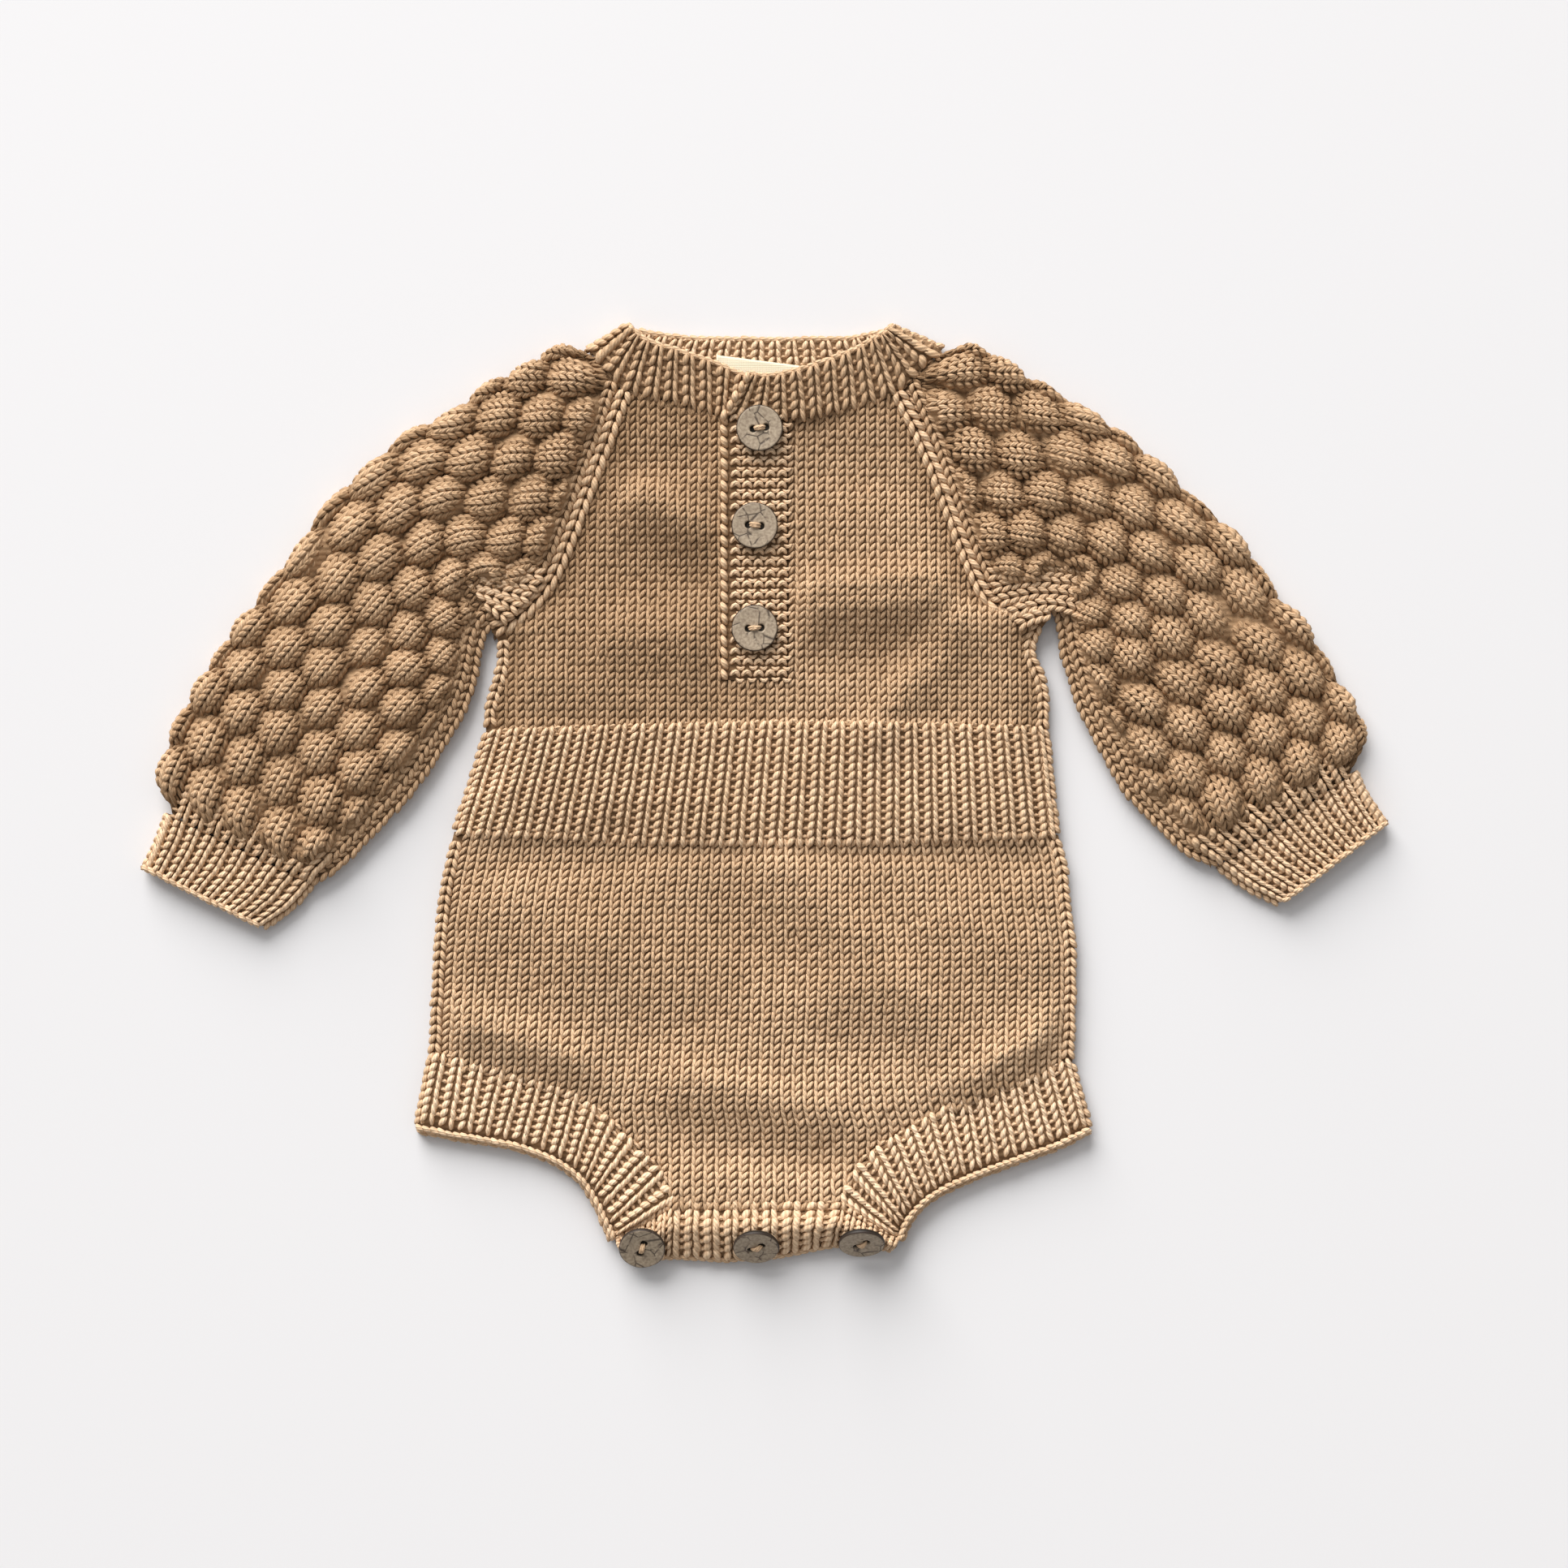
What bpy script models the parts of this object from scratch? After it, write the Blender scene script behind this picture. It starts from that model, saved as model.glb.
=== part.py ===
"""Baby romper, knitted by hand in cotton and laid flat with its front up.

Each piece a knitter would work and join is one closed body, a wall of cloth
with a skin side and an inner side.  The back lies on the surface, the front
lies over it, and each sleeve and cuff is one sheet folded along its outer
edge.  Plan sizes are in millimetres, +Y toward the neck, +Z toward the viewer.
"""
import math

import bmesh
import bpy
import numpy as np
from mathutils import Matrix

MM = 0.001

# ---- cloth ---------------------------------------------------------------
WALL = 2.4              # thickness of the knitted cloth
SEAM = 0.3              # clear distance between joined pieces
HALF_SEAM = SEAM / 2
CURVE_SEAM = 0.35       # set back of a sleeve whose straight steps meet the curved raglan
LEG_SEAM = 0.6          # set back of the front panel's long steps at the leg bands
CORNER_BACK = 0.9       # set back of the bodice's sharp underarm corner
FRONT_Z = WALL + SEAM   # lowest level of the front, over the back
MOST_HOLLOW = 3.1       # greatest air space added under the front
LIP = 2.6               # width over which a side edge rounds down
EDGE_SHARE = 0.55       # share of the wall left at a rounded edge
RIM_LIFT = 0.6          # how much of the missing share lifts the underside of the back

# ---- ribs and ridges ---------------------------------------------------------
RIB_RELIEF = 1.2        # height of a knit rib over the purl valley beside it
RIB_POINTS = 4          # stations to a rib, the first in the valley
WAIST_RIBS = 31
LEG_RIBS = 14
CROTCH_RIBS = 16
CUFF_RIB_PITCH = 6.3
NECK_RIB_PITCH = 7.0
RIDGE_PITCH = 4.4       # garter ridge to garter ridge on the placket
RIDGE_RELIEF = 0.6

# ---- bubbles of the sleeves ----------------------------------------------------
BUBBLE_ACROSS = 17.2    # pitch across the sleeve
BUBBLE_GATHER = 0.15    # share by which the cuff draws the pitch in
BUBBLE_RELIEF = 5.0
BUBBLE_HALF_LENGTH = 0.64   # in rows
BUBBLE_HALF_WIDTH = 0.54    # in pitches
LEFT_START = 0.12       # first bubble of row 0 from the outer fold, in pitches
RIGHT_START = 0.52
# columns: distance from the cuff, number of bubble rows counted there
LEFT_BUBBLE_ROWS = (
    (0.0, -0.35), (14.0, 0.5), (32.0, 1.5), (49.0, 2.5), (64.0, 3.5), (140.0, 8.5), (170.0, 10.5),
    (187.0, 11.5), (206.0, 12.5), (226.0, 13.5), (240.0, 14.2),
)
RIGHT_BUBBLE_ROWS = (
    (0.0, -0.5), (18.0, 0.5), (33.0, 1.5), (50.0, 2.5), (67.0, 3.5), (85.0, 4.5), (160.0, 9.5),
    (176.0, 10.5), (197.0, 11.5), (217.0, 12.5), (231.5, 13.2),
)
PLAIN_EDGE = 9.0        # plain columns beside a sleeve seam
FOLD_RADIUS = 3.2       # outer radius of a sleeve's folded edge
FOLD_STEPS = 4
INNER_INSET = 0.7       # a sheet's inner side stops this far short of its seam
SCALLOP_INSET = 1.6     # folded edge sits this far inside the bubble tips

# ---- sleeves: a row per section, outer fold to inner edge --------------------------
# columns: outer x, outer y, inner x, inner y
LEFT_SLEEVE = (
    (-70.8, 175.5, -55.8, 159.5),
    (-83.7, 174.9, -65.8, 133.3),
    (-109.6, 160.2, -82.7, 90.1),
    (-124.6, 149.9, -92.0, 76.3),
    (-141.6, 141.0, -101.0, 68.6),
    (-155.4, 129.8, -108.6, 64.8),
    (-167.2, 117.9, -112.0, 58.0),
    (-179.0, 105.1, -113.2, 50.5),
    (-188.0, 92.3, -114.6, 42.5),
    (-197.9, 79.5, -117.6, 34.1),
    (-207.5, 66.7, -124.0, 22.6),
    (-216.5, 53.9, -132.0, 9.8),
    (-224.8, 41.1, -141.6, -2.7),
    (-230.5, 28.3, -151.2, -12.6),
    (-236.3, 15.5, -162.4, -24.5),
    (-239.5, 5.9, -170.4, -30.9),
    (-236.6, -6.9, -178.4, -35.0),
)
RIGHT_SLEEVE = (
    (71.2, 175.5, 53.0, 158.9),
    (84.6, 175.5, 65.4, 133.9),
    (111.2, 159.5, 82.4, 89.1),
    (128.5, 149.9, 89.6, 77.0),
    (143.5, 139.3, 101.0, 73.4),
    (156.5, 128.6, 113.5, 71.2),
    (167.2, 117.9, 116.4, 63.0),
    (181.9, 105.1, 117.3, 54.0),
    (192.5, 92.3, 120.2, 44.3),
    (202.4, 77.9, 123.4, 34.1),
    (212.3, 66.7, 127.8, 25.1),
    (220.6, 53.9, 134.2, 13.9),
    (228.3, 41.1, 140.6, 2.1),
    (233.1, 30.5, 149.6, -7.8),
    (236.0, 21.9, 158.6, -16.5),
    (236.2, 16.5, 166.2, -23.5),
    (233.4, 9.8, 178.4, -28.0),
)
UNDERARM_ROW = 5        # the section that ends at the underarm
SLEEVE_ROWS = 42
# columns: outer x, outer y, inner x, inner y
LEFT_CUFF = ((-236.7, -7.3, -178.7, -35.4), (-240.2, -17.0, -187.0, -44.6), (-245.6, -28.3, -198.2, -52.3))
RIGHT_CUFF = ((233.6, 9.4, 178.7, -28.4), (238.2, 0.0, 190.0, -36.4), (245.3, -10.7, 203.0, -43.0))
CUFF_ROWS = 3
CUFF_INSET = 0.8
LEG_STEPS = 11          # stations of a back leg band and of the panel edge it meets
UNDERARM_DRAPE = 1.4    # extra wall that a sleeve's underside gathers beside its inner edge
SLEEVE_HOLLOW = (0.3, 2.0)  # least air space in a sleeve, and what its middle adds
CUFF_HOLLOW = (0.4, 0.9)
FOLD_HOLLOW = 0.75      # inner radius of the folded edge
TOP_POINTS = 18         # stations across the top of a sleeve
PINNED_POINTS = 14      # of these, how many stand at fixed parts of a bubble
NARROW = (48.0, 72.0)   # between these widths a sleeve changes from even to pinned stations
EDGE_WALL = 0.8         # share of the wall left where the top meets its seam

# ---- body: side edges from the underarm down to the hip corner ---------------------
# columns: x, y
LEFT_SIDE = (
    (-108.6, 64.8), (-105.3, 60.3), (-105.2, 52.0), (-107.4, 43.0), (-110.3, 33.0), (-110.0, 21.0),
    (-111.8, 9.1), (-118.6, -1.0), (-120.8, -8.0), (-123.0, -16.5), (-125.9, -29.3), (-128.2, -42.1),
    (-130.0, -60.0), (-131.3, -85.0), (-132.3, -103.8), (-133.6, -113.5), (-136.6, -122.5), (-137.4, -131.0),
)
RIGHT_SIDE = (
    (113.5, 71.2), (107.8, 63.0), (106.4, 55.0), (110.4, 45.0), (111.6, 33.0), (110.4, 20.0),
    (110.2, 8.0), (112.2, -3.7), (115.7, -16.5), (118.9, -29.3), (120.2, -44.0), (122.2, -62.0),
    (122.0, -86.0), (121.3, -106.0), (122.4, -115.0), (124.8, -123.5), (128.2, -131.7),
)
# waist rib, upper and lower seam: x, y
WAIST_TOP = ((-112.0, 24.0), (-60.0, 26.0), (0.0, 27.4), (60.0, 27.0), (112.0, 25.4))
WAIST_BOTTOM = ((-124.0, -14.4), (-70.0, -17.0), (-30.0, -18.6), (40.0, -18.4), (117.0, -15.6))

# leg bands, a row per station: upper x, upper y, lower x, lower y
LEFT_LEG = (
    (-132.3, -103.8, -137.4, -131.0), (-114.1, -108.0, -119.5, -134.6), (-92.6, -114.1, -99.5, -138.0),
    (-76.6, -119.2, -83.5, -143.8), (-63.8, -127.8, -73.0, -151.0), (-49.8, -141.9, -66.5, -160.0),
    (-42.7, -149.6, -62.5, -168.5), (-36.6, -162.0, -59.4, -175.4),
)
RIGHT_LEG = (
    (121.3, -106.0, 128.2, -131.7), (107.7, -112.2, 114.5, -138.3), (95.2, -115.4, 101.0, -143.0),
    (83.4, -119.8, 88.0, -147.8), (70.2, -125.3, 76.5, -152.6), (57.4, -133.6, 66.5, -157.6),
    (47.5, -139.0, 59.0, -163.8), (37.6, -148.0, 55.0, -169.5), (29.9, -162.5, 53.0, -175.8),
)
LEG_RISE = (0.5, 2.4)   # air space under a front leg band at the hip, and what the crotch adds
LEG_RISE_FROM = (0.45, 0.5)  # share of the length where the rise starts, and its length
# across a front leg band: share of the rise, share of the wall
LEG_LINES = ((1.0, 1.0), (1.0, 1.15), (0.45, 0.85))
LEG_PEEK = (1.0, -1.6)  # how far the back band shows past the front one, hip and crotch

# crotch band: upper x, upper y, lower x, lower y, height of its roll
CROTCH = (
    (-59.4, -175.8, -57.2, -181.4, 7.2), (-48.0, -169.1, -48.5, -184.0, 8.9),
    (-36.7, -162.4, -37.5, -183.0, 10.6), (-16.0, -162.8, -15.8, -184.4, 11.6),
    (4.5, -162.9, 4.6, -182.8, 12.2), (30.0, -162.9, 26.5, -178.6, 12.8),
    (41.5, -169.6, 39.5, -177.9, 11.8), (53.0, -176.2, 50.6, -180.4, 8.6),
)

CROTCH_LINES = (0.0, 0.2, 0.4, 0.7, 1.0)    # lines across the band, as shares of its depth
CROTCH_WALL = 2.2
CROTCH_RELIEF = 0.9
CROTCH_START = 0.72     # level of the band at its seam, as a share of the roll's height
CROTCH_ROLL_AT = 0.34   # where the roll's crest lies, as a share of the depth
CROTCH_EDGE = 3.2       # level of the lower edge
CROTCH_LOWEST = 0.6     # the inner side stays this far over the surface
LAP_SPAN = (2.1, 4.9)   # rows of the crotch table between which the back band runs

# back crotch band, folded forward under the front one, a row per line across
# it: skin share of the depth, skin level, inner share, inner level
CROTCH_LAP = (
    (0.00, 0.0, 0.00, 2.2), (0.35, 0.0, 0.35, 2.2), (0.64, 0.0, 0.60, 2.2),
    (0.72, 1.2, 0.64, 2.35), (0.72, 3.2, 0.64, 2.5), (0.65, 4.3, 0.60, 2.65),
    (0.52, 5.9, 0.50, 3.8), (0.34, 7.4, 0.34, 5.3), (0.10, 5.7, 0.10, 3.6),
)

# ---- neck ------------------------------------------------------------------
# neckband from its end under the placket, round the left shoulder, across the
# back and round the right shoulder to the lapped end: bound edge x, y, seam x,
# y, middle level, then the way its skin side looks, 1 up, 0 out, -1 down
NECKBAND = (
    (6.6, 164.5, 7.6, 147.9, 5.0, 1), (-3.5, 164.2, -5.0, 148.0, 5.0, 1),
    (-11.5, 166.4, -14.0, 148.5, 5.0, 1), (-20.3, 170.4, -20.5, 150.0, 5.1, 1),
    (-32.5, 174.4, -32.5, 154.0, 5.2, 1), (-41.6, 177.1, -45.0, 156.4, 5.2, 1),
    (-47.6, 179.6, -55.5, 159.8, 5.0, 1), (-50.6, 182.0, -62.3, 167.0, 4.8, 1),
    (-51.6, 183.2, -66.5, 171.5, 4.8, 1), (-53.8, 185.6, -70.4, 175.9, 3.0, 0),
    (-51.2, 183.0, -66.5, 171.6, 1.1, -1), (-49.6, 183.6, -62.0, 167.3, 1.1, -1),
    (-44.6, 182.6, -55.0, 160.8, 1.1, -1), (-30.0, 180.6, -36.0, 162.6, 1.1, -1),
    (-1.0, 180.1, -1.0, 163.6, 1.1, -1), (32.0, 180.4, 35.0, 162.6, 1.1, -1),
    (41.2, 182.3, 52.4, 160.4, 1.1, -1), (46.0, 183.3, 60.9, 167.1, 1.1, -1),
    (47.6, 182.8, 66.5, 172.1, 1.1, -1), (50.2, 185.3, 70.8, 176.1, 3.0, 0),
    (48.0, 183.0, 66.6, 172.1, 4.8, 1), (47.0, 182.2, 61.6, 167.6, 4.8, 1),
    (44.4, 180.7, 52.6, 159.4, 5.0, 1), (40.0, 177.7, 45.3, 155.7, 5.3, 1),
    (33.0, 174.2, 35.0, 152.8, 5.6, 1), (23.2, 170.4, 24.8, 149.9, 6.4, 1),
    (14.6, 167.4, 16.4, 147.9, 7.5, 1), (7.0, 165.3, 7.6, 147.9, 7.7, 1),
    (-1.0, 164.6, -4.6, 148.0, 7.7, 1), (-5.9, 165.7, -16.8, 149.2, 7.7, 1),
)
NECK_FOLDS = (9.0, 19.0)    # rows of the two shoulder folds
NECK_LAP_END = 2.0          # row up to which the strip lies plain under the placket
NECK_WALL = 2.2
NECK_BACK_RELIEF = 0.7
# seams under the neckband, left front, right front and back: x, y
NECK_SEAM_LEFT = ((-55.8, 159.5), (-45.0, 156.1), (-32.5, 153.7), (-20.5, 149.7), (-17.4, 148.5))
NECK_SEAM_RIGHT = ((9.1, 147.6), (16.4, 147.6), (24.8, 149.6), (35.0, 152.5), (45.3, 155.4), (53.0, 158.9))
NECK_SEAM_BACK = ((-55.8, 159.5), (-36.0, 162.1), (-1.0, 163.1), (35.0, 162.1), (53.0, 158.9))

# ---- placket -----------------------------------------------------------------
# columns across the buttonhole band: share of its width, share of the ridges' relief
PLACKET_COLUMNS = ((0.0, 0.2), (0.14, 1.0), (0.9, 1.0), (1.0, 0.3))
PLACKET_LEFT = -17.1
PLACKET_RIGHT = 8.8
PLACKET_FOOT = 45.0
PLACKET_TOP = 147.6
UNDER_BAND_Z = (3.9, 6.1)
TOP_BAND_Z = (6.4, 8.8)
BAND_INSET = 0.15

# ---- soft folds of the front: a row per fold -----------------------------------------
# columns: start x, start y, end x, end y, half width, height
FOLDS = (
    (19.7, -24.8, 42.4, -52.0, 8.0, 1.5), (44.0, -58.0, 52.0, -96.0, 11.0, 0.6),
    (-14.0, -34.0, 6.0, -72.0, 13.0, -1.1), (18.0, -62.0, 46.0, -92.0, 9.0, -0.8),
    (-4.0, -112.0, 20.0, -134.0, 10.0, -1.0), (-98.0, -76.0, -52.0, -100.0, 13.0, 0.8),
    (-40.0, -36.0, -58.0, -78.0, 10.0, 0.5), (60.0, -112.0, 100.0, -84.0, 12.0, 0.8),
    (-72.0, 128.0, -80.0, 86.0, 8.0, -1.2), (66.0, 122.0, 80.0, 88.0, 8.0, -1.2),
    (24.0, 98.0, 56.0, 84.0, 12.0, 1.1), (-62.0, 100.0, -34.0, 78.0, 12.0, 0.7),
    (14.0, 76.0, 50.0, 60.0, 9.0, -0.8), (-88.0, 58.0, -40.0, 44.0, 10.0, 0.6),
    (40.0, 44.0, 92.0, 52.0, 10.0, 0.7),
)
BASE_HOLLOW = 1.5       # air space under the middle of the front
WAIST_LIFT = 0.9        # what the springy waist rib adds
NECK_HOLLOW = 1.2       # air space along the neckband
LEAST_HOLLOW = 0.2
SIDE_SHARE = 0.35       # share of the air space left at a raglan or a leg band
SIDE_REACH = 15.0       # the front settles onto the back over this width
LEG_REACH = 22.0

# ---- buttons and label ----------------------------------------------------------------
BUTTON_DIAMETER = 18.2
BUTTON_THICK = 2.6
BUTTON_BEVEL = 0.7
BUTTON_SIDES = 18
HOLE_DIAMETER = 2.2
HOLE_SPACING = 4.4
HOLE_SIDES = 6
PLACKET_BUTTON_Z = TOP_BAND_Z[1] + RIDGE_RELIEF + SEAM
# columns: name, x, y, height of the underside's middle, tilt toward the feet, turn
BUTTONS = (
    ("button_placket_top", -2.1, 143.5, 10.6, 0.0, 8.0),
    ("button_placket_middle", -4.0, 105.4, PLACKET_BUTTON_Z, 0.0, -6.0),
    ("button_placket_bottom", -4.0, 65.1, PLACKET_BUTTON_Z, 0.0, 4.0),
    ("button_crotch_left", -48.2, -177.4, 9.2, 27.0, 70.0),
    ("button_crotch_middle", -3.4, -176.4, 10.9, 42.0, 30.0),
    ("button_crotch_right", 37.9, -174.6, 12.2, 50.0, 40.0),
)
LABEL_TOP = ((-19.0, 173.3), (18.4, 168.5))
LABEL_DEEP = 15.0
LABEL_Z = (3.2, 3.6)

# ---- colours: name, red, green, blue, roughness ------------------------------------------
YARN = ("cotton_yarn_camel", 0.54, 0.36, 0.18, 0.92)
COCONUT = ("coconut_shell", 0.27, 0.22, 0.17, 0.62)
TAPE = ("label_tape_cream", 0.80, 0.75, 0.64, 0.85)


# ---- curves and blends ---------------------------------------------------------------
def through(rows, t):
    """Points of the smooth curve through a table; t counts its rows from 0."""
    p = np.asarray(rows, float)
    t = np.clip(np.asarray(t, float), 0, len(p) - 1)
    i = np.minimum(t.astype(int), len(p) - 2)
    f = (t - i)[..., None]
    slope = np.gradient(p, axis=0)
    start = (1 + 2 * f) * (1 - f) ** 2 * p[i] + f * (1 - f) ** 2 * slope[i]
    return start + f * f * (3 - 2 * f) * p[i + 1] + f * f * (f - 1) * slope[i + 1]


def straight(rows, t):
    """Points of the straight-sided line through a table; t counts its rows."""
    p = np.asarray(rows, float)
    count = np.arange(len(p))
    return np.stack([np.interp(t, count, column) for column in p.T], axis=-1)


def evenly(rows, count, first=0.0, last=None, plan=slice(0, 2)):
    """Row numbers t that space points evenly along a table's smooth curve."""
    last = len(rows) - 1 if last is None else last
    t = np.linspace(first, last, 400)
    p = through(rows, t)[:, plan]
    run = np.concatenate([[0], np.cumsum(np.linalg.norm(np.diff(p, axis=0), axis=1))])
    return np.interp(np.linspace(0, run[-1], count), run, t)


def shifted(points, distance):
    """A plan line moved sideways, to the left of its direction, by a distance."""
    step = np.gradient(points, axis=0)
    step /= np.linalg.norm(step, axis=1, keepdims=True)
    return points + distance * np.stack([-step[:, 1], step[:, 0]], axis=1)


def ease(value):
    """0 below 0, 1 above 1, smooth between."""
    f = np.clip(value, 0, 1)
    return f * f * (3 - 2 * f)


def rib_wave(phase):
    """Rib profile, 1 on the crest and 0 in the narrow valley at whole numbers."""
    f = np.abs(phase - np.round(phase))
    return ease(f / 0.3)


# ---- form of the front -------------------------------------------------------------
def body_edges():
    """Left and right outline of the body, with the raglan seams, as x over y."""
    lines = []
    for sleeve, side in ((LEFT_SLEEVE, LEFT_SIDE), (RIGHT_SLEEVE, RIGHT_SIDE)):
        seam = through(sleeve, np.linspace(0, UNDERARM_ROW, 60))[:, 2:4]
        flank = through(side, np.linspace(0, len(side) - 1, 120))
        line = np.concatenate([seam[:-1], flank])[::-1]
        lines.append(line)
    return lines


LEFT_EDGE, RIGHT_EDGE = body_edges()


def edge_x(line, y):
    """x of a body outline at height y."""
    return np.interp(y, line[:, 1], line[:, 0])


def leg_y(x):
    """y of the lower end of the front panel at x."""
    left = np.asarray(LEFT_LEG)[:, :2]
    right = np.asarray(RIGHT_LEG)[::-1, :2]
    line = np.concatenate([left, right])
    return np.interp(x, line[:, 0], line[:, 1])


def folds(x, y):
    """Sum of the soft ridges and troughs of the fold table."""
    total = np.zeros_like(x)
    for x0, y0, x1, y1, half_width, height in FOLDS:
        dx, dy = x1 - x0, y1 - y0
        share = np.clip(((x - x0) * dx + (y - y0) * dy) / (dx * dx + dy * dy), 0, 1)
        away = np.hypot(x - x0 - share * dx, y - y0 - share * dy)
        total += height * np.exp(-(away / half_width) ** 2)
    return total


def front_under(x, y):
    """Level of the inner side of the front at a plan point."""
    side = np.minimum(x - edge_x(LEFT_EDGE, y), edge_x(RIGHT_EDGE, y) - x)
    raglan = ease((y - 60) / 20)
    near_side = raglan * SIDE_SHARE + (1 - SIDE_SHARE * raglan) * ease(side / SIDE_REACH)
    near_leg = SIDE_SHARE + (1 - SIDE_SHARE) * ease((y - leg_y(x)) / LEG_REACH)
    waist = WAIST_LIFT * ease((y + 24) / 8) * ease((32 - y) / 8)
    placket = ease((np.abs(x + 4) - 12) / 16) * ease((y - 30) / 12) + ease((42 - y) / 12)
    hollow = BASE_HOLLOW + waist + folds(x, y) * np.clip(placket, 0, 1)
    neck = ease((y - 128 - 0.1 * np.abs(x)) / 16)
    hollow = hollow * (1 - neck) + NECK_HOLLOW * neck
    return FRONT_Z + np.clip(hollow, LEAST_HOLLOW, MOST_HOLLOW) * near_side * near_leg


# ---- making bodies -------------------------------------------------------------------
def paint(colour):
    """A Principled material of its own for one sub-part."""
    name, red, green, blue, rough = colour
    material = bpy.data.materials.new(name)
    material.use_nodes = True
    shader = material.node_tree.nodes["Principled BSDF"]
    shader.inputs["Base Color"].default_value = (red, green, blue, 1)
    shader.inputs["Roughness"].default_value = rough
    return material


def add_object(name, bm, colour, smooth=True):
    """Finish a mesh, face it outward and put it in the romper's collection."""
    bmesh.ops.recalc_face_normals(bm, faces=bm.faces)
    mesh = bpy.data.meshes.new(name)
    bm.to_mesh(mesh)
    bm.free()
    for face in mesh.polygons:
        face.use_smooth = smooth
    mesh.materials.append(paint(colour))
    made = bpy.data.objects.new(name, mesh)
    ROMPER.objects.link(made)
    return made


def wall(name, skin, inner, colour, keep=None, rows=None, cols=None):
    """Closed wall between a skin grid and an inner grid of the same size.

    keep marks the cells that are cloth.  rows and cols name the grid lines
    the inner side keeps where it is plainer than the skin.
    """
    row_count, col_count = skin.shape[:2]
    rows = list(range(row_count)) if rows is None else rows
    cols = list(range(col_count)) if cols is None else cols
    bm = bmesh.new()
    top = [[bm.verts.new(p) for p in line] for line in skin * MM]
    low = {(r, c): bm.verts.new(inner[r, c] * MM) for r in rows for c in cols}
    if keep is None:
        keep = np.ones((row_count - 1, col_count - 1), bool)
    for r in range(row_count - 1):
        for c in range(col_count - 1):
            if keep[r, c]:
                bm.faces.new((top[r][c], top[r][c + 1], top[r + 1][c + 1], top[r + 1][c]))
    for r0, r1 in zip(rows, rows[1:]):
        for c0, c1 in zip(cols, cols[1:]):
            if keep[r0, c0]:
                bm.faces.new((low[r0, c0], low[r1, c0], low[r1, c1], low[r0, c1]))
    framed = np.pad(keep, 1)
    for r in range(row_count):
        for c0, c1 in zip(cols, cols[1:]):
            if framed[r, c0 + 1] != framed[r + 1, c0 + 1]:
                line = [top[r][c] for c in range(c0, c1 + 1)]
                bm.faces.new(line + [low[r, c1], low[r, c0]])
    for c in range(col_count):
        for r0, r1 in zip(rows, rows[1:]):
            if framed[r0 + 1, c] != framed[r0 + 1, c + 1]:
                line = [top[r][c] for r in range(r0, r1 + 1)]
                bm.faces.new(line + [low[r1, c], low[r0, c]])
    bmesh.ops.delete(bm, geom=[v for v in bm.verts if not v.link_faces], context="VERTS")
    return add_object(name, bm, colour)


def lifted(plan, level):
    """Plan points with a level for each."""
    return np.concatenate([plan, np.broadcast_to(level, plan.shape[:-1])[..., None]], axis=-1)


def lip(plan):
    """Share of the wall left beside rounded side edges, per plan point."""
    left = np.linalg.norm(plan - plan[:, :1], axis=-1)
    right = np.linalg.norm(plan - plan[:, -1:], axis=-1)
    return EDGE_SHARE + (1 - EDGE_SHARE) * ease(np.minimum(left, right) / LIP)


def front_wall(name, plan, relief=0.0, keep=None, cols=None):
    """A piece of the front over the form of the front."""
    under = front_under(plan[..., 0], plan[..., 1])
    skin = lifted(plan, under + WALL * lip(plan) + relief)
    return wall(name, skin, lifted(plan, under), YARN, keep=keep, cols=cols)


def back_wall(name, plan):
    """A piece of the back, flat on the surface with its rim rounded up."""
    skin = lifted(plan, WALL * (1 - lip(plan)) * RIM_LIFT)
    return wall(name, skin, lifted(plan, WALL), YARN)


# ---- body pieces ------------------------------------------------------------------
def edge_points(line, y):
    """Plan points on a body outline at heights y."""
    y = np.asarray(y, float)
    return np.stack([edge_x(line, y), y], axis=-1)


def raglan_points(sleeve, count, toward_body):
    """Raglan seam from underarm to neck, moved off the seam line."""
    t = np.linspace(0, UNDERARM_ROW, count)
    return shifted(through(sleeve, t)[:, 2:4], toward_body)[::-1]


def bodice_plan(side_rows, raglan_rows, foot_row, groups, neck_ends):
    """Plan grid of a bodice, with columns gathered at the placket slot's edges.

    groups holds the number of columns left of, in and right of the slot, and
    neck_ends the heights of the neck seam at the slot's two edges.
    """
    total = side_rows + raglan_rows
    waist_ends = (WAIST_TOP[0][1] + HALF_SEAM, WAIST_TOP[-1][1] + HALF_SEAM)
    flank = []
    for line, sleeve, off, waist in ((LEFT_EDGE, LEFT_SLEEVE, HALF_SEAM, waist_ends[0]),
                                     (RIGHT_EDGE, RIGHT_SLEEVE, -HALF_SEAM, waist_ends[1])):
        seam = raglan_points(sleeve, raglan_rows + 1, off)
        low = edge_points(line, np.linspace(waist, seam[0, 1], side_rows + 1)[:-1])
        seam[0, 0] += math.copysign(CORNER_BACK, -seam[0, 0])
        flank.append(np.concatenate([low, seam]))
    middle = []
    for x, neck in zip((PLACKET_LEFT - SEAM, PLACKET_RIGHT + SEAM), neck_ends):
        waist = np.interp(x, *np.transpose(WAIST_TOP)) + HALF_SEAM
        foot = PLACKET_FOOT - SEAM - HALF_SEAM
        y = np.interp(np.arange(total + 1), (0, foot_row, total), (waist, foot, neck - SEAM))
        middle.append(np.stack([np.full_like(y, x), y], axis=-1))
    parts = (flank[0], middle[0], middle[1], flank[1])
    strips = []
    for k, count in enumerate(groups):
        share = np.linspace(0, 1, count + 1)[None, :, None]
        strip = parts[k][:, None] * (1 - share) + parts[k + 1][:, None] * share
        strips.append(strip if k == 0 else strip[:, 1:])
    return np.concatenate(strips, axis=1)


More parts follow.
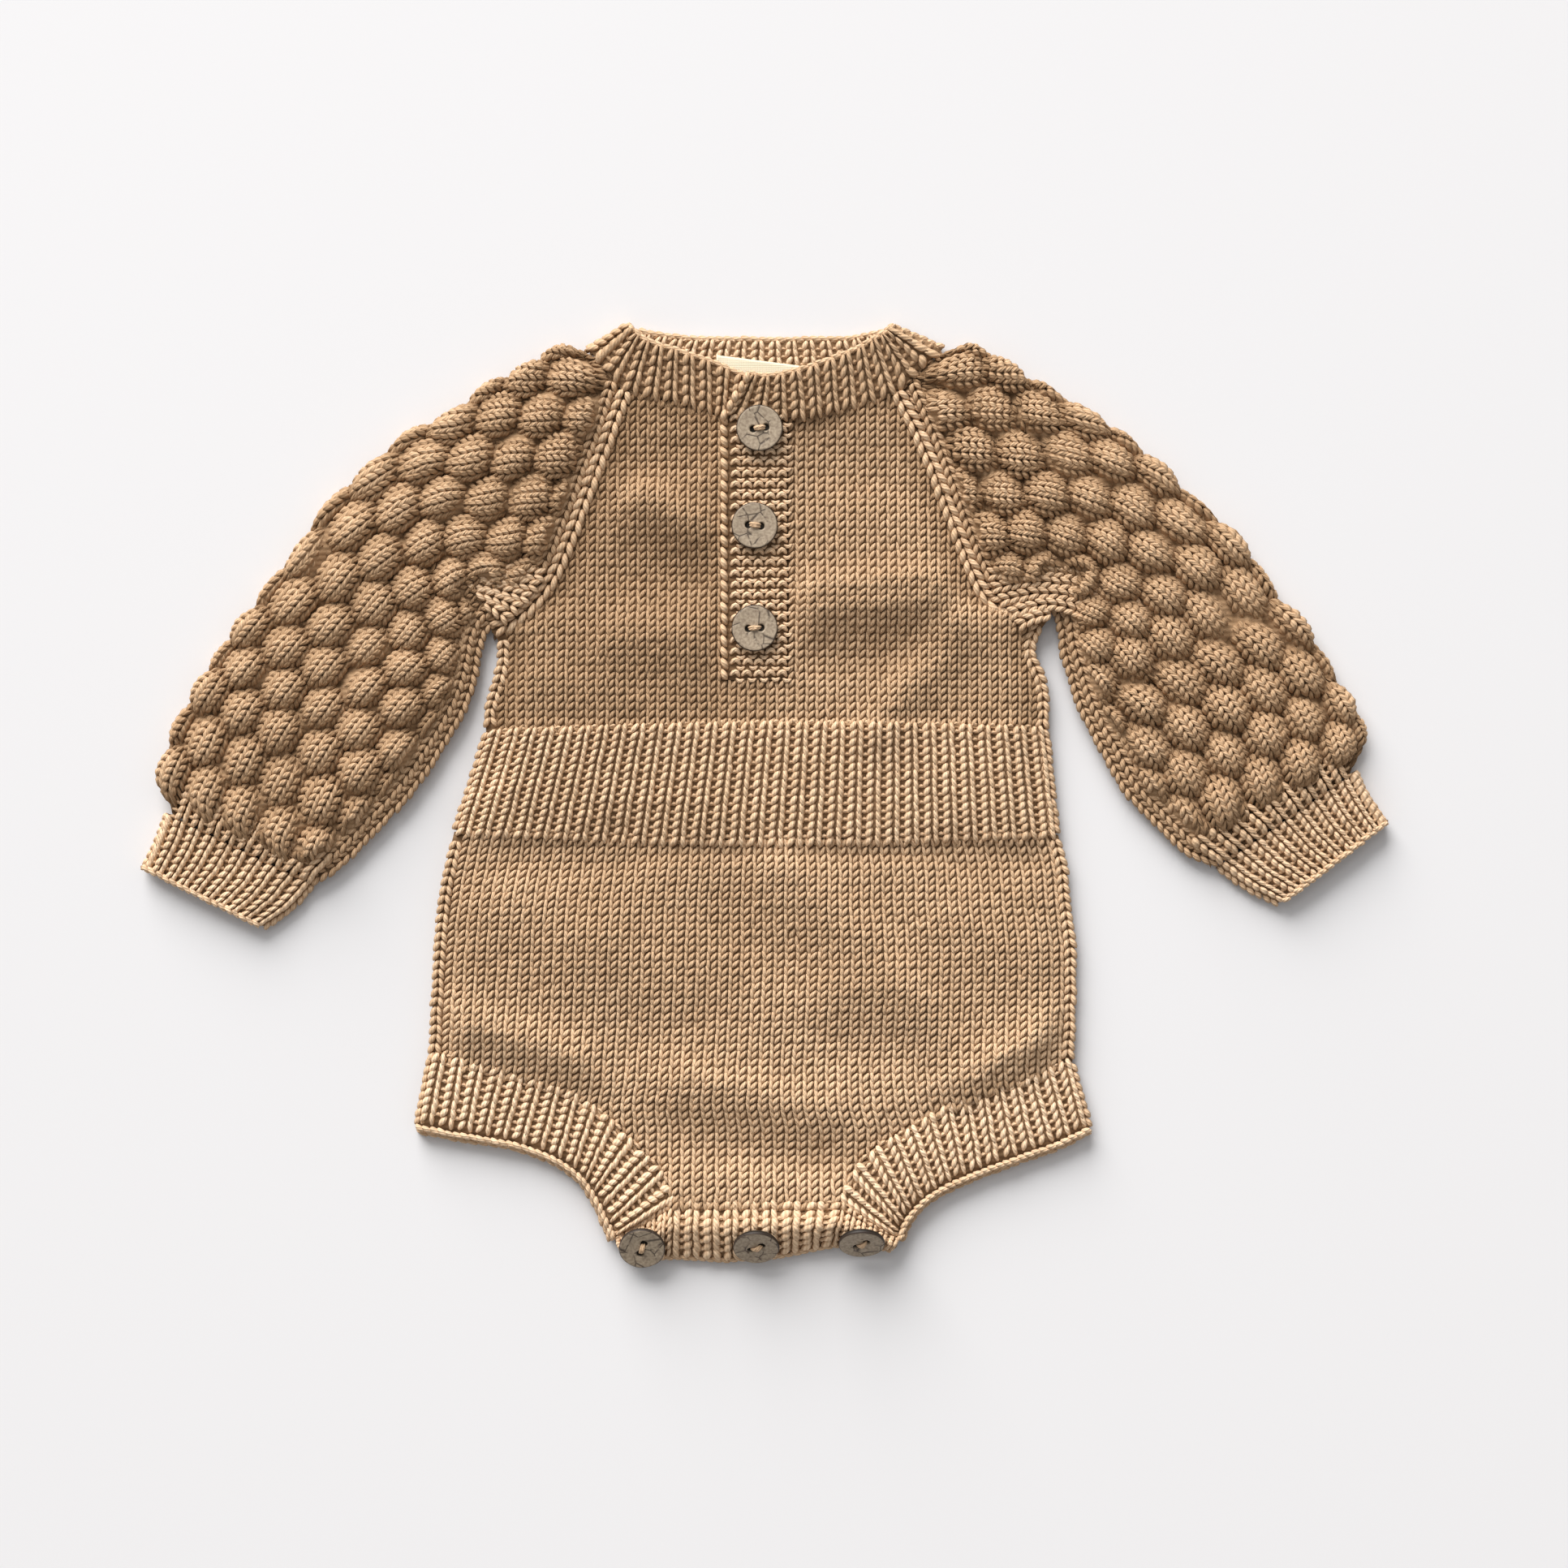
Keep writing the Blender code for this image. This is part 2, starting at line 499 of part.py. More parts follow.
def bend_rows(plan, top, bottom):
    """Bend the rows of a grid so that its last and first rows meet given lines."""
    share = np.linspace(0, 1, len(plan))[:, None, None]
    return plan + share ** 3 * (top - plan[-1]) + (1 - share) ** 3 * (bottom - plan[0])


def on_line(rows, x, offset=0.0):
    """Points at x on a table's smooth curve, moved up by an offset."""
    t = np.linspace(0, len(rows) - 1, 200)
    p = through(rows, t)
    return np.stack([x, np.interp(x, p[:, 0], p[:, 1]) + offset], axis=-1)


def rim_columns(plan):
    """Draw the second column at each side close to the edge."""
    for edge, second in ((0, 1), (-1, -2)):
        step = plan[:, second] - plan[:, edge]
        step /= np.linalg.norm(step, axis=1, keepdims=True)
        plan[:, second] = plan[:, edge] + step * LIP
    return plan


def make_bodice():
    """Front bodice with its placket slot, and the back bodice."""
    foot_row, groups = 2, (9, 3, 10)
    plan = bodice_plan(4, 10, foot_row, groups, (NECK_SEAM_LEFT[-1][1], NECK_SEAM_RIGHT[0][1]))
    x = plan[-1, :, 0]
    left = on_line(NECK_SEAM_LEFT, x[:groups[0] + 1], -HALF_SEAM)
    right = on_line(NECK_SEAM_RIGHT, x[groups[0] + groups[1]:], -HALF_SEAM)
    over_slot = plan[-1, groups[0] + 1:groups[0] + groups[1]]
    waist = on_line(WAIST_TOP, plan[0, :, 0], HALF_SEAM)
    plan = bend_rows(plan, np.concatenate([left, over_slot, right]), waist)
    keep = np.ones((len(plan) - 1, plan.shape[1] - 1), bool)
    keep[foot_row:, groups[0]:groups[0] + groups[1]] = False
    front_wall("front_bodice", rim_columns(plan), keep=keep)

    middle = NECK_SEAM_BACK[2][1]
    plan = bodice_plan(3, 10, 1, (5, 1, 5), (middle, middle))
    neck = on_line(NECK_SEAM_BACK, plan[-1, :, 0], -HALF_SEAM)
    waist = on_line(WAIST_TOP, plan[0, :, 0], HALF_SEAM)
    plan = bend_rows(plan, neck, waist)
    back_wall("back_bodice", rim_columns(plan))


def side_bent(plan):
    """Bring the side columns of a grid onto the body outline."""
    share = np.linspace(0, 1, plan.shape[1])[None, :]
    left = edge_x(LEFT_EDGE, plan[:, 0, 1]) - plan[:, 0, 0]
    right = edge_x(RIGHT_EDGE, plan[:, -1, 1]) - plan[:, -1, 0]
    plan = plan.copy()
    plan[..., 0] += left[:, None] * (1 - share) ** 3 + right[:, None] * share ** 3
    return plan


def seam_line(rows, share, offset):
    """Points on a waist seam, at shares of the way between the body's sides."""
    left = edge_x(LEFT_EDGE, rows[0][1])
    right = edge_x(RIGHT_EDGE, rows[-1][1])
    return on_line(rows, left + share * (right - left), offset)


def make_waist():
    """Ribbed waist, front and back."""
    columns = WAIST_RIBS * RIB_POINTS
    for name, count in (("front_waist_rib", columns), ("back_waist_rib", 12)):
        share = np.linspace(0, 1, count + 1)
        top = seam_line(WAIST_TOP, share, -HALF_SEAM)
        bottom = seam_line(WAIST_BOTTOM, share, HALF_SEAM)
        down = np.linspace(0, 1, 4)[:, None, None]
        plan = side_bent(top * (1 - down) + bottom * down)
        if count == columns:
            fade = ease(np.minimum(share, 1 - share) * WAIST_RIBS)
            relief = RIB_RELIEF * rib_wave(share * WAIST_RIBS) * fade
            inner_cols = list(range(0, columns + 1, RIB_POINTS))
            front_wall(name, plan, relief, cols=inner_cols)
        else:
            back_wall(name, rim_columns(plan))


def lower_rim(counts, off):
    """Lower end of the front panel: left leg, crotch, right leg seam."""
    t_left = evenly(LEFT_LEG, counts[0] + 1)
    t_right = evenly(RIGHT_LEG, counts[2] + 1)
    left = shifted(through(LEFT_LEG, t_left)[:, :2], off)
    right = shifted(through(RIGHT_LEG, t_right)[:, :2], -off)[::-1]
    share = np.linspace(0, 1, counts[1] + 1)[1:-1, None]
    seam = left[-1] * (1 - share) + right[0] * share
    return np.concatenate([left, seam, right])


def make_lower():
    """Lower front and lower back."""
    for name, counts, rows, off in (("front_lower", (11, 6, 10), 12, LEG_SEAM),
                                    ("back_lower", (LEG_STEPS, 4, LEG_STEPS), 6, HALF_SEAM)):
        bottom = lower_rim(counts, off)
        x = bottom[:, 0]
        share = (x - x[0]) / (x[-1] - x[0])
        top = seam_line(WAIST_BOTTOM, share, -HALF_SEAM)
        down = np.linspace(0, 1, rows + 1)[:, None, None]
        plan = side_bent(top * (1 - down) + bottom * down)
        plan[-1, 0] = bottom[0]
        plan[-1, -1] = bottom[-1]
        make = front_wall if name == "front_lower" else back_wall
        make(name, rim_columns(plan))


# ---- leg and crotch bands -----------------------------------------------------------
def strip_plan(rows, count, turn):
    """Grid of three lines from a leg band's seam down to its bound edge."""
    p = through(rows, evenly(rows, count))
    upper = shifted(p[:, :2], -turn * HALF_SEAM)
    down = np.linspace(0, 1, 3)[:, None, None]
    return upper * (1 - down) + p[:, 2:4] * down


def make_leg_bands():
    """Ribbed leg bands, a front and a back one at each leg."""
    columns = LEG_RIBS * RIB_POINTS
    rise_share, wall_share = np.transpose(LEG_LINES)[:, :, None]
    for side, rows, turn in (("left", LEFT_LEG, 1), ("right", RIGHT_LEG, -1)):
        plan = strip_plan(rows, columns + 1, turn)
        share = np.linspace(0, 1, columns + 1)[None, :]
        rise = LEG_RISE[0] + LEG_RISE[1] * ease((share - LEG_RISE_FROM[0]) / LEG_RISE_FROM[1])
        under = FRONT_Z + rise * rise_share
        wave = rib_wave(share * LEG_RIBS) * RIB_RELIEF
        skin = lifted(plan, under + WALL * wall_share + wave)
        inner_cols = list(range(0, columns + 1, RIB_POINTS))
        wall(side + "_leg_band_front", skin, lifted(plan, under), YARN, cols=inner_cols)

        plan = strip_plan(rows, LEG_STEPS + 1, turn)
        out = plan[-1] - plan[-2]
        out /= np.linalg.norm(out, axis=1, keepdims=True)
        plan[-1] += out * np.linspace(*LEG_PEEK, LEG_STEPS + 1)[:, None]
        wall(side + "_leg_band_back", lifted(plan, 0.0), lifted(plan, WALL), YARN)


def crotch_level(down, height):
    """Skin level of the crotch band: it rises to a roll, then falls to its edge."""
    start = CROTCH_START * height
    rise = ease(down / CROTCH_ROLL_AT)
    fall = np.clip((down - CROTCH_ROLL_AT) / (1 - CROTCH_ROLL_AT), 0, 1)
    drop = 0.35 * fall + 0.65 * fall ** 1.5
    return start + (height - start) * rise - (height - CROTCH_EDGE) * drop


def make_crotch_bands():
    """Crotch band of the front, and the back's band lapped under it."""
    columns = CROTCH_RIBS * RIB_POINTS
    p = straight(CROTCH, np.linspace(0, len(CROTCH) - 1, columns + 1))
    down = np.array(CROTCH_LINES)
    plan = p[:, :2] * (1 - down[:, None, None]) + p[:, 2:4] * down[:, None, None]
    level = crotch_level(down[:, None], p[None, :, 4])
    wave = rib_wave(np.linspace(0, CROTCH_RIBS, columns + 1)) * CROTCH_RELIEF
    slope = np.gradient(level, axis=0) / np.linalg.norm(np.gradient(plan, axis=0), axis=-1)
    under = level - CROTCH_WALL * np.sqrt(1 + np.clip(slope, -1.2, 1.2) ** 2)
    under = np.maximum(under, CROTCH_LOWEST)
    inner_cols = list(range(0, columns + 1, RIB_POINTS))
    wall("crotch_band_front", lifted(plan, level + wave), lifted(plan, under), YARN, cols=inner_cols)

    p = straight(CROTCH, np.linspace(*LAP_SPAN, 13))
    grids = []
    for column in (0, 2):
        down = np.array(CROTCH_LAP)[:, column]
        plan = p[:, :2] * (1 - down[:, None, None]) + p[:, 2:4] * down[:, None, None]
        grids.append(lifted(plan, np.array(CROTCH_LAP)[:, column + 1][:, None]))
    wall("crotch_band_back", grids[0], grids[1], YARN)


# ---- neck and placket -----------------------------------------------------------------
def make_neckband():
    """Ribbed neckband: one strip that turns under at each shoulder."""
    p = np.asarray(NECKBAND)
    middle = np.column_stack([(p[:, 0] + p[:, 2]) / 2, (p[:, 1] + p[:, 3]) / 2, p[:, 4] * 0.8])
    run = np.concatenate([[0], np.cumsum(np.linalg.norm(np.diff(middle, axis=0), axis=1))])
    ribs = int(round(run[-1] / NECK_RIB_PITCH))
    stations = np.interp(np.linspace(0, run[-1], ribs * RIB_POINTS + 1), run, np.arange(len(p)))
    at_folds = np.add.outer(NECK_FOLDS, (-0.5, 0.0, 0.5)).ravel()
    t = np.unique(np.concatenate([stations, at_folds]))
    phase = np.interp(t, np.arange(len(p)), run / run[-1] * ribs)
    q = straight(NECKBAND, t)
    facing = q[:, 5]
    share = np.array([0.0, 1.0])[:, None, None]
    mid = lifted(q[:, :2] * (1 - share) + q[:, 2:4] * share, q[:, 4])
    outward = np.column_stack([np.sign(q[:, 0]) * 0.5, np.full(len(q), 0.86)])
    turned = np.sqrt(np.clip(1 - facing ** 2, 0, 1))
    normal = np.column_stack([outward * turned[:, None], facing])
    wave = rib_wave(phase) * ease((t - NECK_LAP_END) / 0.8) * facing ** 2
    skin_relief = np.clip(facing, 0, 1) * wave
    inner_relief = np.clip(-facing, 0, 1) * wave * NECK_BACK_RELIEF
    skin = mid + normal * (NECK_WALL / 2 + skin_relief)[:, None]
    inner = mid - normal * (NECK_WALL / 2 + inner_relief)[:, None]
    wall("neckband", skin, inner, YARN)


def make_placket():
    """Placket: the garter buttonhole band over the plain button band."""
    ridges = int(round((PLACKET_TOP - PLACKET_FOOT) / RIDGE_PITCH))
    lines = 2 * ridges + 1
    share = np.linspace(0, 1, lines)
    y = PLACKET_FOOT + share * (PLACKET_TOP - PLACKET_FOOT)
    across, relief = np.transpose(PLACKET_COLUMNS)
    x = PLACKET_LEFT + across * (PLACKET_RIGHT - PLACKET_LEFT)
    plan = np.stack(np.meshgrid(x, y), axis=-1)
    wave = (np.arange(lines) % 2)[:, None] * relief
    skin = lifted(plan, TOP_BAND_Z[1] + wave * RIDGE_RELIEF)
    inner_rows = list(range(0, lines, 2))
    wall("placket_buttonhole_band", skin, lifted(plan, TOP_BAND_Z[0]), YARN, rows=inner_rows)

    y = np.linspace(PLACKET_FOOT + BAND_INSET, PLACKET_TOP - BAND_INSET, 7)
    x = np.linspace(PLACKET_LEFT + BAND_INSET, PLACKET_RIGHT - BAND_INSET, 3)
    plan = np.stack(np.meshgrid(x, y), axis=-1)
    wall("placket_button_band", lifted(plan, UNDER_BAND_Z[1]), lifted(plan, UNDER_BAND_Z[0]), YARN)


# ---- sleeves and cuffs ----------------------------------------------------------------
def bubble(across_pitches, along_rows, start):
    """Bubble relief 0 to 1: domes in rows, each row set off by half a pitch."""
    best = np.zeros(np.broadcast(across_pitches, along_rows).shape)
    for step in (-1, 0, 1):
        row = np.floor(along_rows) + step
        offset = start + 0.5 * (row % 2)
        sideways = across_pitches - offset
        sideways = sideways - np.round(sideways)
        lengthways = along_rows - row - 0.5
        reach = (sideways / BUBBLE_HALF_WIDTH) ** 2 + (lengthways / BUBBLE_HALF_LENGTH) ** 2
        best = np.maximum(best, np.sqrt(np.clip(1 - reach, 0, 1)))
    return best


def folded_sheet(table, rows, inset, off):
    """Plan frame of a folded sheet: outer points, section directions, widths, runs."""
    middle = (np.asarray(table)[:, :2] + np.asarray(table)[:, 2:4]) / 2
    t = evenly(middle, rows)
    p = through(table, t)
    inner = shifted(p[:, 2:4], off)
    outer = p[:, :2]
    direction = inner - outer
    direction /= np.linalg.norm(direction, axis=1, keepdims=True)
    outer = outer + direction * inset
    width = np.linalg.norm(inner - outer, axis=1)
    run = np.concatenate([[0], np.cumsum(np.linalg.norm(np.diff(through(middle, t), axis=0), axis=1))])
    return outer, direction, width, run


def fold_section(outer, direction, width, shares_top, low_wall, hollow, relief):
    """Skin and inner grids of a sheet folded round its outer edge.

    Columns run from the inner edge along the underside, round the fold and
    back over the top.  low_wall(w), hollow(w) and relief(w) give the wall of
    the underside, the air space over it and the raised form of the top at a
    distance w from the fold.
    """
    rows = len(outer)
    wide = width[:, None]
    shares_low = np.array([[1.0, 0.5, 0.0]])
    low_w = FOLD_RADIUS + (wide - FOLD_RADIUS) * shares_low
    top_w = FOLD_RADIUS + (wide - FOLD_RADIUS) * shares_top

    angle = np.linspace(-math.pi / 2, math.pi / 2, FOLD_STEPS + 1)[None, :]
    bulge = np.clip(np.sin(angle) * 0.7 + 0.55, 0, 1) * np.cos(angle) ** 0.5
    reach = FOLD_RADIUS + relief(np.zeros((rows, 1))) * 0.55 * bulge
    fold_w = FOLD_RADIUS - reach * np.cos(angle)
    fold_z = np.tile(FOLD_RADIUS + FOLD_RADIUS * np.sin(angle), (rows, 1))
    fold_in_w = np.tile(FOLD_RADIUS - FOLD_HOLLOW * np.cos(angle), (rows, 1))
    fold_in_z = np.tile(FOLD_RADIUS + FOLD_HOLLOW * np.sin(angle), (rows, 1))

    near_fold = ease((top_w - FOLD_RADIUS) / 9)
    near_edge = ease((wide - top_w) / 8)
    top_under = low_wall(top_w) + SEAM + hollow(top_w)
    top_under = (FOLD_RADIUS + FOLD_HOLLOW) * (1 - near_fold) + top_under * near_fold
    top_under = FRONT_Z * (1 - near_edge) + top_under * near_edge
    thick = WALL * (EDGE_WALL + (1 - EDGE_WALL) * ease((wide - top_w) / LIP))
    top_skin = top_under + thick + relief(top_w)

    low = low_w[:, :-1]
    skin_w = np.concatenate([low, fold_w, top_w[:, 1:]], axis=1)
    skin_z = np.concatenate([np.zeros_like(low), fold_z, top_skin[:, 1:]], axis=1)
    inner_w = np.concatenate([low, fold_in_w, top_w[:, 1:]], axis=1)
    inner_z = np.concatenate([low_wall(low), fold_in_z, top_under[:, 1:]], axis=1)
    inner_w[:, [0, -1]] -= INNER_INSET
    place = outer[:, None, :] + direction[:, None, :] * skin_w[..., None]
    place_in = outer[:, None, :] + direction[:, None, :] * inner_w[..., None]
    return lifted(place, skin_z), lifted(place_in, inner_z)


def make_sleeve(name, table, off, start, rows_at):
    """A raglan sleeve in bubble stitch, one sheet folded along its outer edge."""
    rows = SLEEVE_ROWS + 1
    outer, direction, width, run = folded_sheet(table, rows, SCALLOP_INSET, off)
    wide = width[:, None]
    from_cuff = run[-1] - run
    along = np.interp(from_cuff, *np.transpose(rows_at))[:, None]
    pitch = BUBBLE_ACROSS * (1 - BUBBLE_GATHER * ease((20 - from_cuff) / 20))[:, None]
    ends = ease(np.minimum(run, from_cuff) / 7)[:, None]

    even = np.linspace(0, 1, TOP_POINTS)[None, :]
    fixed = np.minimum(np.arange(PINNED_POINTS) * BUBBLE_ACROSS / 4, 56) / (wide - FOLD_RADIUS)
    rest = np.linspace(0.75, 0, TOP_POINTS - PINNED_POINTS)[None, :]
    pinned = np.concatenate([fixed, 1 - (1 - fixed[:, -1:]) * rest], axis=1)
    blend = ease((wide - NARROW[0]) / (NARROW[1] - NARROW[0]))
    shares_top = even * (1 - blend) + pinned * blend

    def low_wall(w):
        return WALL + UNDERARM_DRAPE * ease((wide - w) / 18) * ease(w / 10) * ends

    def hollow(w):
        middle = ease(w / 26) * ease((wide - w) / 22)
        return (SLEEVE_HOLLOW[0] + SLEEVE_HOLLOW[1] * middle) * (0.4 + 0.6 * ends)

    def relief(w):
        plain = ease((wide - w - PLAIN_EDGE * 0.45) / PLAIN_EDGE)
        return BUBBLE_RELIEF * bubble(w / pitch, along, start) * plain * ends

    skin, inner = fold_section(outer, direction, width, shares_top, low_wall, hollow, relief)
    last = skin.shape[1] - 1
    first_top = 2 + FOLD_STEPS
    keep_cols = sorted({*range(first_top + 1), *range(first_top + 2, last, 2), last})
    keep_rows = list(range(0, 20, 2)) + list(range(21, rows, 3))
    wall(name, skin, inner, YARN, rows=keep_rows, cols=keep_cols)


def make_cuff(name, table):
    """A ribbed cuff, one sheet folded along its outer edge."""
    outer, direction, width, _ = folded_sheet(table, CUFF_ROWS, CUFF_INSET, 0.0)
    wide = width[:, None]
    ribs = int(round(width.mean() / CUFF_RIB_PITCH))
    shares_top = np.linspace(0, 1, ribs * RIB_POINTS + 1)[None, :]

    def low_wall(w):
        return np.full_like(w, WALL)

    def hollow(w):
        return CUFF_HOLLOW[0] + CUFF_HOLLOW[1] * ease(w / 14) * ease((wide - w) / 14)

    def relief(w):
        phase = (w - FOLD_RADIUS) / (wide - FOLD_RADIUS) * ribs
        return RIB_RELIEF * rib_wave(phase) * ease(w / 3)

    skin, inner = fold_section(outer, direction, width, shares_top, low_wall, hollow, relief)
    last = skin.shape[1] - 1
    first_top = 2 + FOLD_STEPS
    keep_cols = list(range(first_top + 1)) + list(range(first_top + RIB_POINTS, last + 1, RIB_POINTS))
    wall(name, skin, inner, YARN, cols=keep_cols)


# ---- buttons and label -----------------------------------------------------------------
def make_button(name, x, y, level, tilt, turn):
    """A round coconut button with a rounded rim and two thread holes."""
    bm = bmesh.new()
    radius = BUTTON_DIAMETER / 2
    lift = Matrix.Translation((0, 0, BUTTON_THICK / 2 * MM))
    bmesh.ops.create_cone(
        bm, cap_ends=True, segments=BUTTON_SIDES, radius1=radius * MM, radius2=radius * MM,
        depth=BUTTON_THICK * MM, matrix=lift)
    button = add_object(name, bm, COCONUT)
    rim = button.modifiers.new("rim", "BEVEL")
    rim.width = BUTTON_BEVEL * MM
    rim.segments = 1
    rim.limit_method = "ANGLE"

    bm = bmesh.new()
    for side in (-1, 1):
        place = Matrix.Translation((side * HOLE_SPACING / 2 * MM, 0, BUTTON_THICK / 2 * MM))
        bmesh.ops.create_cone(
            bm, cap_ends=True, segments=HOLE_SIDES, radius1=HOLE_DIAMETER / 2 * MM,
            radius2=HOLE_DIAMETER / 2 * MM, depth=BUTTON_THICK * 2 * MM, matrix=place)
    mesh = bpy.data.meshes.new(name + "_holes")
    bm.to_mesh(mesh)
    bm.free()
    cutter = bpy.data.objects.new(name + "_holes", mesh)
    cutter.display_type = "WIRE"
    cutter.hide_render = True
    CUTTERS.objects.link(cutter)
    holes = button.modifiers.new("holes", "BOOLEAN")
    holes.operation = "DIFFERENCE"
    holes.solver = "EXACT"
    holes.object = cutter

    tip = Matrix.Rotation(math.radians(tilt), 4, "X")
    spin = Matrix.Rotation(math.radians(turn), 4, "Z")
    pose = Matrix.Translation((x * MM, y * MM, level * MM)) @ tip @ spin
    button.matrix_world = pose
    cutter.matrix_world = pose


def make_label():
    """Bare woven label on the inside of the back neck."""
    start, end = np.array(LABEL_TOP)
    share = np.linspace(0, 1, 5)[:, None]
    upper = start * (1 - share) + end * share
    side = (end - start) / np.linalg.norm(end - start)
    down = np.array([side[1], -side[0]])
    plan = np.stack([upper + down * LABEL_DEEP, upper + down * LABEL_DEEP / 2, upper])
    wall("label", lifted(plan, LABEL_Z[1]), lifted(plan, LABEL_Z[0]), TAPE)


# ---- scene -------------------------------------------------------------------------
for old in list(bpy.data.objects):
    bpy.data.objects.remove(old, do_unlink=True)
ROMPER = bpy.data.collections.new("baby_romper")
CUTTERS = bpy.data.collections.new("cutters")
bpy.context.scene.collection.children.link(ROMPER)
bpy.context.scene.collection.children.link(CUTTERS)

make_bodice()
make_waist()
make_lower()
make_leg_bands()
make_crotch_bands()
make_neckband()
make_placket()
make_sleeve("sleeve_left", LEFT_SLEEVE, -CURVE_SEAM, LEFT_START, LEFT_BUBBLE_ROWS)
make_sleeve("sleeve_right", RIGHT_SLEEVE, CURVE_SEAM, RIGHT_START, RIGHT_BUBBLE_ROWS)
make_cuff("cuff_left", LEFT_CUFF)
make_cuff("cuff_right", RIGHT_CUFF)
make_label()
for row in BUTTONS:
    make_button(*row)
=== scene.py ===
# %% [markdown]
# # A hand-knitted baby romper, laid flat
# The romper is knitted in one colour of double-knit cotton, from the neck
# down: plain bodice and lower body, ribbed waist and bands, sleeves in bubble
# stitch, a garter placket and coconut buttons.  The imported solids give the
# form of every piece.  This script dresses them: each piece becomes a thin
# wall of cloth with every stitch laid on it in yarn.

import math

import bpy
import numpy as np
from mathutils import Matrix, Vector


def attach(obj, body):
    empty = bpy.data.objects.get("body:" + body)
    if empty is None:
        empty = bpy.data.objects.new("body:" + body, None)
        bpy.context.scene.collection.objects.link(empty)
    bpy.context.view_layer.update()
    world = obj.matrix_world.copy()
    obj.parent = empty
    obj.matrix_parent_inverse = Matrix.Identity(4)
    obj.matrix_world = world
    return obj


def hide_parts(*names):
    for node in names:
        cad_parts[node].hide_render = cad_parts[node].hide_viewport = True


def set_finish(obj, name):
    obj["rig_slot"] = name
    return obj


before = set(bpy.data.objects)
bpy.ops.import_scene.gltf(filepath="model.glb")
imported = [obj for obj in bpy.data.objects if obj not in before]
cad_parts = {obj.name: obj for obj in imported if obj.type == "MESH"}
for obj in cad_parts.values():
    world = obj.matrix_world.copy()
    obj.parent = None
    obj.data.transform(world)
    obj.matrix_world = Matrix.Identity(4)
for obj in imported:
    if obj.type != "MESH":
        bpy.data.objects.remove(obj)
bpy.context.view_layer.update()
MM = 0.001

# %% [markdown]
# ## Curves
# A seam is a short table of points.  One could model it as a Bezier curve and
# read that back, but a small function through the table's rows keeps the
# numbers where they can be read.

# %% Curves through tables


def joined(*parts):
    """One array from its parts, such as (x, y, z) at each place from x, y and z."""
    return np.stack(np.broadcast_arrays(*parts), axis=-1)


def through(rows, t):
    """Smooth curve: a cubic between two rows, with slopes from their neighbours."""
    p = np.asarray(rows, float)
    t = np.clip(np.asarray(t, float), 0, len(p) - 1)
    i = np.minimum(t.astype(int), len(p) - 2)
    f = (t - i)[..., None]
    slope = np.gradient(p, axis=0)
    start = (1 + 2 * f) * (1 - f) ** 2 * p[i] + f * (1 - f) ** 2 * slope[i]
    return start + f * f * (3 - 2 * f) * p[i + 1] + f * f * (f - 1) * slope[i + 1]


def straight(rows, t):
    """Straight-sided line through a table; t counts its rows."""
    p = np.asarray(rows, float)
    count = np.arange(len(p))
    return np.stack([np.interp(t, count, column) for column in p.T], axis=-1)


print("a curve through 0, 1, 4 and 9, halfway from 1 to 4:", through(((0,), (1,), (4,), (9,)), 1.5))

# %% [markdown]
# ### Along a line
# Stitches are spaced by the length of yarn that they take up, so lines are
# measured by the distance travelled along them.

# %% Distance along a line


def run_of(points):
    """Distance travelled along a line, at each of its points."""
    steps = np.linalg.norm(np.diff(points, axis=0), axis=1)
    return np.concatenate([[0], np.cumsum(steps)])


def evenly(rows, count):
    """Row numbers that space points evenly along a table's smooth curve."""
    t = np.linspace(0, len(rows) - 1, 400)
    run = run_of(through(rows, t)[:, :2])
    return np.interp(np.linspace(0, run[-1], count), run, t)


def shifted(points, distance):
    """A plan line moved to the left of its direction by a distance."""
    step = np.gradient(points, axis=0)
    step /= np.linalg.norm(step, axis=1, keepdims=True)
    return points + distance * np.stack([-step[:, 1], step[:, 0]], axis=1)


print("run round a corner:", run_of(np.array([[0, 0], [3, 0], [3, 4]])))

# %% [markdown]
# ### Soft steps
# Cloth never changes its level at once.  Every rise, fade and rib in this
# script comes from the same soft step.

# %% Soft step and rib profile


def ease(value):
    """0 below 0, 1 above 1, and 3f^2 - 2f^3 between."""
    f = np.clip(value, 0, 1)
    return f * f * (3 - 2 * f)


def rib_wave(phase):
    """Rib profile: 1 on the crest, 0 in the narrow valley at whole numbers."""
    return ease(np.abs(phase - np.round(phase)) / 0.3)


print("soft step at a quarter:", ease(0.25))

# %% [markdown]
# ## Sizes of the cloth
# All in millimetres, +Y to the neck, +Z to the viewer.  They are the sizes
# that the solids were built from, so that the cloth lies on the same form.
# One could read them back from the solids, but named sizes stay readable.

# %% Cloth, ribs and bubbles
WALL = 2.4  # thickness of the knitted cloth
SEAM = 0.3
FRONT_Z = WALL + SEAM  # lowest level of the front, over the back
THIN = 1.3  # the dark wall under the stitches; under ribs it lies as deep
UNDERSIDE = 0.45  # level of the skin that looks down
BACK_WALL = (WALL, 1.0)  # levels of the back's wall
WALE = 4.0  # width of a plain stitch
ROW = 2.95  # height of a row
RIB_RELIEF = 1.0
WAIST_RIBS = 31
LEG_RIBS = 14
CROTCH_RIBS = 19
CUFF_PITCH = 6.3
NECK_PITCH = 7.0
RIDGE_PITCH = 4.4  # garter ridge to garter ridge
RIDGE_WALE = 4.2
print(f"gauge: {100 / WALE:.0f} stitches and {100 / ROW:.0f} rows to 10 cm")

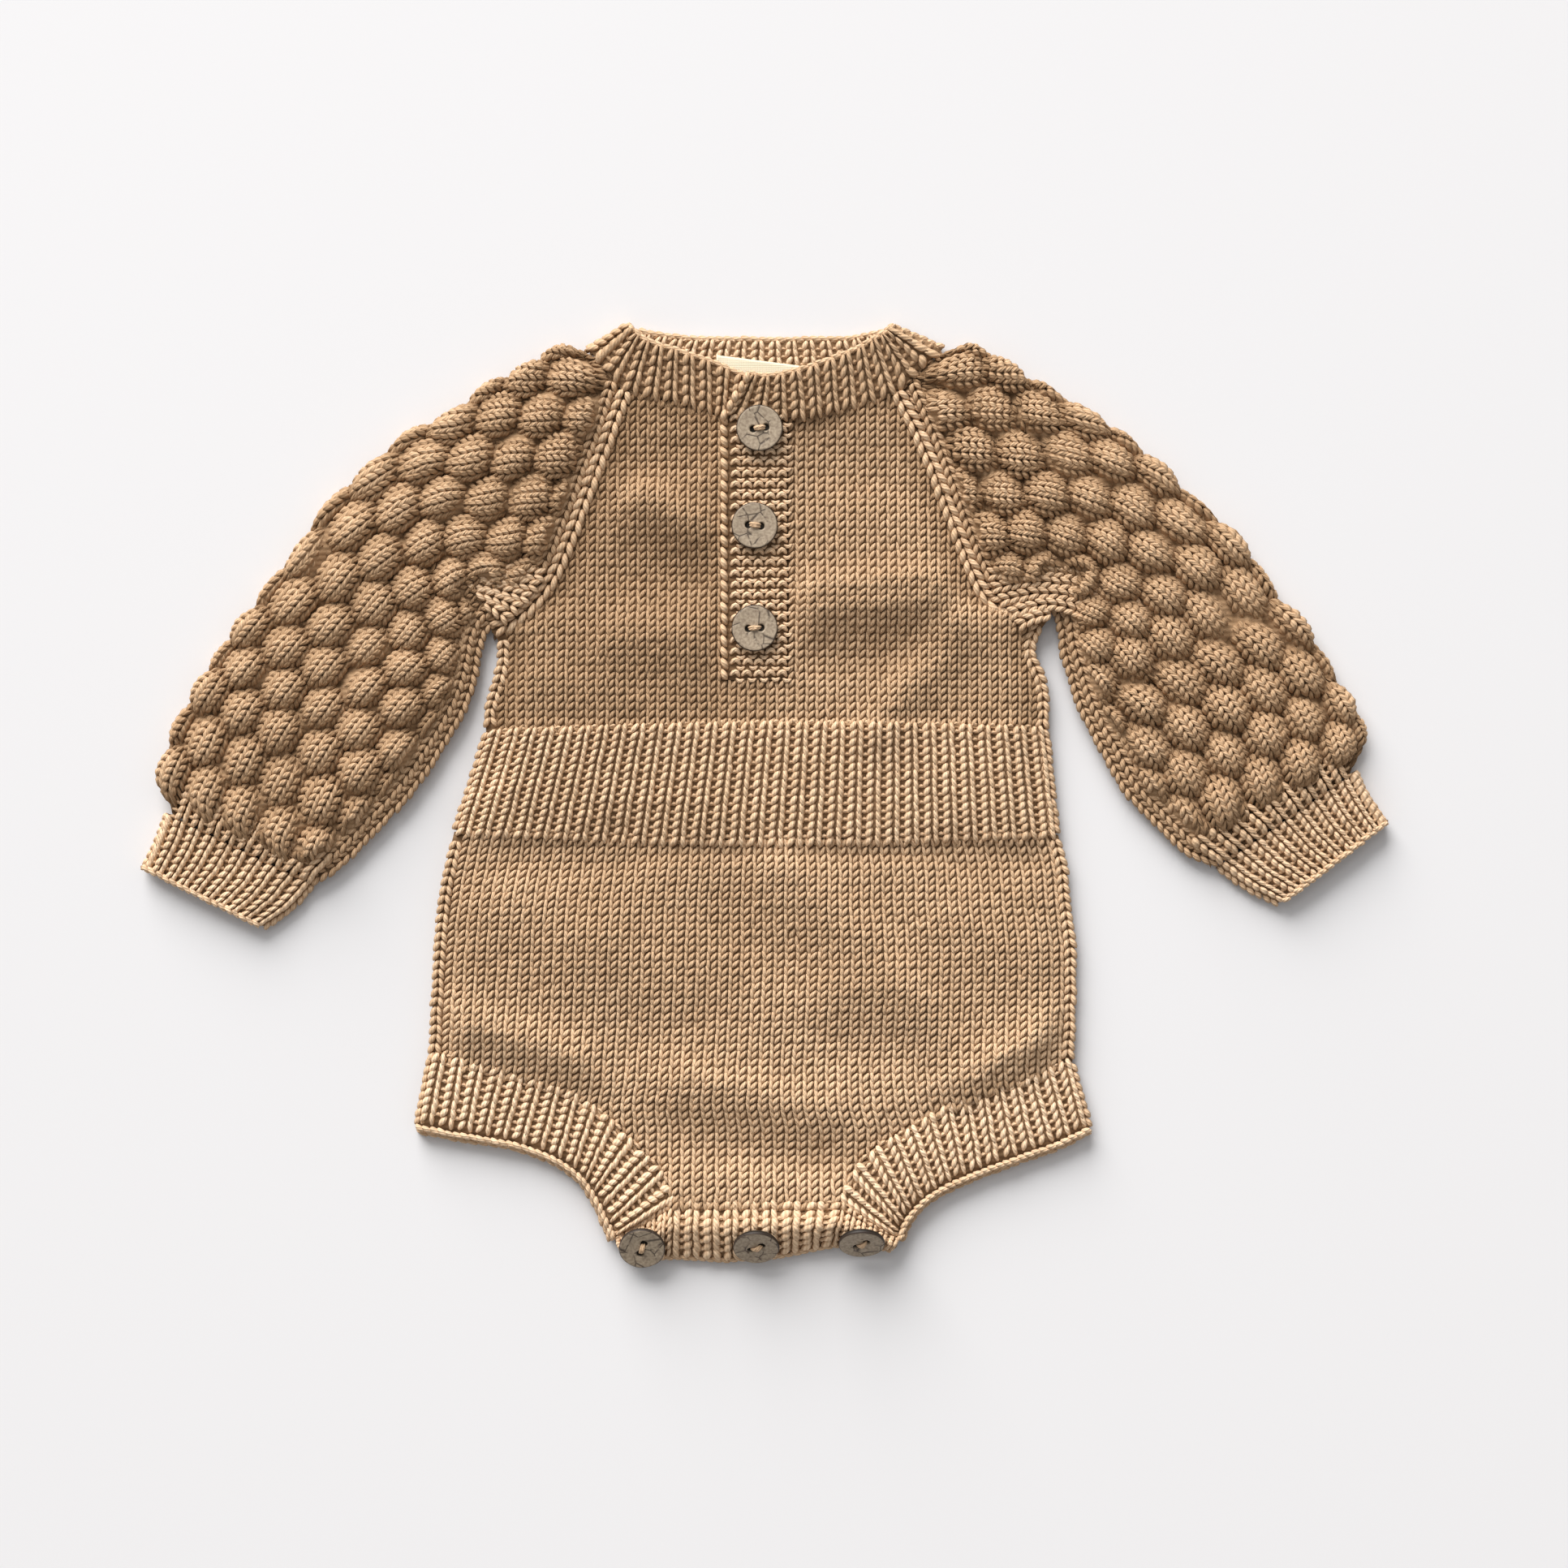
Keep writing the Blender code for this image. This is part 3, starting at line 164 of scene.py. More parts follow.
# %% Bubbles and folds of the sleeves
BUBBLE_ACROSS = 17.2  # pitch across the sleeve
BUBBLE_GATHER = 0.15  # share by which the cuff draws the pitch in
BUBBLE_HIGH = 7.2  # a dome over the valley round it
VALLEY_DEEP = 1.6  # the valley under the sleeve's own level
BUBBLE_HALF_LENGTH = 0.67  # in rows of bubbles
BUBBLE_HALF_WIDTH = 0.51  # in pitches
LEFT_START = 0.12  # first bubble of row 0 from the outer fold, in pitches
RIGHT_START = 0.52
PLAIN_EDGE = 9.0  # width over which the bubbles fade toward the seam
FOLD_RADIUS = 3.2  # outer radius of the folded edge
SKIN_ARC = 6.2  # radius of a sleeve's skin over its fold
FOLD_HOLLOW = 0.75  # inner radius of the folded edge
SCALLOP_INSET = 1.6  # the fold sits this far inside the bubbles' tips
CUFF_INSET = 0.8
CURVE_SEAM = 0.35  # set back of a sleeve along its raglan seam
# distance from the cuff, number of bubble rows counted there
LEFT_BUBBLE_ROWS = (
    (0, -0.35), (14, 0.5), (32, 1.5), (49, 2.5), (64, 3.5), (140, 8.5), (170, 10.5),
    (187, 11.5), (206, 12.5), (226, 13.5), (240, 14.2),
)
RIGHT_BUBBLE_ROWS = (
    (0, -0.5), (18, 0.5), (33, 1.5), (50, 2.5), (67, 3.5), (85, 4.5), (160, 9.5),
    (176, 10.5), (197, 11.5), (217, 12.5), (231.5, 13.2),
)
print("rows of bubbles, left and right:", LEFT_BUBBLE_ROWS[-1][1], RIGHT_BUBBLE_ROWS[-1][1])

# %% [markdown]
# ### Outlines
# Each outline is a table with a row for each section, read along the garment:
# sleeves from the neck to the cuff, sides from the underarm to the leg, bands
# from the side to the crotch.

# %% Outlines: sleeves and cuffs
# columns: outer x, outer y, inner x, inner y
LEFT_SLEEVE = (
    (-70.8, 175.5, -55.8, 159.5), (-83.7, 174.9, -65.8, 133.3), (-109.6, 160.2, -82.7, 90.1),
    (-124.6, 149.9, -92, 76.3), (-141.6, 141, -101, 68.6), (-155.4, 129.8, -108.6, 64.8),
    (-167.2, 117.9, -112, 58), (-179, 105.1, -113.2, 50.5), (-188, 92.3, -114.6, 42.5),
    (-197.9, 79.5, -117.6, 34.1), (-207.5, 66.7, -124, 22.6), (-216.5, 53.9, -132, 9.8),
    (-224.8, 41.1, -141.6, -2.7), (-230.5, 28.3, -151.2, -12.6), (-236.3, 15.5, -162.4, -24.5),
    (-239.5, 5.9, -170.4, -30.9), (-236.6, -6.9, -178.4, -35),
)
RIGHT_SLEEVE = (
    (71.2, 175.5, 53, 158.9), (84.6, 175.5, 65.4, 133.9), (111.2, 159.5, 82.4, 89.1),
    (128.5, 149.9, 89.6, 77), (143.5, 139.3, 101, 73.4), (156.5, 128.6, 113.5, 71.2),
    (167.2, 117.9, 116.4, 63), (181.9, 105.1, 117.3, 54), (192.5, 92.3, 120.2, 44.3),
    (202.4, 77.9, 123.4, 34.1), (212.3, 66.7, 127.8, 25.1), (220.6, 53.9, 134.2, 13.9),
    (228.3, 41.1, 140.6, 2.1), (233.1, 30.5, 149.6, -7.8), (236, 21.9, 158.6, -16.5),
    (236.2, 16.5, 166.2, -23.5), (233.4, 9.8, 178.4, -28),
)
UNDERARM_ROW = 5
# plain wales of the fold that hangs over each armpit, from the body outward
LEFT_ARMPIT = (
    ((-86.5, 86), (-97, 87.6), (-109, 89.4), (-121.5, 91.4)),
    ((-88.5, 81.6), (-98, 83.4), (-108, 85.6), (-120, 87.6)),
    ((-92, 77), (-99, 79), (-107, 81.4), (-117.2, 83.8)),
    ((-96, 72.6), (-101, 75), (-106.5, 77.4), (-113.5, 79.6)),
    ((-100, 68), (-103, 70.6), (-106.5, 73.2), (-110, 75.4)),
)
RIGHT_ARMPIT = (
    ((87.5, 86.4), (101.5, 88.5), (118.5, 87), (136, 82.6), (147.4, 73.5)),
    ((89, 81), (104, 83.6), (119.5, 82.4), (134, 77.9), (143, 70)),
    ((92, 76), (106, 79), (120, 78), (131.5, 73), (138.5, 66.5)),
    ((95.8, 70.6), (107.4, 74.4), (118.5, 73.6), (128, 68.5)),
    ((99, 66), (106, 69.6), (112.5, 71)),
)
LEFT_CUFF = ((-236.7, -7.3, -178.7, -35.4), (-240.2, -17, -187, -44.6), (-245.6, -28.3, -198.2, -52.3))
RIGHT_CUFF = ((233.6, 9.4, 178.7, -28.4), (238.2, 0, 190, -36.4), (245.3, -10.7, 203, -43))
print("sections of the sleeves:", len(LEFT_SLEEVE), len(RIGHT_SLEEVE))

# %% Outlines: body, legs and crotch
LEFT_SIDE = (
    (-108.6, 64.8), (-105.3, 60.3), (-105.2, 52), (-107.4, 43), (-110.3, 33), (-110, 21),
    (-111.8, 9.1), (-118.6, -1), (-120.8, -8), (-123, -16.5), (-125.9, -29.3), (-128.2, -42.1),
    (-130, -60), (-131.3, -85), (-132.3, -103.8), (-133.6, -113.5), (-136.6, -122.5), (-137.4, -131),
)
RIGHT_SIDE = (
    (113.5, 71.2), (107.8, 63), (106.4, 55), (110.4, 45), (111.6, 33), (110.4, 20),
    (110.2, 8), (112.2, -3.7), (115.7, -16.5), (118.9, -29.3), (120.2, -44), (122.2, -62),
    (122, -86), (121.3, -106), (122.4, -115), (124.8, -123.5), (128.2, -131.7),
)
WAIST_TOP = ((-112, 24), (-60, 26), (0, 27.4), (60, 27), (112, 25.4))
WAIST_BOTTOM = ((-124, -14.4), (-70, -17), (-30, -18.6), (40, -18.4), (117, -15.6))
# leg bands: seam x, y, bound edge x, y
LEFT_LEG = (
    (-132.3, -103.8, -137.4, -131), (-114.1, -108, -119.5, -134.6), (-92.6, -114.1, -99.5, -138),
    (-76.6, -119.2, -83.5, -143.8), (-63.8, -127.8, -73, -151), (-49.8, -141.9, -66.5, -160),
    (-42.7, -149.6, -62.5, -168.5), (-36.6, -162, -59.4, -175.4),
)
RIGHT_LEG = (
    (121.3, -106, 128.2, -131.7), (107.7, -112.2, 114.5, -138.3), (95.2, -115.4, 101, -143),
    (83.4, -119.8, 88, -147.8), (70.2, -125.3, 76.5, -152.6), (57.4, -133.6, 66.5, -157.6),
    (47.5, -139, 59, -163.8), (37.6, -148, 55, -169.5), (29.9, -162.5, 53, -175.8),
)
LEG_RISE = (0.5, 2.4)
# crotch band: seam x, y, bound edge x, y, height of its roll
CROTCH = (
    (-59.4, -175.8, -57.2, -181.4, 7.2), (-48, -169.1, -48.5, -184, 8.9),
    (-36.7, -162.4, -37.5, -183, 10.6), (-16, -162.8, -15.8, -184.4, 11.6),
    (4.5, -162.9, 4.6, -182.8, 12.2), (30, -162.9, 26.5, -178.6, 12.8),
    (41.5, -169.6, 39.5, -177.9, 11.8), (53, -176.2, 50.6, -180.4, 8.6),
)
CROTCH_ROLL_AT = 0.34
CROTCH_EDGE = 3.2
# back crotch band over its depth: skin share, skin level, inner share, inner level
CROTCH_LAP = (
    (0.00, 0, 0.00, 2.2), (0.35, 0, 0.35, 2.2), (0.64, 0, 0.60, 2.2),
    (0.72, 1.2, 0.64, 2.35), (0.72, 3.2, 0.64, 2.5), (0.65, 4.3, 0.60, 2.65),
    (0.52, 5.9, 0.50, 3.8), (0.34, 7.4, 0.34, 5.3), (0.10, 5.7, 0.10, 3.6),
)
LAP_SPAN = (2.1, 4.9)
print(f"hips: {RIGHT_SIDE[-1][0] - LEFT_SIDE[-1][0]:.0f} mm across")

# %% Outlines: neck and placket
# bound edge x, y, seam x, y, middle level, way the skin looks
NECKBAND = (
    (6.6, 164.5, 7.6, 147.9, 5, 1), (-3.5, 164.2, -5, 148, 5, 1),
    (-11.5, 166.4, -14, 148.5, 5, 1), (-20.3, 170.4, -20.5, 150, 5.1, 1),
    (-32.5, 174.4, -32.5, 154, 5.2, 1), (-41.6, 177.1, -45, 156.4, 5.2, 1),
    (-47.6, 179.6, -55.5, 159.8, 5, 1), (-50.6, 182, -62.3, 167, 4.8, 1),
    (-51.6, 183.2, -66.5, 171.5, 4.8, 1), (-53.8, 185.6, -70.4, 175.9, 3, 0),
    (-51.2, 183, -66.5, 171.6, 1.1, -1), (-49.6, 183.6, -62, 167.3, 1.1, -1),
    (-44.6, 182.6, -55, 160.8, 1.1, -1), (-30, 180.6, -36, 162.6, 1.1, -1),
    (-1, 180.1, -1, 163.6, 1.1, -1), (32, 180.4, 35, 162.6, 1.1, -1),
    (41.2, 182.3, 52.4, 160.4, 1.1, -1), (46, 183.3, 60.9, 167.1, 1.1, -1),
    (47.6, 182.8, 66.5, 172.1, 1.1, -1), (50.2, 185.3, 70.8, 176.1, 3, 0),
    (48, 183, 66.6, 172.1, 4.8, 1), (47, 182.2, 61.6, 167.6, 4.8, 1),
    (44.4, 180.7, 52.6, 159.4, 5, 1), (40, 177.7, 45.3, 155.7, 5.3, 1),
    (33, 174.2, 35, 152.8, 5.6, 1), (23.2, 170.4, 24.8, 149.9, 6.4, 1),
    (14.6, 167.4, 16.4, 147.9, 7.5, 1), (7, 165.3, 7.6, 147.9, 7.7, 1),
    (-1, 164.6, -4.6, 148, 7.7, 1), (-5.9, 165.7, -16.8, 149.2, 7.7, 1),
)
NECK_WALL = 2.2
NECK_SEAM_FRONT = (
    (-55.8, 159.5), (-45, 156.1), (-32.5, 153.7), (-20.5, 149.7), (-17.4, 148.5), (9.1, 147.6),
    (16.4, 147.6), (24.8, 149.6), (35, 152.5), (45.3, 155.4), (53, 158.9),
)
NECK_SEAM_BACK = ((-55.8, 159.5), (-36, 162.1), (-1, 163.1), (35, 162.1), (53, 158.9))
PLACKET = (-17.1, 8.8, 45.0, 147.6)  # left, right, foot, top
UNDER_BAND_Z = (3.9, 6.1)
TOP_BAND_Z = (6.4, 8.8)
print("placket:", PLACKET[1] - PLACKET[0], "by", PLACKET[3] - PLACKET[2], "mm")

# %% Outlines: folds
# soft folds of the front: start x, y, end x, y, half width, height
FOLDS = (
    (13.6, 77, 62, 81, 11.2, 6.4), (20, 92, 54, 92, 29.2, 1.8),
    (18.4, 54, 60, 58, 11.2, -3), (44, 28.3, 76, 66.7, 8.4, 3.6),
    (-47.2, 117.3, -23.2, 103.5, 8.4, 5.4), (-56, 62, -20, 62, 12.3, 4.8),
    (-52, 86.6, -23.2, 86.6, 11.2, -3), (18.4, 129, 55, 127, 15.7, -3),
    (-50, 128, -26.4, 134, 11.2, -3), (-72, 128, -84, 80, 10.1, -3),
    (66, 122, 84, 80, 10.1, -3), (-88, 44, -46, 34, 11.2, 2.1),
    (-109.6, -24.5, -58.4, -22.9, 12.3, -3), (79.2, -26, 111.2, -24.5, 10.1, -2.4),
    (-58, -20, 78, -22, 6.7, -1.8), (8, -28, 37, -58, 11.4, 3.4),
    (-14, -50, 6, -66, 13.3, -1.8), (28, -79, 54, -79, 11.2, 2.4),
    (31.2, -98, 60, -103, 13.3, -2), (52, -70, 68, -98, 8.9, 2.4),
    (-122.4, -88, -77.6, -103.5, 10.8, 4), (117.6, -88, 80.8, -116, 10.1, 5.4),
    (-30, -113, 21.6, -124, 10.1, 3.9), (-34, -135, 22, -144, 11.2, -3),
    (-60, -52, -36, -76, 13.5, 2), (-52, -96, -28, -88, 13.5, -1.8),
    (-100, -44, -74, -60, 13.5, 2), (72, -50, 104, -62, 13.5, 1.7),
)
print("soft folds and hollows:", len(FOLDS))

# %% [markdown]
# ## The body's outline
# The sides are joined to the raglan seams, so that one line on each side says
# where the body ends at any height.

# %% Edges of the body


def body_edges():
    """Left and right outline of the body, raglan seams included, from hip to neck."""
    lines = []
    for sleeve, side in ((LEFT_SLEEVE, LEFT_SIDE), (RIGHT_SLEEVE, RIGHT_SIDE)):
        seam = through(sleeve, np.linspace(0, UNDERARM_ROW, 60))[:, 2:4]
        flank = through(side, np.linspace(0, len(side) - 1, 120))
        lines.append(np.concatenate([seam[:-1], flank])[::-1])
    return lines


LEFT_EDGE, RIGHT_EDGE = body_edges()


def left_x(y):
    """x of the body's left outline at height y."""
    return np.interp(y, LEFT_EDGE[:, 1], LEFT_EDGE[:, 0])


def right_x(y):
    """x of the body's right outline at height y."""
    return np.interp(y, RIGHT_EDGE[:, 1], RIGHT_EDGE[:, 0])


def line_y(rows, x):
    """y at x on a table's smooth curve."""
    p = through(rows, np.linspace(0, len(rows) - 1, 200))
    return np.interp(x, p[:, 0], p[:, 1])


def leg_y(x):
    """y of the lower end of the front panel at x."""
    line = np.concatenate([np.asarray(LEFT_LEG)[:, :2], np.asarray(RIGHT_LEG)[::-1, :2]])
    return np.interp(x, line[:, 0], line[:, 1])


print(f"flat chest: {right_x(55.0) - left_x(55.0):.0f} mm")

# %% [markdown]
# ## The form of the front
# The front lies over the back with a little air under it.  A cloth simulation
# could settle it, but the few soft folds of a romper that was smoothed out by
# hand are easier to place as ridges and troughs: each adds a bell-shaped
# height along a short line.

# %% Level of the front


def folds(x, y):
    """Sum of the soft folds: each is height * exp(-(distance / width)^2).

    A ridge is narrower on its side toward the neck, a trough on the other.
    """
    total = np.zeros(np.broadcast(x, y).shape)
    for x0, y0, x1, y1, half_width, height in FOLDS:
        dx, dy = x1 - x0, y1 - y0
        share = np.clip(((x - x0) * dx + (y - y0) * dy) / (dx * dx + dy * dy), 0, 1)
        above = y - y0 - share * dy
        away = np.hypot(x - x0 - share * dx, above)
        width = half_width * (1.1 - 0.35 * np.sign(height) * above / (away + 3))
        total += height * np.exp(-(away / width) ** 2)
    return total


def front_under(x, y):
    """Level of the inner side of the front: the back's wall plus the air under it."""
    side = np.minimum(x - left_x(y), right_x(y) - x)
    raglan = ease((y - 60) / 20)
    near_side = raglan * 0.3 + (1 - 0.3 * raglan) * ease(side / 17)
    near_leg = 0.35 + 0.65 * ease((y - leg_y(x)) / 18)
    waist = 1.1 * ease((y + 24) / 8) * ease((32 - y) / 8)
    placket = ease((np.abs(x + 4) - 12) / 14) * ease((y - 30) / 12) + ease((42 - y) / 12)
    hollow = 2.8 + waist + folds(x, y) * np.clip(placket, 0, 1)
    neck = ease((y - 132 - 0.1 * np.abs(x)) / 14)
    hollow = hollow * (1 - neck) + 1.2 * neck
    # toward the crotch the front climbs to the roll of the crotch band
    climb = 3.4 * ease((-142 - y) / 20) * ease((48 - np.abs(x + 3)) / 14)
    return FRONT_Z + np.clip(hollow, 0.2, 9.4) * near_side * near_leg + climb


def under_plan(plan):
    """The same for a grid of plan points."""
    return front_under(plan[..., 0], plan[..., 1])


print(f"inner side at the chest: {float(front_under(40.0, 90.0)):.1f} mm up")

# %% [markdown]
# ## Making meshes
# Every piece is worked out as whole arrays and put into a mesh at once.  A
# wall of cloth is two grids, an outer and an inner one, closed by rims where
# the cloth ends.  Solidify would give the same wall, but the two grids let the
# inside stay plain while the outside takes the relief.

# %% Meshes from arrays


def add_mesh(name, verts, quads, tris=None, ply=None, slot="cotton_yarn"):
    """Object from points in millimetres and corner numbers of its faces."""
    tris = np.zeros((0, 3), int) if tris is None else tris
    corners = np.concatenate([np.ravel(quads), np.ravel(tris)]).astype(np.int32)
    starts = np.concatenate([np.arange(len(quads)) * 4, len(quads) * 4 + np.arange(len(tris)) * 3])
    verts = np.array(verts, float)
    verts[:, 2] = np.maximum(verts[:, 2], 0)  # the underside rests on the table
    mesh = bpy.data.meshes.new(name)
    mesh.vertices.add(len(verts))
    mesh.vertices.foreach_set("co", (verts * MM).astype(np.float32).ravel())
    mesh.loops.add(len(corners))
    mesh.loops.foreach_set("vertex_index", corners)
    mesh.polygons.add(len(starts))
    mesh.polygons.foreach_set("loop_start", starts.astype(np.int32))
    mesh.polygons.foreach_set("use_smooth", np.ones(len(starts), bool))
    mesh.update(calc_edges=True)
    if ply is not None:
        data = mesh.attributes.new("ply", "FLOAT_VECTOR", "POINT")
        data.data.foreach_set("vector", np.asarray(ply, np.float32).ravel())
    made = bpy.data.objects.new(name, mesh)
    bpy.context.scene.collection.objects.link(made)
    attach(made, "root")
    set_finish(made, slot)
    return made


# %% [markdown]
# ### A wall of cloth
# The wall is the ground between the stitches, painted dark as shade.  Its tone is a
# number for each point, so that hollows can take more painted shade than the rest.

# %% Closed walls


def wall_faces(rows, cols, keep):
    """Faces of a closed wall over two grids of points, the outer one first.

    A rim face stands wherever a kept cell has no kept neighbour.
    """
    index = np.arange(rows * cols).reshape(rows, cols)
    low = rows * cols
    r, c = np.nonzero(keep)
    cell = np.stack([index[r, c], index[r, c + 1], index[r + 1, c + 1], index[r + 1, c]], axis=1)
    faces = [cell, cell[:, ::-1] + low]
    framed = np.pad(keep, 1)
    inside = framed[1:-1, 1:-1]
    sides = ((framed[:-2, 1:-1], 1, 0), (framed[1:-1, 2:], 2, 1), (framed[2:, 1:-1], 3, 2), (framed[1:-1, :-2], 0, 3))
    for neighbour, a, b in sides:
        open_cell = (inside & ~neighbour)[r, c]
        first, second = cell[open_cell, a], cell[open_cell, b]
        faces.append(np.stack([first, second, second + low, first + low], axis=1))
    return np.concatenate(faces)


def cloth_wall(name, outer, inner, keep=None, tone=0.36):
    """A closed wall of cloth between an outer and an inner grid of points."""
    rows, cols = outer.shape[:2]
    keep = np.ones((rows - 1, cols - 1), bool) if keep is None else keep
    verts = np.concatenate([outer.reshape(-1, 3), inner.reshape(-1, 3)])
    # painted shade: the tone darkens the wall, which lies deeper than the yarn; its inner side takes 0.36
    shade = np.concatenate([np.broadcast_to(tone, (rows, cols)).ravel(), np.full(rows * cols, 0.36)])
    ply = np.stack([verts[:, 1], verts[:, 0] * 0, shade], axis=1)
    print(f"{name}: {rows} by {cols} points")
    return add_mesh(name, verts, wall_faces(rows, cols, keep), ply=ply)


def lifted(plan, level):
    """Plan points with a level for each."""
    return np.concatenate([plan, np.broadcast_to(level, plan.shape[:-1])[..., None]], axis=-1)


# %% [markdown]
# ## One stitch
# Seen from its right side a knit stitch is two legs of yarn that meet at the
# top, because this cloth was worked downwards.  The yarn's twist makes them
# unlike: the left leg lies slanted and fat, like a grain of rice, and the
# right one steep and slim, so that it joins its neighbours into a line.  Real
# loops run on behind the cloth, but that never shows, so each leg is a short
# closed grain that dives into the cloth at both ends.

# %% Legs of yarn
# a row per leg: start across, start up, end across, end up, as shares of the
# stitch, then bow, radius, height of its middle over the skin, dip of its
# ends, how bluntly it tapers, and the number of its rings
PLAIN_LEGS = (
    (-0.52, -0.64, 0.12, 0.66, 0.0, 1.02, -0.45, 0.6, 0.5, 4),
    (0.43, -0.86, 0.31, 0.86, 0.0, 0.92, -0.60, 0.3, 0.35, 3),
)
BUBBLE_LEGS = (
    (-0.56, -0.60, 0.04, 0.66, 0.0, 1.20, -0.38, 0.6, 0.5, 4),
    (0.52, -0.80, 0.16, 0.78, 0.0, 1.08, -0.50, 0.5, 0.45, 3),
)
RIB_LEGS = (
    (-0.38, -0.66, -0.05, 0.70, 0.0, 1.34, -0.30, 0.7, 0.5, 4),
    (0.31, -0.86, 0.18, 0.82, 0.0, 1.22, -0.34, 0.4, 0.4, 3),
)
PURL_BAR = ((-0.5, 0.0, 0.5, 0.0, 0.4, 1.00, -0.55, 0.4, 0.5, 3),)
RIDGE_LEGS = (
    (-0.48, -0.24, 0.48, -0.24, 2.1, 1.12, 0.0, 0.9, 0.4, 5),
    (0.08, -0.26, 0.92, -0.26, -1.3, 0.90, -0.50, 0.5, 0.4, 4),
)
EDGE_LEGS = (
    (-0.52, -0.60, -0.06, 0.68, 0.0, 1.26, -0.35, 0.6, 0.5, 4),
    (0.52, -0.60, 0.06, 0.68, 0.0, 1.26, -0.40, 0.6, 0.5, 4),
)
PLAIT_LEGS = (
    (-0.50, -0.62, -0.08, 0.74, 0.0, 1.50, -0.35, 0.7, 0.5, 5),
    (0.50, -0.62, 0.08, 0.74, 0.0, 1.50, -0.40, 0.7, 0.5, 5),
)
SLIPPED_LEG = ((0.36, -0.60, -0.36, 0.54, 0.0, 1.50, 0.0, 1.2, 0.5, 5),)
ROPE = ((-0.36, -0.74, 0.36, 0.74, 0.0, 1.15, 0.0, 0.3, 0.35, 4),)
SEWING_THREAD = ((-0.5, 0.0, 0.5, 0.0, 0.0, 0.66, 0.45, 1.3, 0.35, 6),)
RINGS = {2: (0.2, 0.8), 3: (0.13, 0.5, 0.87), 4: (0.1, 0.36, 0.64, 0.9), 5: (0.08, 0.29, 0.5, 0.71, 0.92),
         6: (0.06, 0.2, 0.4, 0.6, 0.8, 0.94)}
print("legs to a plain stitch:", len(PLAIN_LEGS))

# %% [markdown]
# ### The net of a grain
# A grain is rings of points between two poles.  A UV sphere stretched between
# two points would do, but in a net of our own the rings stand closer toward
# the blunt ends.

# %% Grain net


def grain_net(sides, stations):
    """Shares along and angles of a grain's points, and its faces.

    A pole stands at each end, and rings of points stand at the stations.
    """
    rings = len(stations)
    t = np.concatenate([[0], np.repeat(stations, sides), [1]])
    angle = np.tile(2 * np.pi * np.arange(sides) / sides - np.pi / 2, rings)
    angle = np.concatenate([[0], angle, [0]])
    k = np.arange(sides)
    after = (k + 1) % sides
    base = 1 + np.arange(rings - 1)[:, None] * sides
    quads = joined(base + k, base + sides + k, base + sides + after, base + after).reshape(-1, 4)
    last = 1 + (rings - 1) * sides
    end = np.full(sides, 1 + rings * sides)
    tris = np.concatenate([np.stack([1 + k, 1 + after, 0 * k], axis=1),
                           np.stack([last + after, last + k, end], axis=1)])
    return t, angle, quads, tris


print("points of a plain leg:", len(grain_net(5, RINGS[4])[0]))

# %% [markdown]
# ### Yarn of a piece
# Thousands of grains become one mesh, so that a piece of cloth stays one
# object.  Instances would be lighter, but each grain follows the form of the
# cloth under it, so no two are alike.

# %% Normals and gathered yarn


def normals(surface, u, v, extra):
    """Unit normal of a surface from small steps across and up."""
    step = 0.5
    across = surface(u + step, v, *extra) - surface(u - step, v, *extra)
    upward = surface(u, v + step, *extra) - surface(u, v - step, *extra)
    n = np.cross(across, upward)
    return n / np.maximum(np.linalg.norm(n, axis=-1, keepdims=True), 1e-9)


class Yarn:
    """Grains of yarn gathered for one piece."""

    def __init__(self):
        self.verts, self.ply, self.quads, self.tris, self.count = [], [], [], [], 0

    def add(self, verts, ply, quads, tris):
        """Take n grains of j points each with their shared faces."""
        n, j = verts.shape[:2]
        first = self.count + np.arange(n)[:, None, None] * j
        self.verts.append(verts.reshape(-1, 3))
        self.ply.append(ply.reshape(-1, 3))
        self.quads.append((quads[None] + first).reshape(-1, 4))
        self.tris.append((tris[None] + first).reshape(-1, 3))
        self.count += n * j

    def finish(self, name):
        """One object of all the grains."""
        quads, tris = np.concatenate(self.quads), np.concatenate(self.tris)
        print(f"{name}: {2 * len(quads) + len(tris)} triangles")
        return add_mesh(name, np.concatenate(self.verts), quads, tris, np.concatenate(self.ply))


LEVEL_PATCH = normals(lambda u, v: lifted(joined(u, v), 0.0), np.zeros(1), np.zeros(1), ())
print("normal of a level patch:", LEVEL_PATCH[0])

# %% [markdown]
# ### Laying stitches
# A stitch is laid by asking the surface where its points belong.  Small random
# differences in size, turn and height keep the rows from looking printed.

# %% Knit


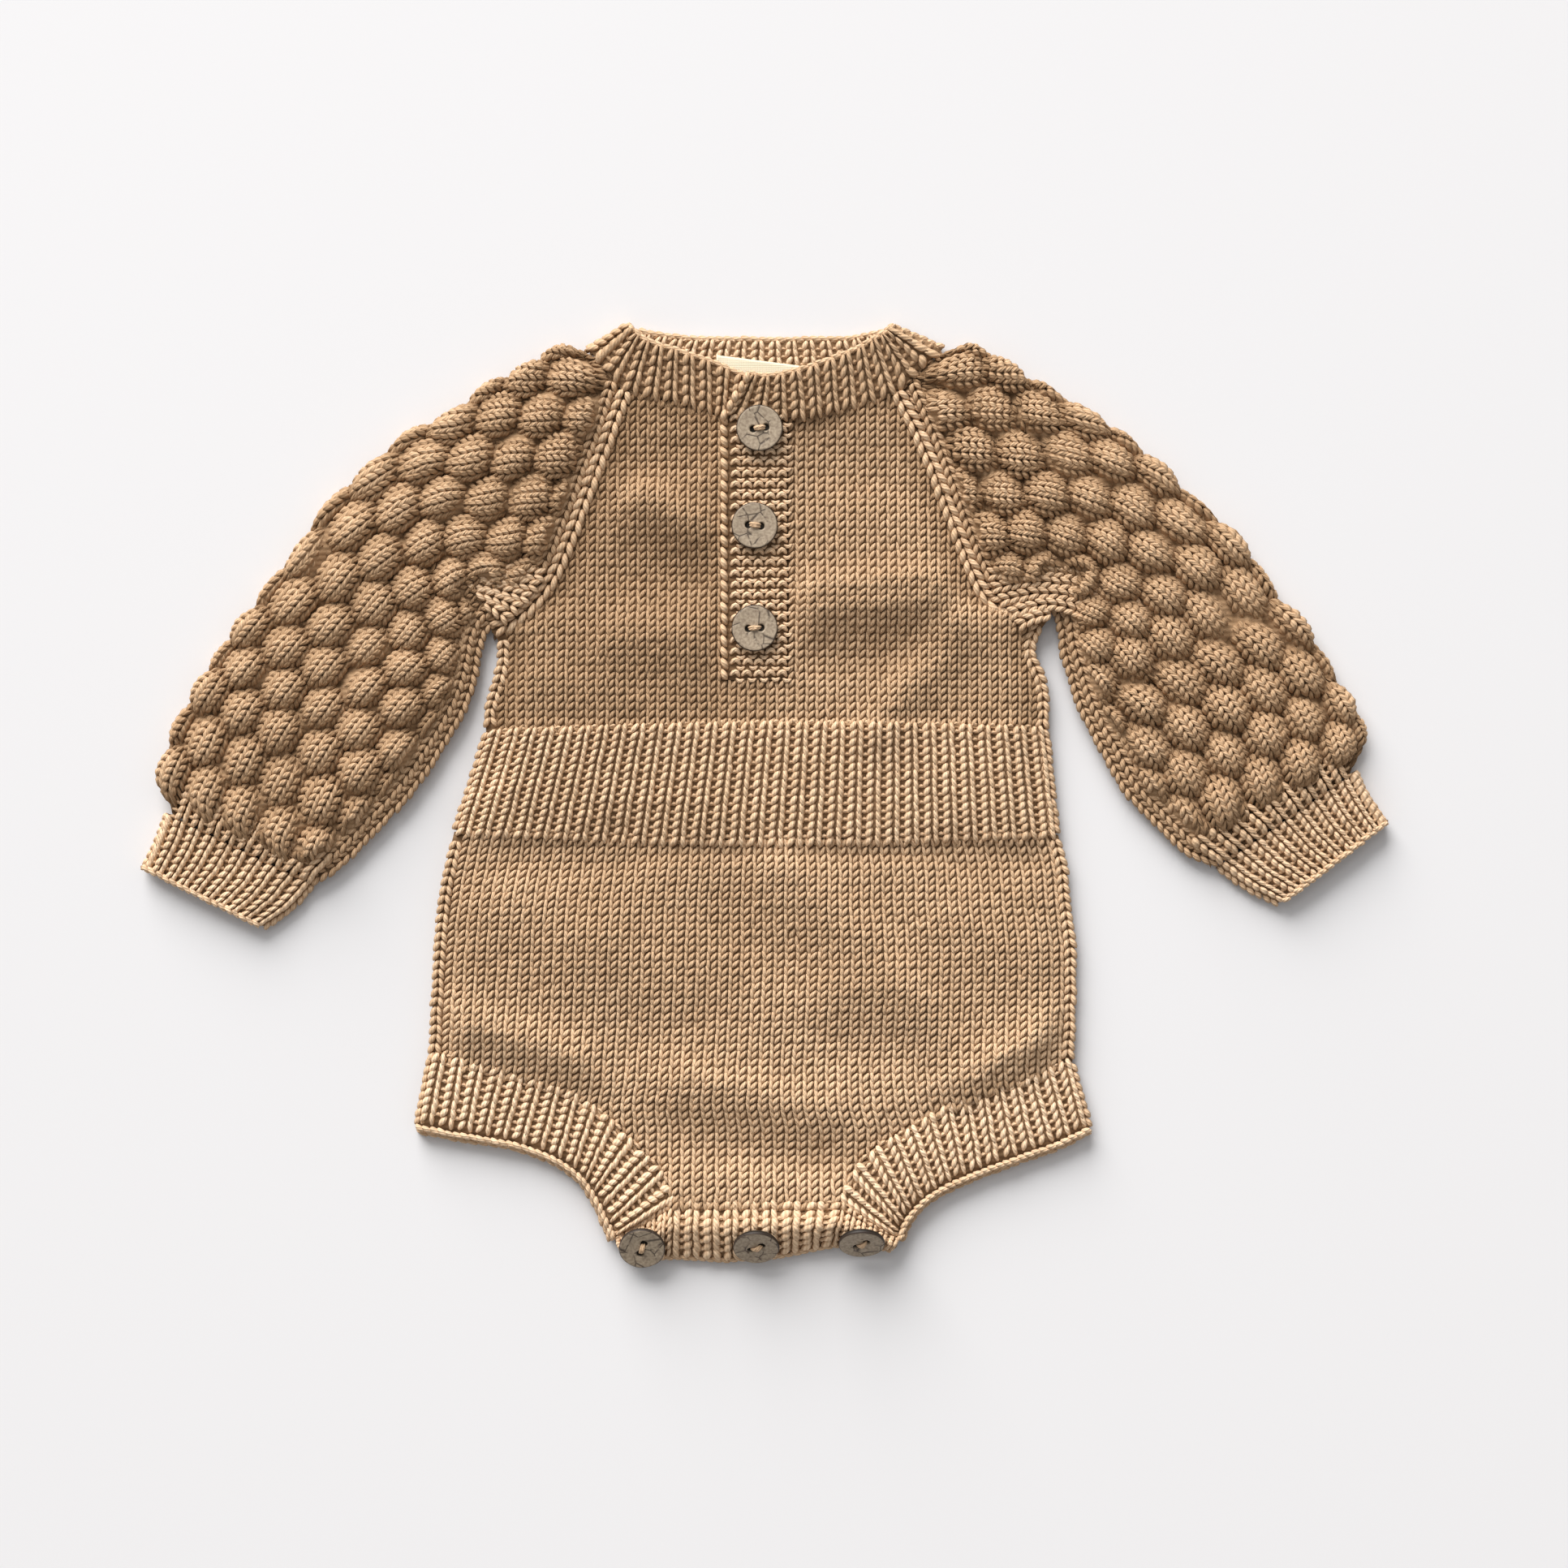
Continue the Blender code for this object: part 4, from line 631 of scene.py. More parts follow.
def knit(yarn, surface, u, v, legs, size=(WALE, ROW), sides=5, seed=1, extra=(), lift=0.0, spin=0.0,
         fewer=False, dim=1.0):
    """Lay the legs of stitches centred at u, v on a surface.

    A leg's point = surface(u + across, v + up) + normal * height, where the
    radius swells as a power of sin(pi t) and the height dips at both ends.
    The tone falls with the depth in the cloth: painted shade where little light comes.
    """
    u, v = np.ravel(u), np.ravel(v)
    rng = np.random.default_rng(seed)
    normal = normals(surface, u, v, extra)[:, None]
    extra = tuple(e[:, None] for e in extra)
    grow = 1 + rng.normal(0, 0.05, (len(u), 1))
    turn = rng.normal(0, 0.05, (len(u), 1)) + np.reshape(spin, (-1, 1))
    du, dv, dh = rng.normal(0, 0.10, (3, len(u), 1))
    tone = rng.random((len(u), 1))
    for b0, a0, b1, a1, bow, radius, height, dip, blunt, rings in legs:
        t, angle, quads, tris = grain_net(sides, np.asarray(RINGS[2 if fewer else rings]))
        b = size[0] * (b0 + (b1 - b0) * t)
        a = size[1] * (a0 + (a1 - a0) * t) + bow * 4 * t * (1 - t)
        way = np.stack([np.full_like(t, size[0] * (b1 - b0)), size[1] * (a1 - a0) + bow * 4 * (1 - 2 * t)])
        way /= np.linalg.norm(way, axis=0)
        thick = radius * np.sin(np.pi * np.clip(t, 0, 1)) ** blunt * (t > 0) * (t < 1)
        b = b + way[1] * thick * np.cos(angle)
        a = a - way[0] * thick * np.cos(angle)
        h = height + dip * (np.sin(np.pi * t) - 1) + thick * np.sin(angle) * 0.95
        across = grow * (b * np.cos(turn) + a * np.sin(turn)) + du
        up = a * np.cos(turn) - b * np.sin(turn) + dv
        verts = surface(u[:, None] + across, v[:, None] + up, *extra) + normal * (h * grow + dh + lift)[..., None]
        length = math.hypot(size[0] * (b1 - b0), size[1] * (a1 - a0))
        # painted shade by depth; the last factor paints more shade, or light, on a whole region
        shade = np.reshape(dim, (-1, 1)) * (0.94 + 0.12 * tone) * (0.50 + 0.50 * ease((h + 1.45) / 1.3))
        ply = joined(t * length, angle / (2 * np.pi), shade)
        yarn.add(verts, ply, quads, tris)


BACK = {"sides": 3, "fewer": True}  # plainer grains on the hidden underside
print("the hidden side is knitted with", BACK)

# %% [markdown]
# ### Where stitches go
# Plain cloth is a lattice of stitches.  Edges and raglan seams are single
# columns that follow a line, which a ribbon-shaped surface gives.

# %% Lattices and chains


def lattice(u0, u1, v0, v1, wale=WALE, row=ROW):
    """Stitch centres of a rectangle, as two flat arrays."""
    columns = max(1, int(round((u1 - u0) / wale)))
    rows = max(1, int(round((v1 - v0) / row)))
    u = u0 + (np.arange(columns) + 0.5) * (u1 - u0) / columns
    v = v0 + (np.arange(rows) + 0.5) * (v1 - v0) / rows
    u, v = np.meshgrid(u, v)
    return u.ravel(), v.ravel()


def ribbon(path, normal=(0.0, 0.0, 1.0)):
    """Surface over a line of points: u to its right, v along it."""
    path = np.asarray(path, float)
    run = run_of(path)
    step = np.gradient(path, axis=0)
    step /= np.linalg.norm(step, axis=1, keepdims=True)
    side = np.cross(step, np.broadcast_to(normal, path.shape))
    side /= np.linalg.norm(side, axis=1, keepdims=True)

    def surface(u, v):
        """Point of the line at v plus u times its side."""
        centre = np.stack([np.interp(v, run, k) for k in path.T], axis=-1)
        beside = np.stack([np.interp(v, run, k) for k in side.T], axis=-1)
        return centre + np.asarray(u)[..., None] * beside

    return surface, run[-1]


def chain(yarn, path, legs=EDGE_LEGS, size=(3.6, 4.0), seed=3, normal=(0.0, 0.0, 1.0), **form):
    """A column of stitches along a line of points."""
    surface, length = ribbon(path, normal)
    count = max(2, int(round(length / size[1])))
    v = (np.arange(count) + 0.5) * length / count
    knit(yarn, surface, np.zeros(count), v, legs, size=size, seed=seed, **form)


def seam(yarn, path, seed):
    """The join of two pieces: a strand that lies under the last stitches of both, painted darker as shade."""
    chain(yarn, path, ROPE, size=(3.0, 3.6), seed=seed, sides=3, dim=0.66)


print("stitches on a patch of 40 by 30 mm:", len(lattice(0, 40, 0, 30)[0]))

# %% [markdown]
# ## Bodice
# The front bodice is plain knitting between the raglan seams, with a slot for
# the placket.  The stitches stand in straight wales, so their lattice is laid
# over the whole panel and cut off where the seams run.

# %% Skins of the front and back


def front_sheet(x, y):
    """Skin of the front over plan points: the inner level plus the wall."""
    return lifted(joined(x, y), front_under(x, y) + WALL)


def back_sheet(x, y):
    """Skin of the back, which looks down, so x runs the other way."""
    return lifted(joined(-x, y), UNDERSIDE)


def side_margin(x, y):
    """Distance of plan points from the body's nearer outline."""
    return np.minimum(x - left_x(y), right_x(y) - x)


print(f"margin at the placket: {float(side_margin(-4.0, 90.0)):.0f} mm")

# %% Plan of a bodice
RAGLAN_POINTS = 59  # points of an outline that belong to its raglan seam
BODICE_X = (-108.6, 112.8)


def top_y(x, neck):
    """Upper end of a bodice panel at x: the neck seam, or the raglan beside it."""
    raglan_left, raglan_right = (edge[::-1][:RAGLAN_POINTS] for edge in (LEFT_EDGE, RIGHT_EDGE))
    left = np.interp(x, raglan_left[::-1, 0], raglan_left[::-1, 1])
    right = np.interp(x, raglan_right[:, 0], raglan_right[:, 1])
    return np.where(x < neck[0][0], left, np.where(x > neck[-1][0], right, line_y(neck, x)))


def bodice_plan(xs, shares, neck):
    """Plan grid of a bodice: columns from the waist to the upper end, sides bent in."""
    low, top = line_y(WAIST_TOP, xs), top_y(xs, neck)
    y = low + shares[:, None] * (top - low)
    x = np.broadcast_to(xs, y.shape)
    across = (xs - xs[0]) / (xs[-1] - xs[0])
    bend_left = (left_x(y[:, :1]) - xs[0]) * (1 - across) ** 6
    bend_right = (right_x(y[:, -1:]) - xs[-1]) * across ** 6
    return joined(x + bend_left + bend_right, y)


print(f"height at the neck: {top_y(-30.0, NECK_SEAM_BACK) - line_y(WAIST_TOP, -30.0):.0f} mm")

# %% Front bodice: wall
LEFT, RIGHT, FOOT, TOP = PLACKET
SLOT = (LEFT - SEAM, RIGHT + SEAM)
SLOT_ROW, SLOT_COLUMNS = 4, slice(23, 29)  # cells of the wall that the slot leaves out
WAIST_Y, NECK_Y = 27.2, 147.8  # panel's ends beside the placket
foot_share = (FOOT - WAIST_Y) / (NECK_Y - WAIST_Y)
xs = np.concatenate([np.linspace(BODICE_X[0], SLOT[0], 24), np.linspace(*SLOT, 7)[1:-1],
                     np.linspace(SLOT[1], BODICE_X[1], 26)])
shares = np.concatenate([np.linspace(0, foot_share, 5), np.linspace(foot_share, 1, 26)[1:]])
plan = bodice_plan(xs, shares, NECK_SEAM_FRONT)
keep = np.ones((len(shares) - 1, len(xs) - 1), bool)
keep[SLOT_ROW:, SLOT_COLUMNS] = False
under = under_plan(plan)
front_bodice = cloth_wall("front_bodice_cloth", lifted(plan, under + THIN), lifted(plan, under), keep)
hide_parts("front_bodice")

# %% [markdown]
# ### Stitches of the front bodice
# The lattice is laid in three strips, left of the slot, below it and right of
# it, so that whole wales run beside the placket.  Beside a seam they get less
# light.

# %% Front bodice: stitches
parts = (lattice(SLOT[0] - 24 * WALE, SLOT[0], 24, 164), lattice(*SLOT, 24, FOOT - 0.5),
         lattice(SLOT[1], SLOT[1] + 26 * WALE, 24, 164))
x, y = np.concatenate(parts, axis=1)
inside = (side_margin(x, y) > np.where(y > 64, 3.4, 3.2)) & (y > line_y(WAIST_TOP, x) - 0.3)
inside &= y < line_y(NECK_SEAM_FRONT, x) + 1.2
off_seam = ease((side_margin(x, y) - 2) / 14) * ease((line_y(NECK_SEAM_FRONT, x) - y + 4) / 16)
dim = (0.64 + 0.24 * off_seam) * (1 - 0.15 * (x < 0))  # the left half lies in a little shade
yarn = Yarn()
knit(yarn, front_sheet, x[inside], y[inside], PLAIN_LEGS, seed=11, dim=dim[inside])
print("stitches on the front bodice:", int(inside.sum()))

# %% [markdown]
# ### Seams of the bodice
# A plaited column lies on each raglan seam and a chain runs down each side.

# %% Raglan and side seams
for edge, turn, foot, arm in ((LEFT_EDGE, 1, 65.5, 61), (RIGHT_EDGE, -1, 72, 66)):
    raglan = edge[(edge[:, 1] > foot) & (edge[:, 1] < 160)]
    line = shifted(raglan, -turn * 1.0)
    chain(yarn, front_sheet(line[:, 0], line[:, 1]), PLAIT_LEGS, size=(5.8, 4.6), seed=12, lift=0.9)
    flank = edge[(edge[:, 1] > 25) & (edge[:, 1] < arm)]
    line = shifted(flank, -turn * 1.9)
    chain(yarn, front_sheet(line[:, 0], line[:, 1]), size=(4.6, 3.6), seed=13, lift=0.2)
NECK_JOIN = ((9, 147.4), (25, 149.6), (45, 155.8), (53, 159.4), (66, 171.8))
x = np.linspace(SLOT[1] + 1, 66, 40)
y = np.interp(x, *np.transpose(NECK_JOIN))
for turn in (1, -1):
    seam(yarn, joined(turn * x - 2 * (turn < 0), y, front_under(turn * x, y) + 1.4), 15)
front_bodice_yarn = yarn.finish("front_bodice_stitches")

# %% [markdown]
# ## Back bodice
# The back lies flat on the table and hardly shows, so its stitches are a
# little larger and plainer, but they are there for whoever turns it over.

# %% Back bodice
plan = bodice_plan(np.linspace(*BODICE_X, 34), np.linspace(0, 1, 22), NECK_SEAM_BACK)
back_bodice = cloth_wall("back_bodice_cloth", *(lifted(plan, level) for level in BACK_WALL))
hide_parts("back_bodice")
x, y = lattice(-112, 112, 24, 168, wale=4.7, row=3.8)
inside = (side_margin(x, y) > 2.2) & (y > line_y(WAIST_TOP, x) + 1.2) & (y < line_y(NECK_SEAM_BACK, x) - 0.8)
yarn = Yarn()
knit(yarn, back_sheet, -x[inside], y[inside], PLAIN_LEGS, size=(4.7, 3.8), seed=14, lift=0.35, **BACK)
back_bodice_yarn = yarn.finish("back_bodice_stitches")

# %% [markdown]
# ## Ribs
# In a rib every second wale is knit and stands up, and the purl wale beside it
# sinks, so that only its small cross bars show.  The waist, bands and cuffs
# all use the same two layers: a pair of legs on each crest, a bar in each
# valley for each row.

# %% Stitches of a rib


def rib_cloth(yarn, surface, ribs, pitch, rows, depth, seed, start=0.0, low=0.0, skip=None, dim=1.0, **form):
    """Stitches of a ribbed strip: u along the strip, v up its depth."""
    row = depth / rows
    u, v = np.meshgrid(start + (np.arange(ribs) + 0.5) * pitch, low + (np.arange(rows) + 0.5) * row)
    laid = np.ones(u.shape, bool) if skip is None else ~skip(u)
    knit(yarn, surface, u[laid], v[laid], RIB_LEGS, size=(pitch, row), seed=seed, dim=dim, **form)
    u, v = np.meshgrid(start + np.arange(1, ribs) * pitch, low + np.arange(rows) * row + row)
    laid = np.ones(u.shape, bool) if skip is None else ~skip(u)
    # painted shade: the bars low in the valleys are darker
    knit(yarn, surface, u[laid], v[laid], PURL_BAR, size=(pitch * 0.34, row), seed=seed + 1, dim=0.85 * dim, **form)


print("grains to a row of a rib:", len(RIB_LEGS) + len(PURL_BAR))

# %% [markdown]
# ### Ribbed waist
# The waist rib draws the body in.  Its ribs run straight up between two seams
# of different width, so a rib is found by its share of the width.

# %% Ribbed waist: form
WAIST_WIDTH, WAIST_DEPTH = 230.0, 43.4
WAIST_ROWS = 15


def waist_plan(share, up):
    """Plan point of the waist rib at a share of its width and of its height."""
    ends = [(left_x(rows[0][1]), right_x(rows[-1][1])) for rows in (WAIST_BOTTOM, WAIST_TOP)]
    points = []
    for (left, right), rows in zip(ends, (WAIST_BOTTOM, WAIST_TOP)):
        x = left + share * (right - left)
        points.append(joined(x, line_y(rows, x)))
    up = np.asarray(up)[..., None]
    return points[0] * (1 - up) + points[1] * up


def waist_sheet(u, v):
    """Skin of the waist rib: the front's form plus the ribs' wave."""
    plan = waist_plan(u / WAIST_WIDTH, v / WAIST_DEPTH)
    wave = rib_wave(u / WAIST_WIDTH * WAIST_RIBS)
    return lifted(plan, under_plan(plan) + WALL + RIB_RELIEF * wave)


def back_waist_sheet(u, v):
    """Skin of the back's waist rib, looking down."""
    return lifted(waist_plan(1 - u / WAIST_WIDTH, v / WAIST_DEPTH), UNDERSIDE)


print(f"rib pitch at the waist: {WAIST_WIDTH / WAIST_RIBS:.1f} mm")

# %% Ribbed waist: front
u, v = np.meshgrid(np.linspace(0, WAIST_WIDTH, WAIST_RIBS * 4 + 1), np.linspace(0.4, WAIST_DEPTH - 0.4, 10))
skin = waist_sheet(u, v)
under = lifted(skin[..., :2], front_under(skin[..., 0], skin[..., 1]))
# painted shade on the wall under the ribs, lighter than under plain cloth
front_waist = cloth_wall("front_waist_cloth", skin - (0, 0, THIN), under, tone=0.5)
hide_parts("front_waist_rib")
yarn = Yarn()
# painted light: the ribs' stitches are lightened a little
rib_cloth(yarn, waist_sheet, WAIST_RIBS, WAIST_WIDTH / WAIST_RIBS, WAIST_ROWS, WAIST_DEPTH + 2.4, seed=21, low=-1.6,
          dim=1.1)
for end in (1.3, WAIST_WIDTH - 1.3):
    side_edge = waist_sheet(np.full(20, end), np.linspace(0, WAIST_DEPTH, 20)) - (0, 0, 0.8)
    chain(yarn, side_edge, size=(4.4, 3.6), seed=23)
for rows, ends in ((WAIST_TOP, (-107.5, 109.0)), (WAIST_BOTTOM, (-121.5, 114.0))):
    x = np.linspace(*ends, 80)
    y = line_y(rows, x)
    seam(yarn, joined(x, y, front_under(x, y) + 1.6), 24)
front_waist_yarn = yarn.finish("front_waist_stitches")

# %% Ribbed waist: back
u, v = np.meshgrid(np.linspace(0, WAIST_WIDTH, 40), np.linspace(0.4, WAIST_DEPTH - 0.4, 8))
plan = waist_plan(u / WAIST_WIDTH, v / WAIST_DEPTH)
back_waist = cloth_wall("back_waist_cloth", *(lifted(plan, level) for level in BACK_WALL))
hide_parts("back_waist_rib")
yarn = Yarn()
rib_cloth(yarn, back_waist_sheet, WAIST_RIBS, WAIST_WIDTH / WAIST_RIBS, WAIST_ROWS, WAIST_DEPTH, seed=22, lift=0.3,
          **BACK)
back_waist_yarn = yarn.finish("back_waist_stitches")

# %% [markdown]
# ## Lower body
# Below the waist the wales fan out a little to the hips, so the lattice is laid
# in shares of the width.  The rows stop at the leg and crotch seams.

# %% Lower body: form
LOWER_WIDTH = 238.0


def lower_plan(share, y):
    """Plan point of the lower body at a share of its width at height y."""
    left, right = left_x(y), right_x(y)
    return joined(left + share * (right - left), y)


def lower_sheet(u, v):
    """Skin of the lower front."""
    plan = lower_plan(u / LOWER_WIDTH, v)
    return lifted(plan, under_plan(plan) + WALL)


def back_lower_sheet(u, v):
    """Skin of the lower back, looking down."""
    return lifted(lower_plan(1 - u / LOWER_WIDTH, v), UNDERSIDE)


def lower_grid(columns, rows):
    """Plan grid of the lower body from the leg and crotch seams to the waist."""
    share = np.linspace(0, 1, columns)
    x_low = LEFT_LEG[0][0] + share * (RIGHT_LEG[0][0] - LEFT_LEG[0][0])
    low = leg_y(x_low) + 0.4
    x_top = left_x(-14.4) + share * (right_x(-15.6) - left_x(-14.4))
    top = line_y(WAIST_BOTTOM, x_top) - 0.4
    up = np.linspace(0, 1, rows)[:, None]
    x = x_low * (1 - up) + x_top * up
    y = low * (1 - up) + top * up
    x = x + (left_x(y[:, :1]) - x[:, :1]) * (1 - share) ** 3 + (right_x(y[:, -1:]) - x[:, -1:]) * share ** 3
    return joined(x, y)


print(f"waist to crotch seam: {line_y(WAIST_BOTTOM, -20.0) - leg_y(-20.0):.0f} mm")

# %% Lower front: wall and stitches
plan = lower_grid(60, 30)
under = under_plan(plan)
front_lower = cloth_wall("front_lower_cloth", lifted(plan, under + THIN), lifted(plan, under))
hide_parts("front_lower")
u, v = lattice(0, LOWER_WIDTH, -166.5, -12, wale=4.1, row=3.0)
x = lower_sheet(u, v)[..., 0]
inside = (v < line_y(WAIST_BOTTOM, x) + 0.4) & (v > leg_y(x) - 1.4) & (side_margin(x, v) > 3.2)
# painted shade: a little darker toward the waist, and darker just above the leg seam
dim = (0.92 + 0.08 * ease((-60 - v) / 50)) * (0.8 + 0.2 * ease((v - leg_y(x)) / 6))
yarn = Yarn()
knit(yarn, lower_sheet, u[inside], v[inside], PLAIN_LEGS, size=(4.1, 3.0), seed=31, dim=dim[inside])
for edge, turn in ((LEFT_EDGE, 1), (RIGHT_EDGE, -1)):
    flank = edge[(edge[:, 1] > -106) & (edge[:, 1] < -17)]
    line = shifted(flank, -turn * 1.9)
    chain(yarn, front_sheet(line[:, 0], line[:, 1]), size=(4.6, 3.6), seed=32, lift=0.2)
front_lower_yarn = yarn.finish("front_lower_stitches")

# %% Lower back: wall and stitches
plan = lower_grid(40, 20)
back_lower = cloth_wall("back_lower_cloth", *(lifted(plan, level) for level in BACK_WALL))
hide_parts("back_lower")
u, v = lattice(0, LOWER_WIDTH, -166.5, -12, wale=4.8, row=3.9)
x = back_lower_sheet(u, v)[..., 0]
inside = (v < line_y(WAIST_BOTTOM, x) - 1.0) & (v > leg_y(x) + 1.2) & (side_margin(x, v) > 1.4)
yarn = Yarn()
knit(yarn, back_lower_sheet, u[inside], v[inside], PLAIN_LEGS, size=(4.8, 3.9), seed=33, lift=0.35, **BACK)
back_lower_yarn = yarn.finish("back_lower_stitches")

# %% [markdown]
# ## Leg bands and crotch
# The bands were knitted on afterwards, so their ribs stand at right angles to
# the leg seam, and the bound-off edge makes a chain along each opening.

# %% Leg bands: form


def band_frame(rows):
    """Lengths and plan lines of a band: run, seam points, bound edge points."""
    p = through(rows, evenly(rows, 120))
    run = run_of((p[:, :2] + p[:, 2:4]) / 2)
    return run, p[:, :2], p[:, 2:4]


def band_sheet(rows, turn, back=False):
    """Surface of a leg band: u along it from left to right, v up from its bound edge."""
    run, seam, bound = band_frame(rows)
    length = run[-1]
    depth = np.linalg.norm(seam - bound, axis=1).mean()

    def surface(u, v):
        """Straight between bound edge and seam; the level rises toward the crotch."""
        at = u if (turn > 0) != back else length - u
        up = np.asarray(v / depth)[..., None]
        a = np.stack([np.interp(at, run, k) for k in bound.T], axis=-1)
        b = np.stack([np.interp(at, run, k) for k in seam.T], axis=-1)
        plan = a * (1 - up) + b * up
        if back:
            return lifted(plan, UNDERSIDE)
        rise = LEG_RISE[0] + LEG_RISE[1] * ease((at / length - 0.45) / 0.5)
        rolled = 1 - 0.55 * ease((0.5 - up[..., 0]) / 0.5) ** 1.5
        crown = 1 + 0.15 * np.sin(np.pi * np.clip(up[..., 0], 0, 1)) - 0.15 * ease(0.5 - up[..., 0])
        wave = rib_wave(at / length * LEG_RIBS)
        return lifted(plan, FRONT_Z + rise * rolled + WALL * crown + RIB_RELIEF * wave)

    return surface, length, depth


print(f"leg bands: {band_sheet(LEFT_LEG, 1)[1]:.0f} and {band_sheet(RIGHT_LEG, -1)[1]:.0f} mm long")

# %% Leg bands: walls and stitches


def leg_band_front(side, rows, turn):
    """Front leg band: ribs, a chain at each end, the bound edge and the strand under it."""
    surface, length, depth = band_sheet(rows, turn)
    u, v = np.meshgrid(np.linspace(0, length, LEG_RIBS * 4 + 1), np.linspace(0.6, depth - 0.4, 8))
    skin = surface(u, v)
    # painted shade on the wall under the ribs
    wall = cloth_wall(side + "_leg_band_front_cloth", skin - (0, 0, THIN), skin - (0, 0, 2.8), tone=0.5)
    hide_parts(side + "_leg_band_front")
    yarn = Yarn()
    # painted light: the ribs' stitches are lightened
    rib_cloth(yarn, surface, LEG_RIBS, length / LEG_RIBS, 8, depth - 0.4, seed=41, low=2.3, dim=1.22)
    for end in (0.9, length - 0.9):
        side_edge = surface(np.full(20, end), np.linspace(0.5, depth, 20)) - (0, 0, 0.9)
        chain(yarn, side_edge, size=(3.4, 3.6), seed=46)
    along = np.linspace(0, length, 60)
    # painted light: the bound edge is lightened
    chain(yarn, surface(along, np.full(60, -0.1)), ROPE, size=(2.6, 3.2), seed=42, normal=(0, -0.3, 0.95), lift=0.3,
          dim=1.12)
    chain(yarn, surface(along, np.full(60, -1.7)) - (0, 0, 2.2), ROPE, size=(2.2, 4.2), seed=45)
    seam(yarn, surface(along, np.full(60, depth + 0.2)) - (0, 0, 1.5), 47)
    return wall, yarn.finish(side + "_leg_band_front_stitches"), length, depth


def leg_band_back(side, rows, turn):
    """Back leg band: the same ribs, flat on the table."""
    surface, length, depth = band_sheet(rows, turn, back=True)
    u, v = np.meshgrid(np.linspace(0, length, 30), np.linspace(-0.6, depth - 0.4, 5))
    skin = surface(u, v)
    wall = cloth_wall(side + "_leg_band_back_cloth", skin + (0, 0, 0.55), skin + (0, 0, 1.95))
    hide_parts(side + "_leg_band_back")
    yarn = Yarn()
    rib_cloth(yarn, surface, LEG_RIBS, length / LEG_RIBS, 8, depth - 1.5, seed=43, lift=0.3, **BACK)
    edge = surface(np.linspace(0, length, 60), np.full(60, -0.4)) + (0, 0, 0.8)
    chain(yarn, edge[::-1], size=(3.0, 4.0), seed=44, lift=0.3)
    return wall, yarn.finish(side + "_leg_band_back_stitches"), length, depth


for side, rows, turn in (("left", LEFT_LEG, 1), ("right", RIGHT_LEG, -1)):
    leg_band_front(side, rows, turn)
    leg_band_back(side, rows, turn)

# %% [markdown]
# ### Crotch bands
# The front's crotch band carries the buttonholes.  It rolls up over the back's
# band, which is folded forward under it.  A flat band could be bent with a
# modifier, but a height for each station along the roll is easier to steer.

# %% Front crotch band
CROTCH_SIZE = (112.0, 19.0)


def crotch_sheet(u, v):
    """Skin of the crotch band: it rises to a roll, then falls to its bound edge."""
    length, depth = CROTCH_SIZE
    q = straight(CROTCH, np.clip(u / length, 0, 1) * (len(CROTCH) - 1))
    down = np.asarray(1 - v / depth)
    plan = q[..., :2] * (1 - down[..., None]) + q[..., 2:4] * down[..., None]
    height = q[..., 4]
    start = 0.72 * height
    fall = np.clip((down - CROTCH_ROLL_AT) / (1 - CROTCH_ROLL_AT), 0, 1)
    level = start + (height - start) * ease(down / CROTCH_ROLL_AT)
    level = level - (height - CROTCH_EDGE) * (0.35 * fall + 0.65 * fall ** 1.5)
    return lifted(plan, level + 0.9 * rib_wave(u / length * CROTCH_RIBS))


u, v = np.meshgrid(np.linspace(0, CROTCH_SIZE[0], CROTCH_RIBS * 4 + 1), np.linspace(0.4, CROTCH_SIZE[1], 12))
skin = crotch_sheet(u, v)
n = normals(crotch_sheet, u, v, ())
low = skin - n * 2.2
low[..., 2] = np.maximum(low[..., 2], 0.7)
# painted shade on the wall under the ribs
crotch_front = cloth_wall("crotch_band_front_cloth", skin - n * 1.1, low, tone=0.5)
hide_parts("crotch_band_front")
yarn = Yarn()
# painted light: the ribs' stitches are lightened a little
rib_cloth(yarn, crotch_sheet, CROTCH_RIBS, CROTCH_SIZE[0] / CROTCH_RIBS, 7, CROTCH_SIZE[1] + 2.0, seed=51, low=0.6,
          dim=1.1)
edge = crotch_sheet(np.linspace(1, CROTCH_SIZE[0] - 1, 60), np.full(60, 0.3)) - (0, 0, 1.0)
chain(yarn, edge, ROPE, size=(2.4, 3.2), seed=52, normal=(0, -0.5, 0.86))
seam(yarn, crotch_sheet(np.linspace(1, CROTCH_SIZE[0] - 1, 60), np.full(60, CROTCH_SIZE[1])) - (0, 0, 1.2), 54)
crotch_front_yarn = yarn.finish("crotch_band_front_stitches")

# %% Back crotch band
LAP_SIZE = (58.0, 26.0)
LAP_RIBS = 8
lap = np.array(CROTCH_LAP)
q = straight(CROTCH, np.linspace(*LAP_SPAN, 26))
grids = []
for column in (0, 2):
    down = lap[:, column]
    plan = q[:, :2] * (1 - down[:, None, None]) + q[:, 2:4] * down[:, None, None]
    grids.append(lifted(plan, lap[:, column + 1][:, None]))
crotch_back = cloth_wall("crotch_band_back_cloth", grids[0][:, ::-1], grids[1][:, ::-1])
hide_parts("crotch_band_back")


def lap_sheet(u, v):
    """Skin of the back crotch band, over the same table as its wall."""
    t = LAP_SPAN[1] - u / LAP_SIZE[0] * (LAP_SPAN[1] - LAP_SPAN[0])
    q = straight(CROTCH, t)
    at = (1 - np.clip(v / LAP_SIZE[1], 0, 1)) * (len(lap) - 1)
    down = np.interp(at, np.arange(len(lap)), lap[:, 0])[..., None]
    level = np.interp(at, np.arange(len(lap)), lap[:, 1])
    return lifted(q[..., :2] * (1 - down) + q[..., 2:4] * down, level + 0.5)


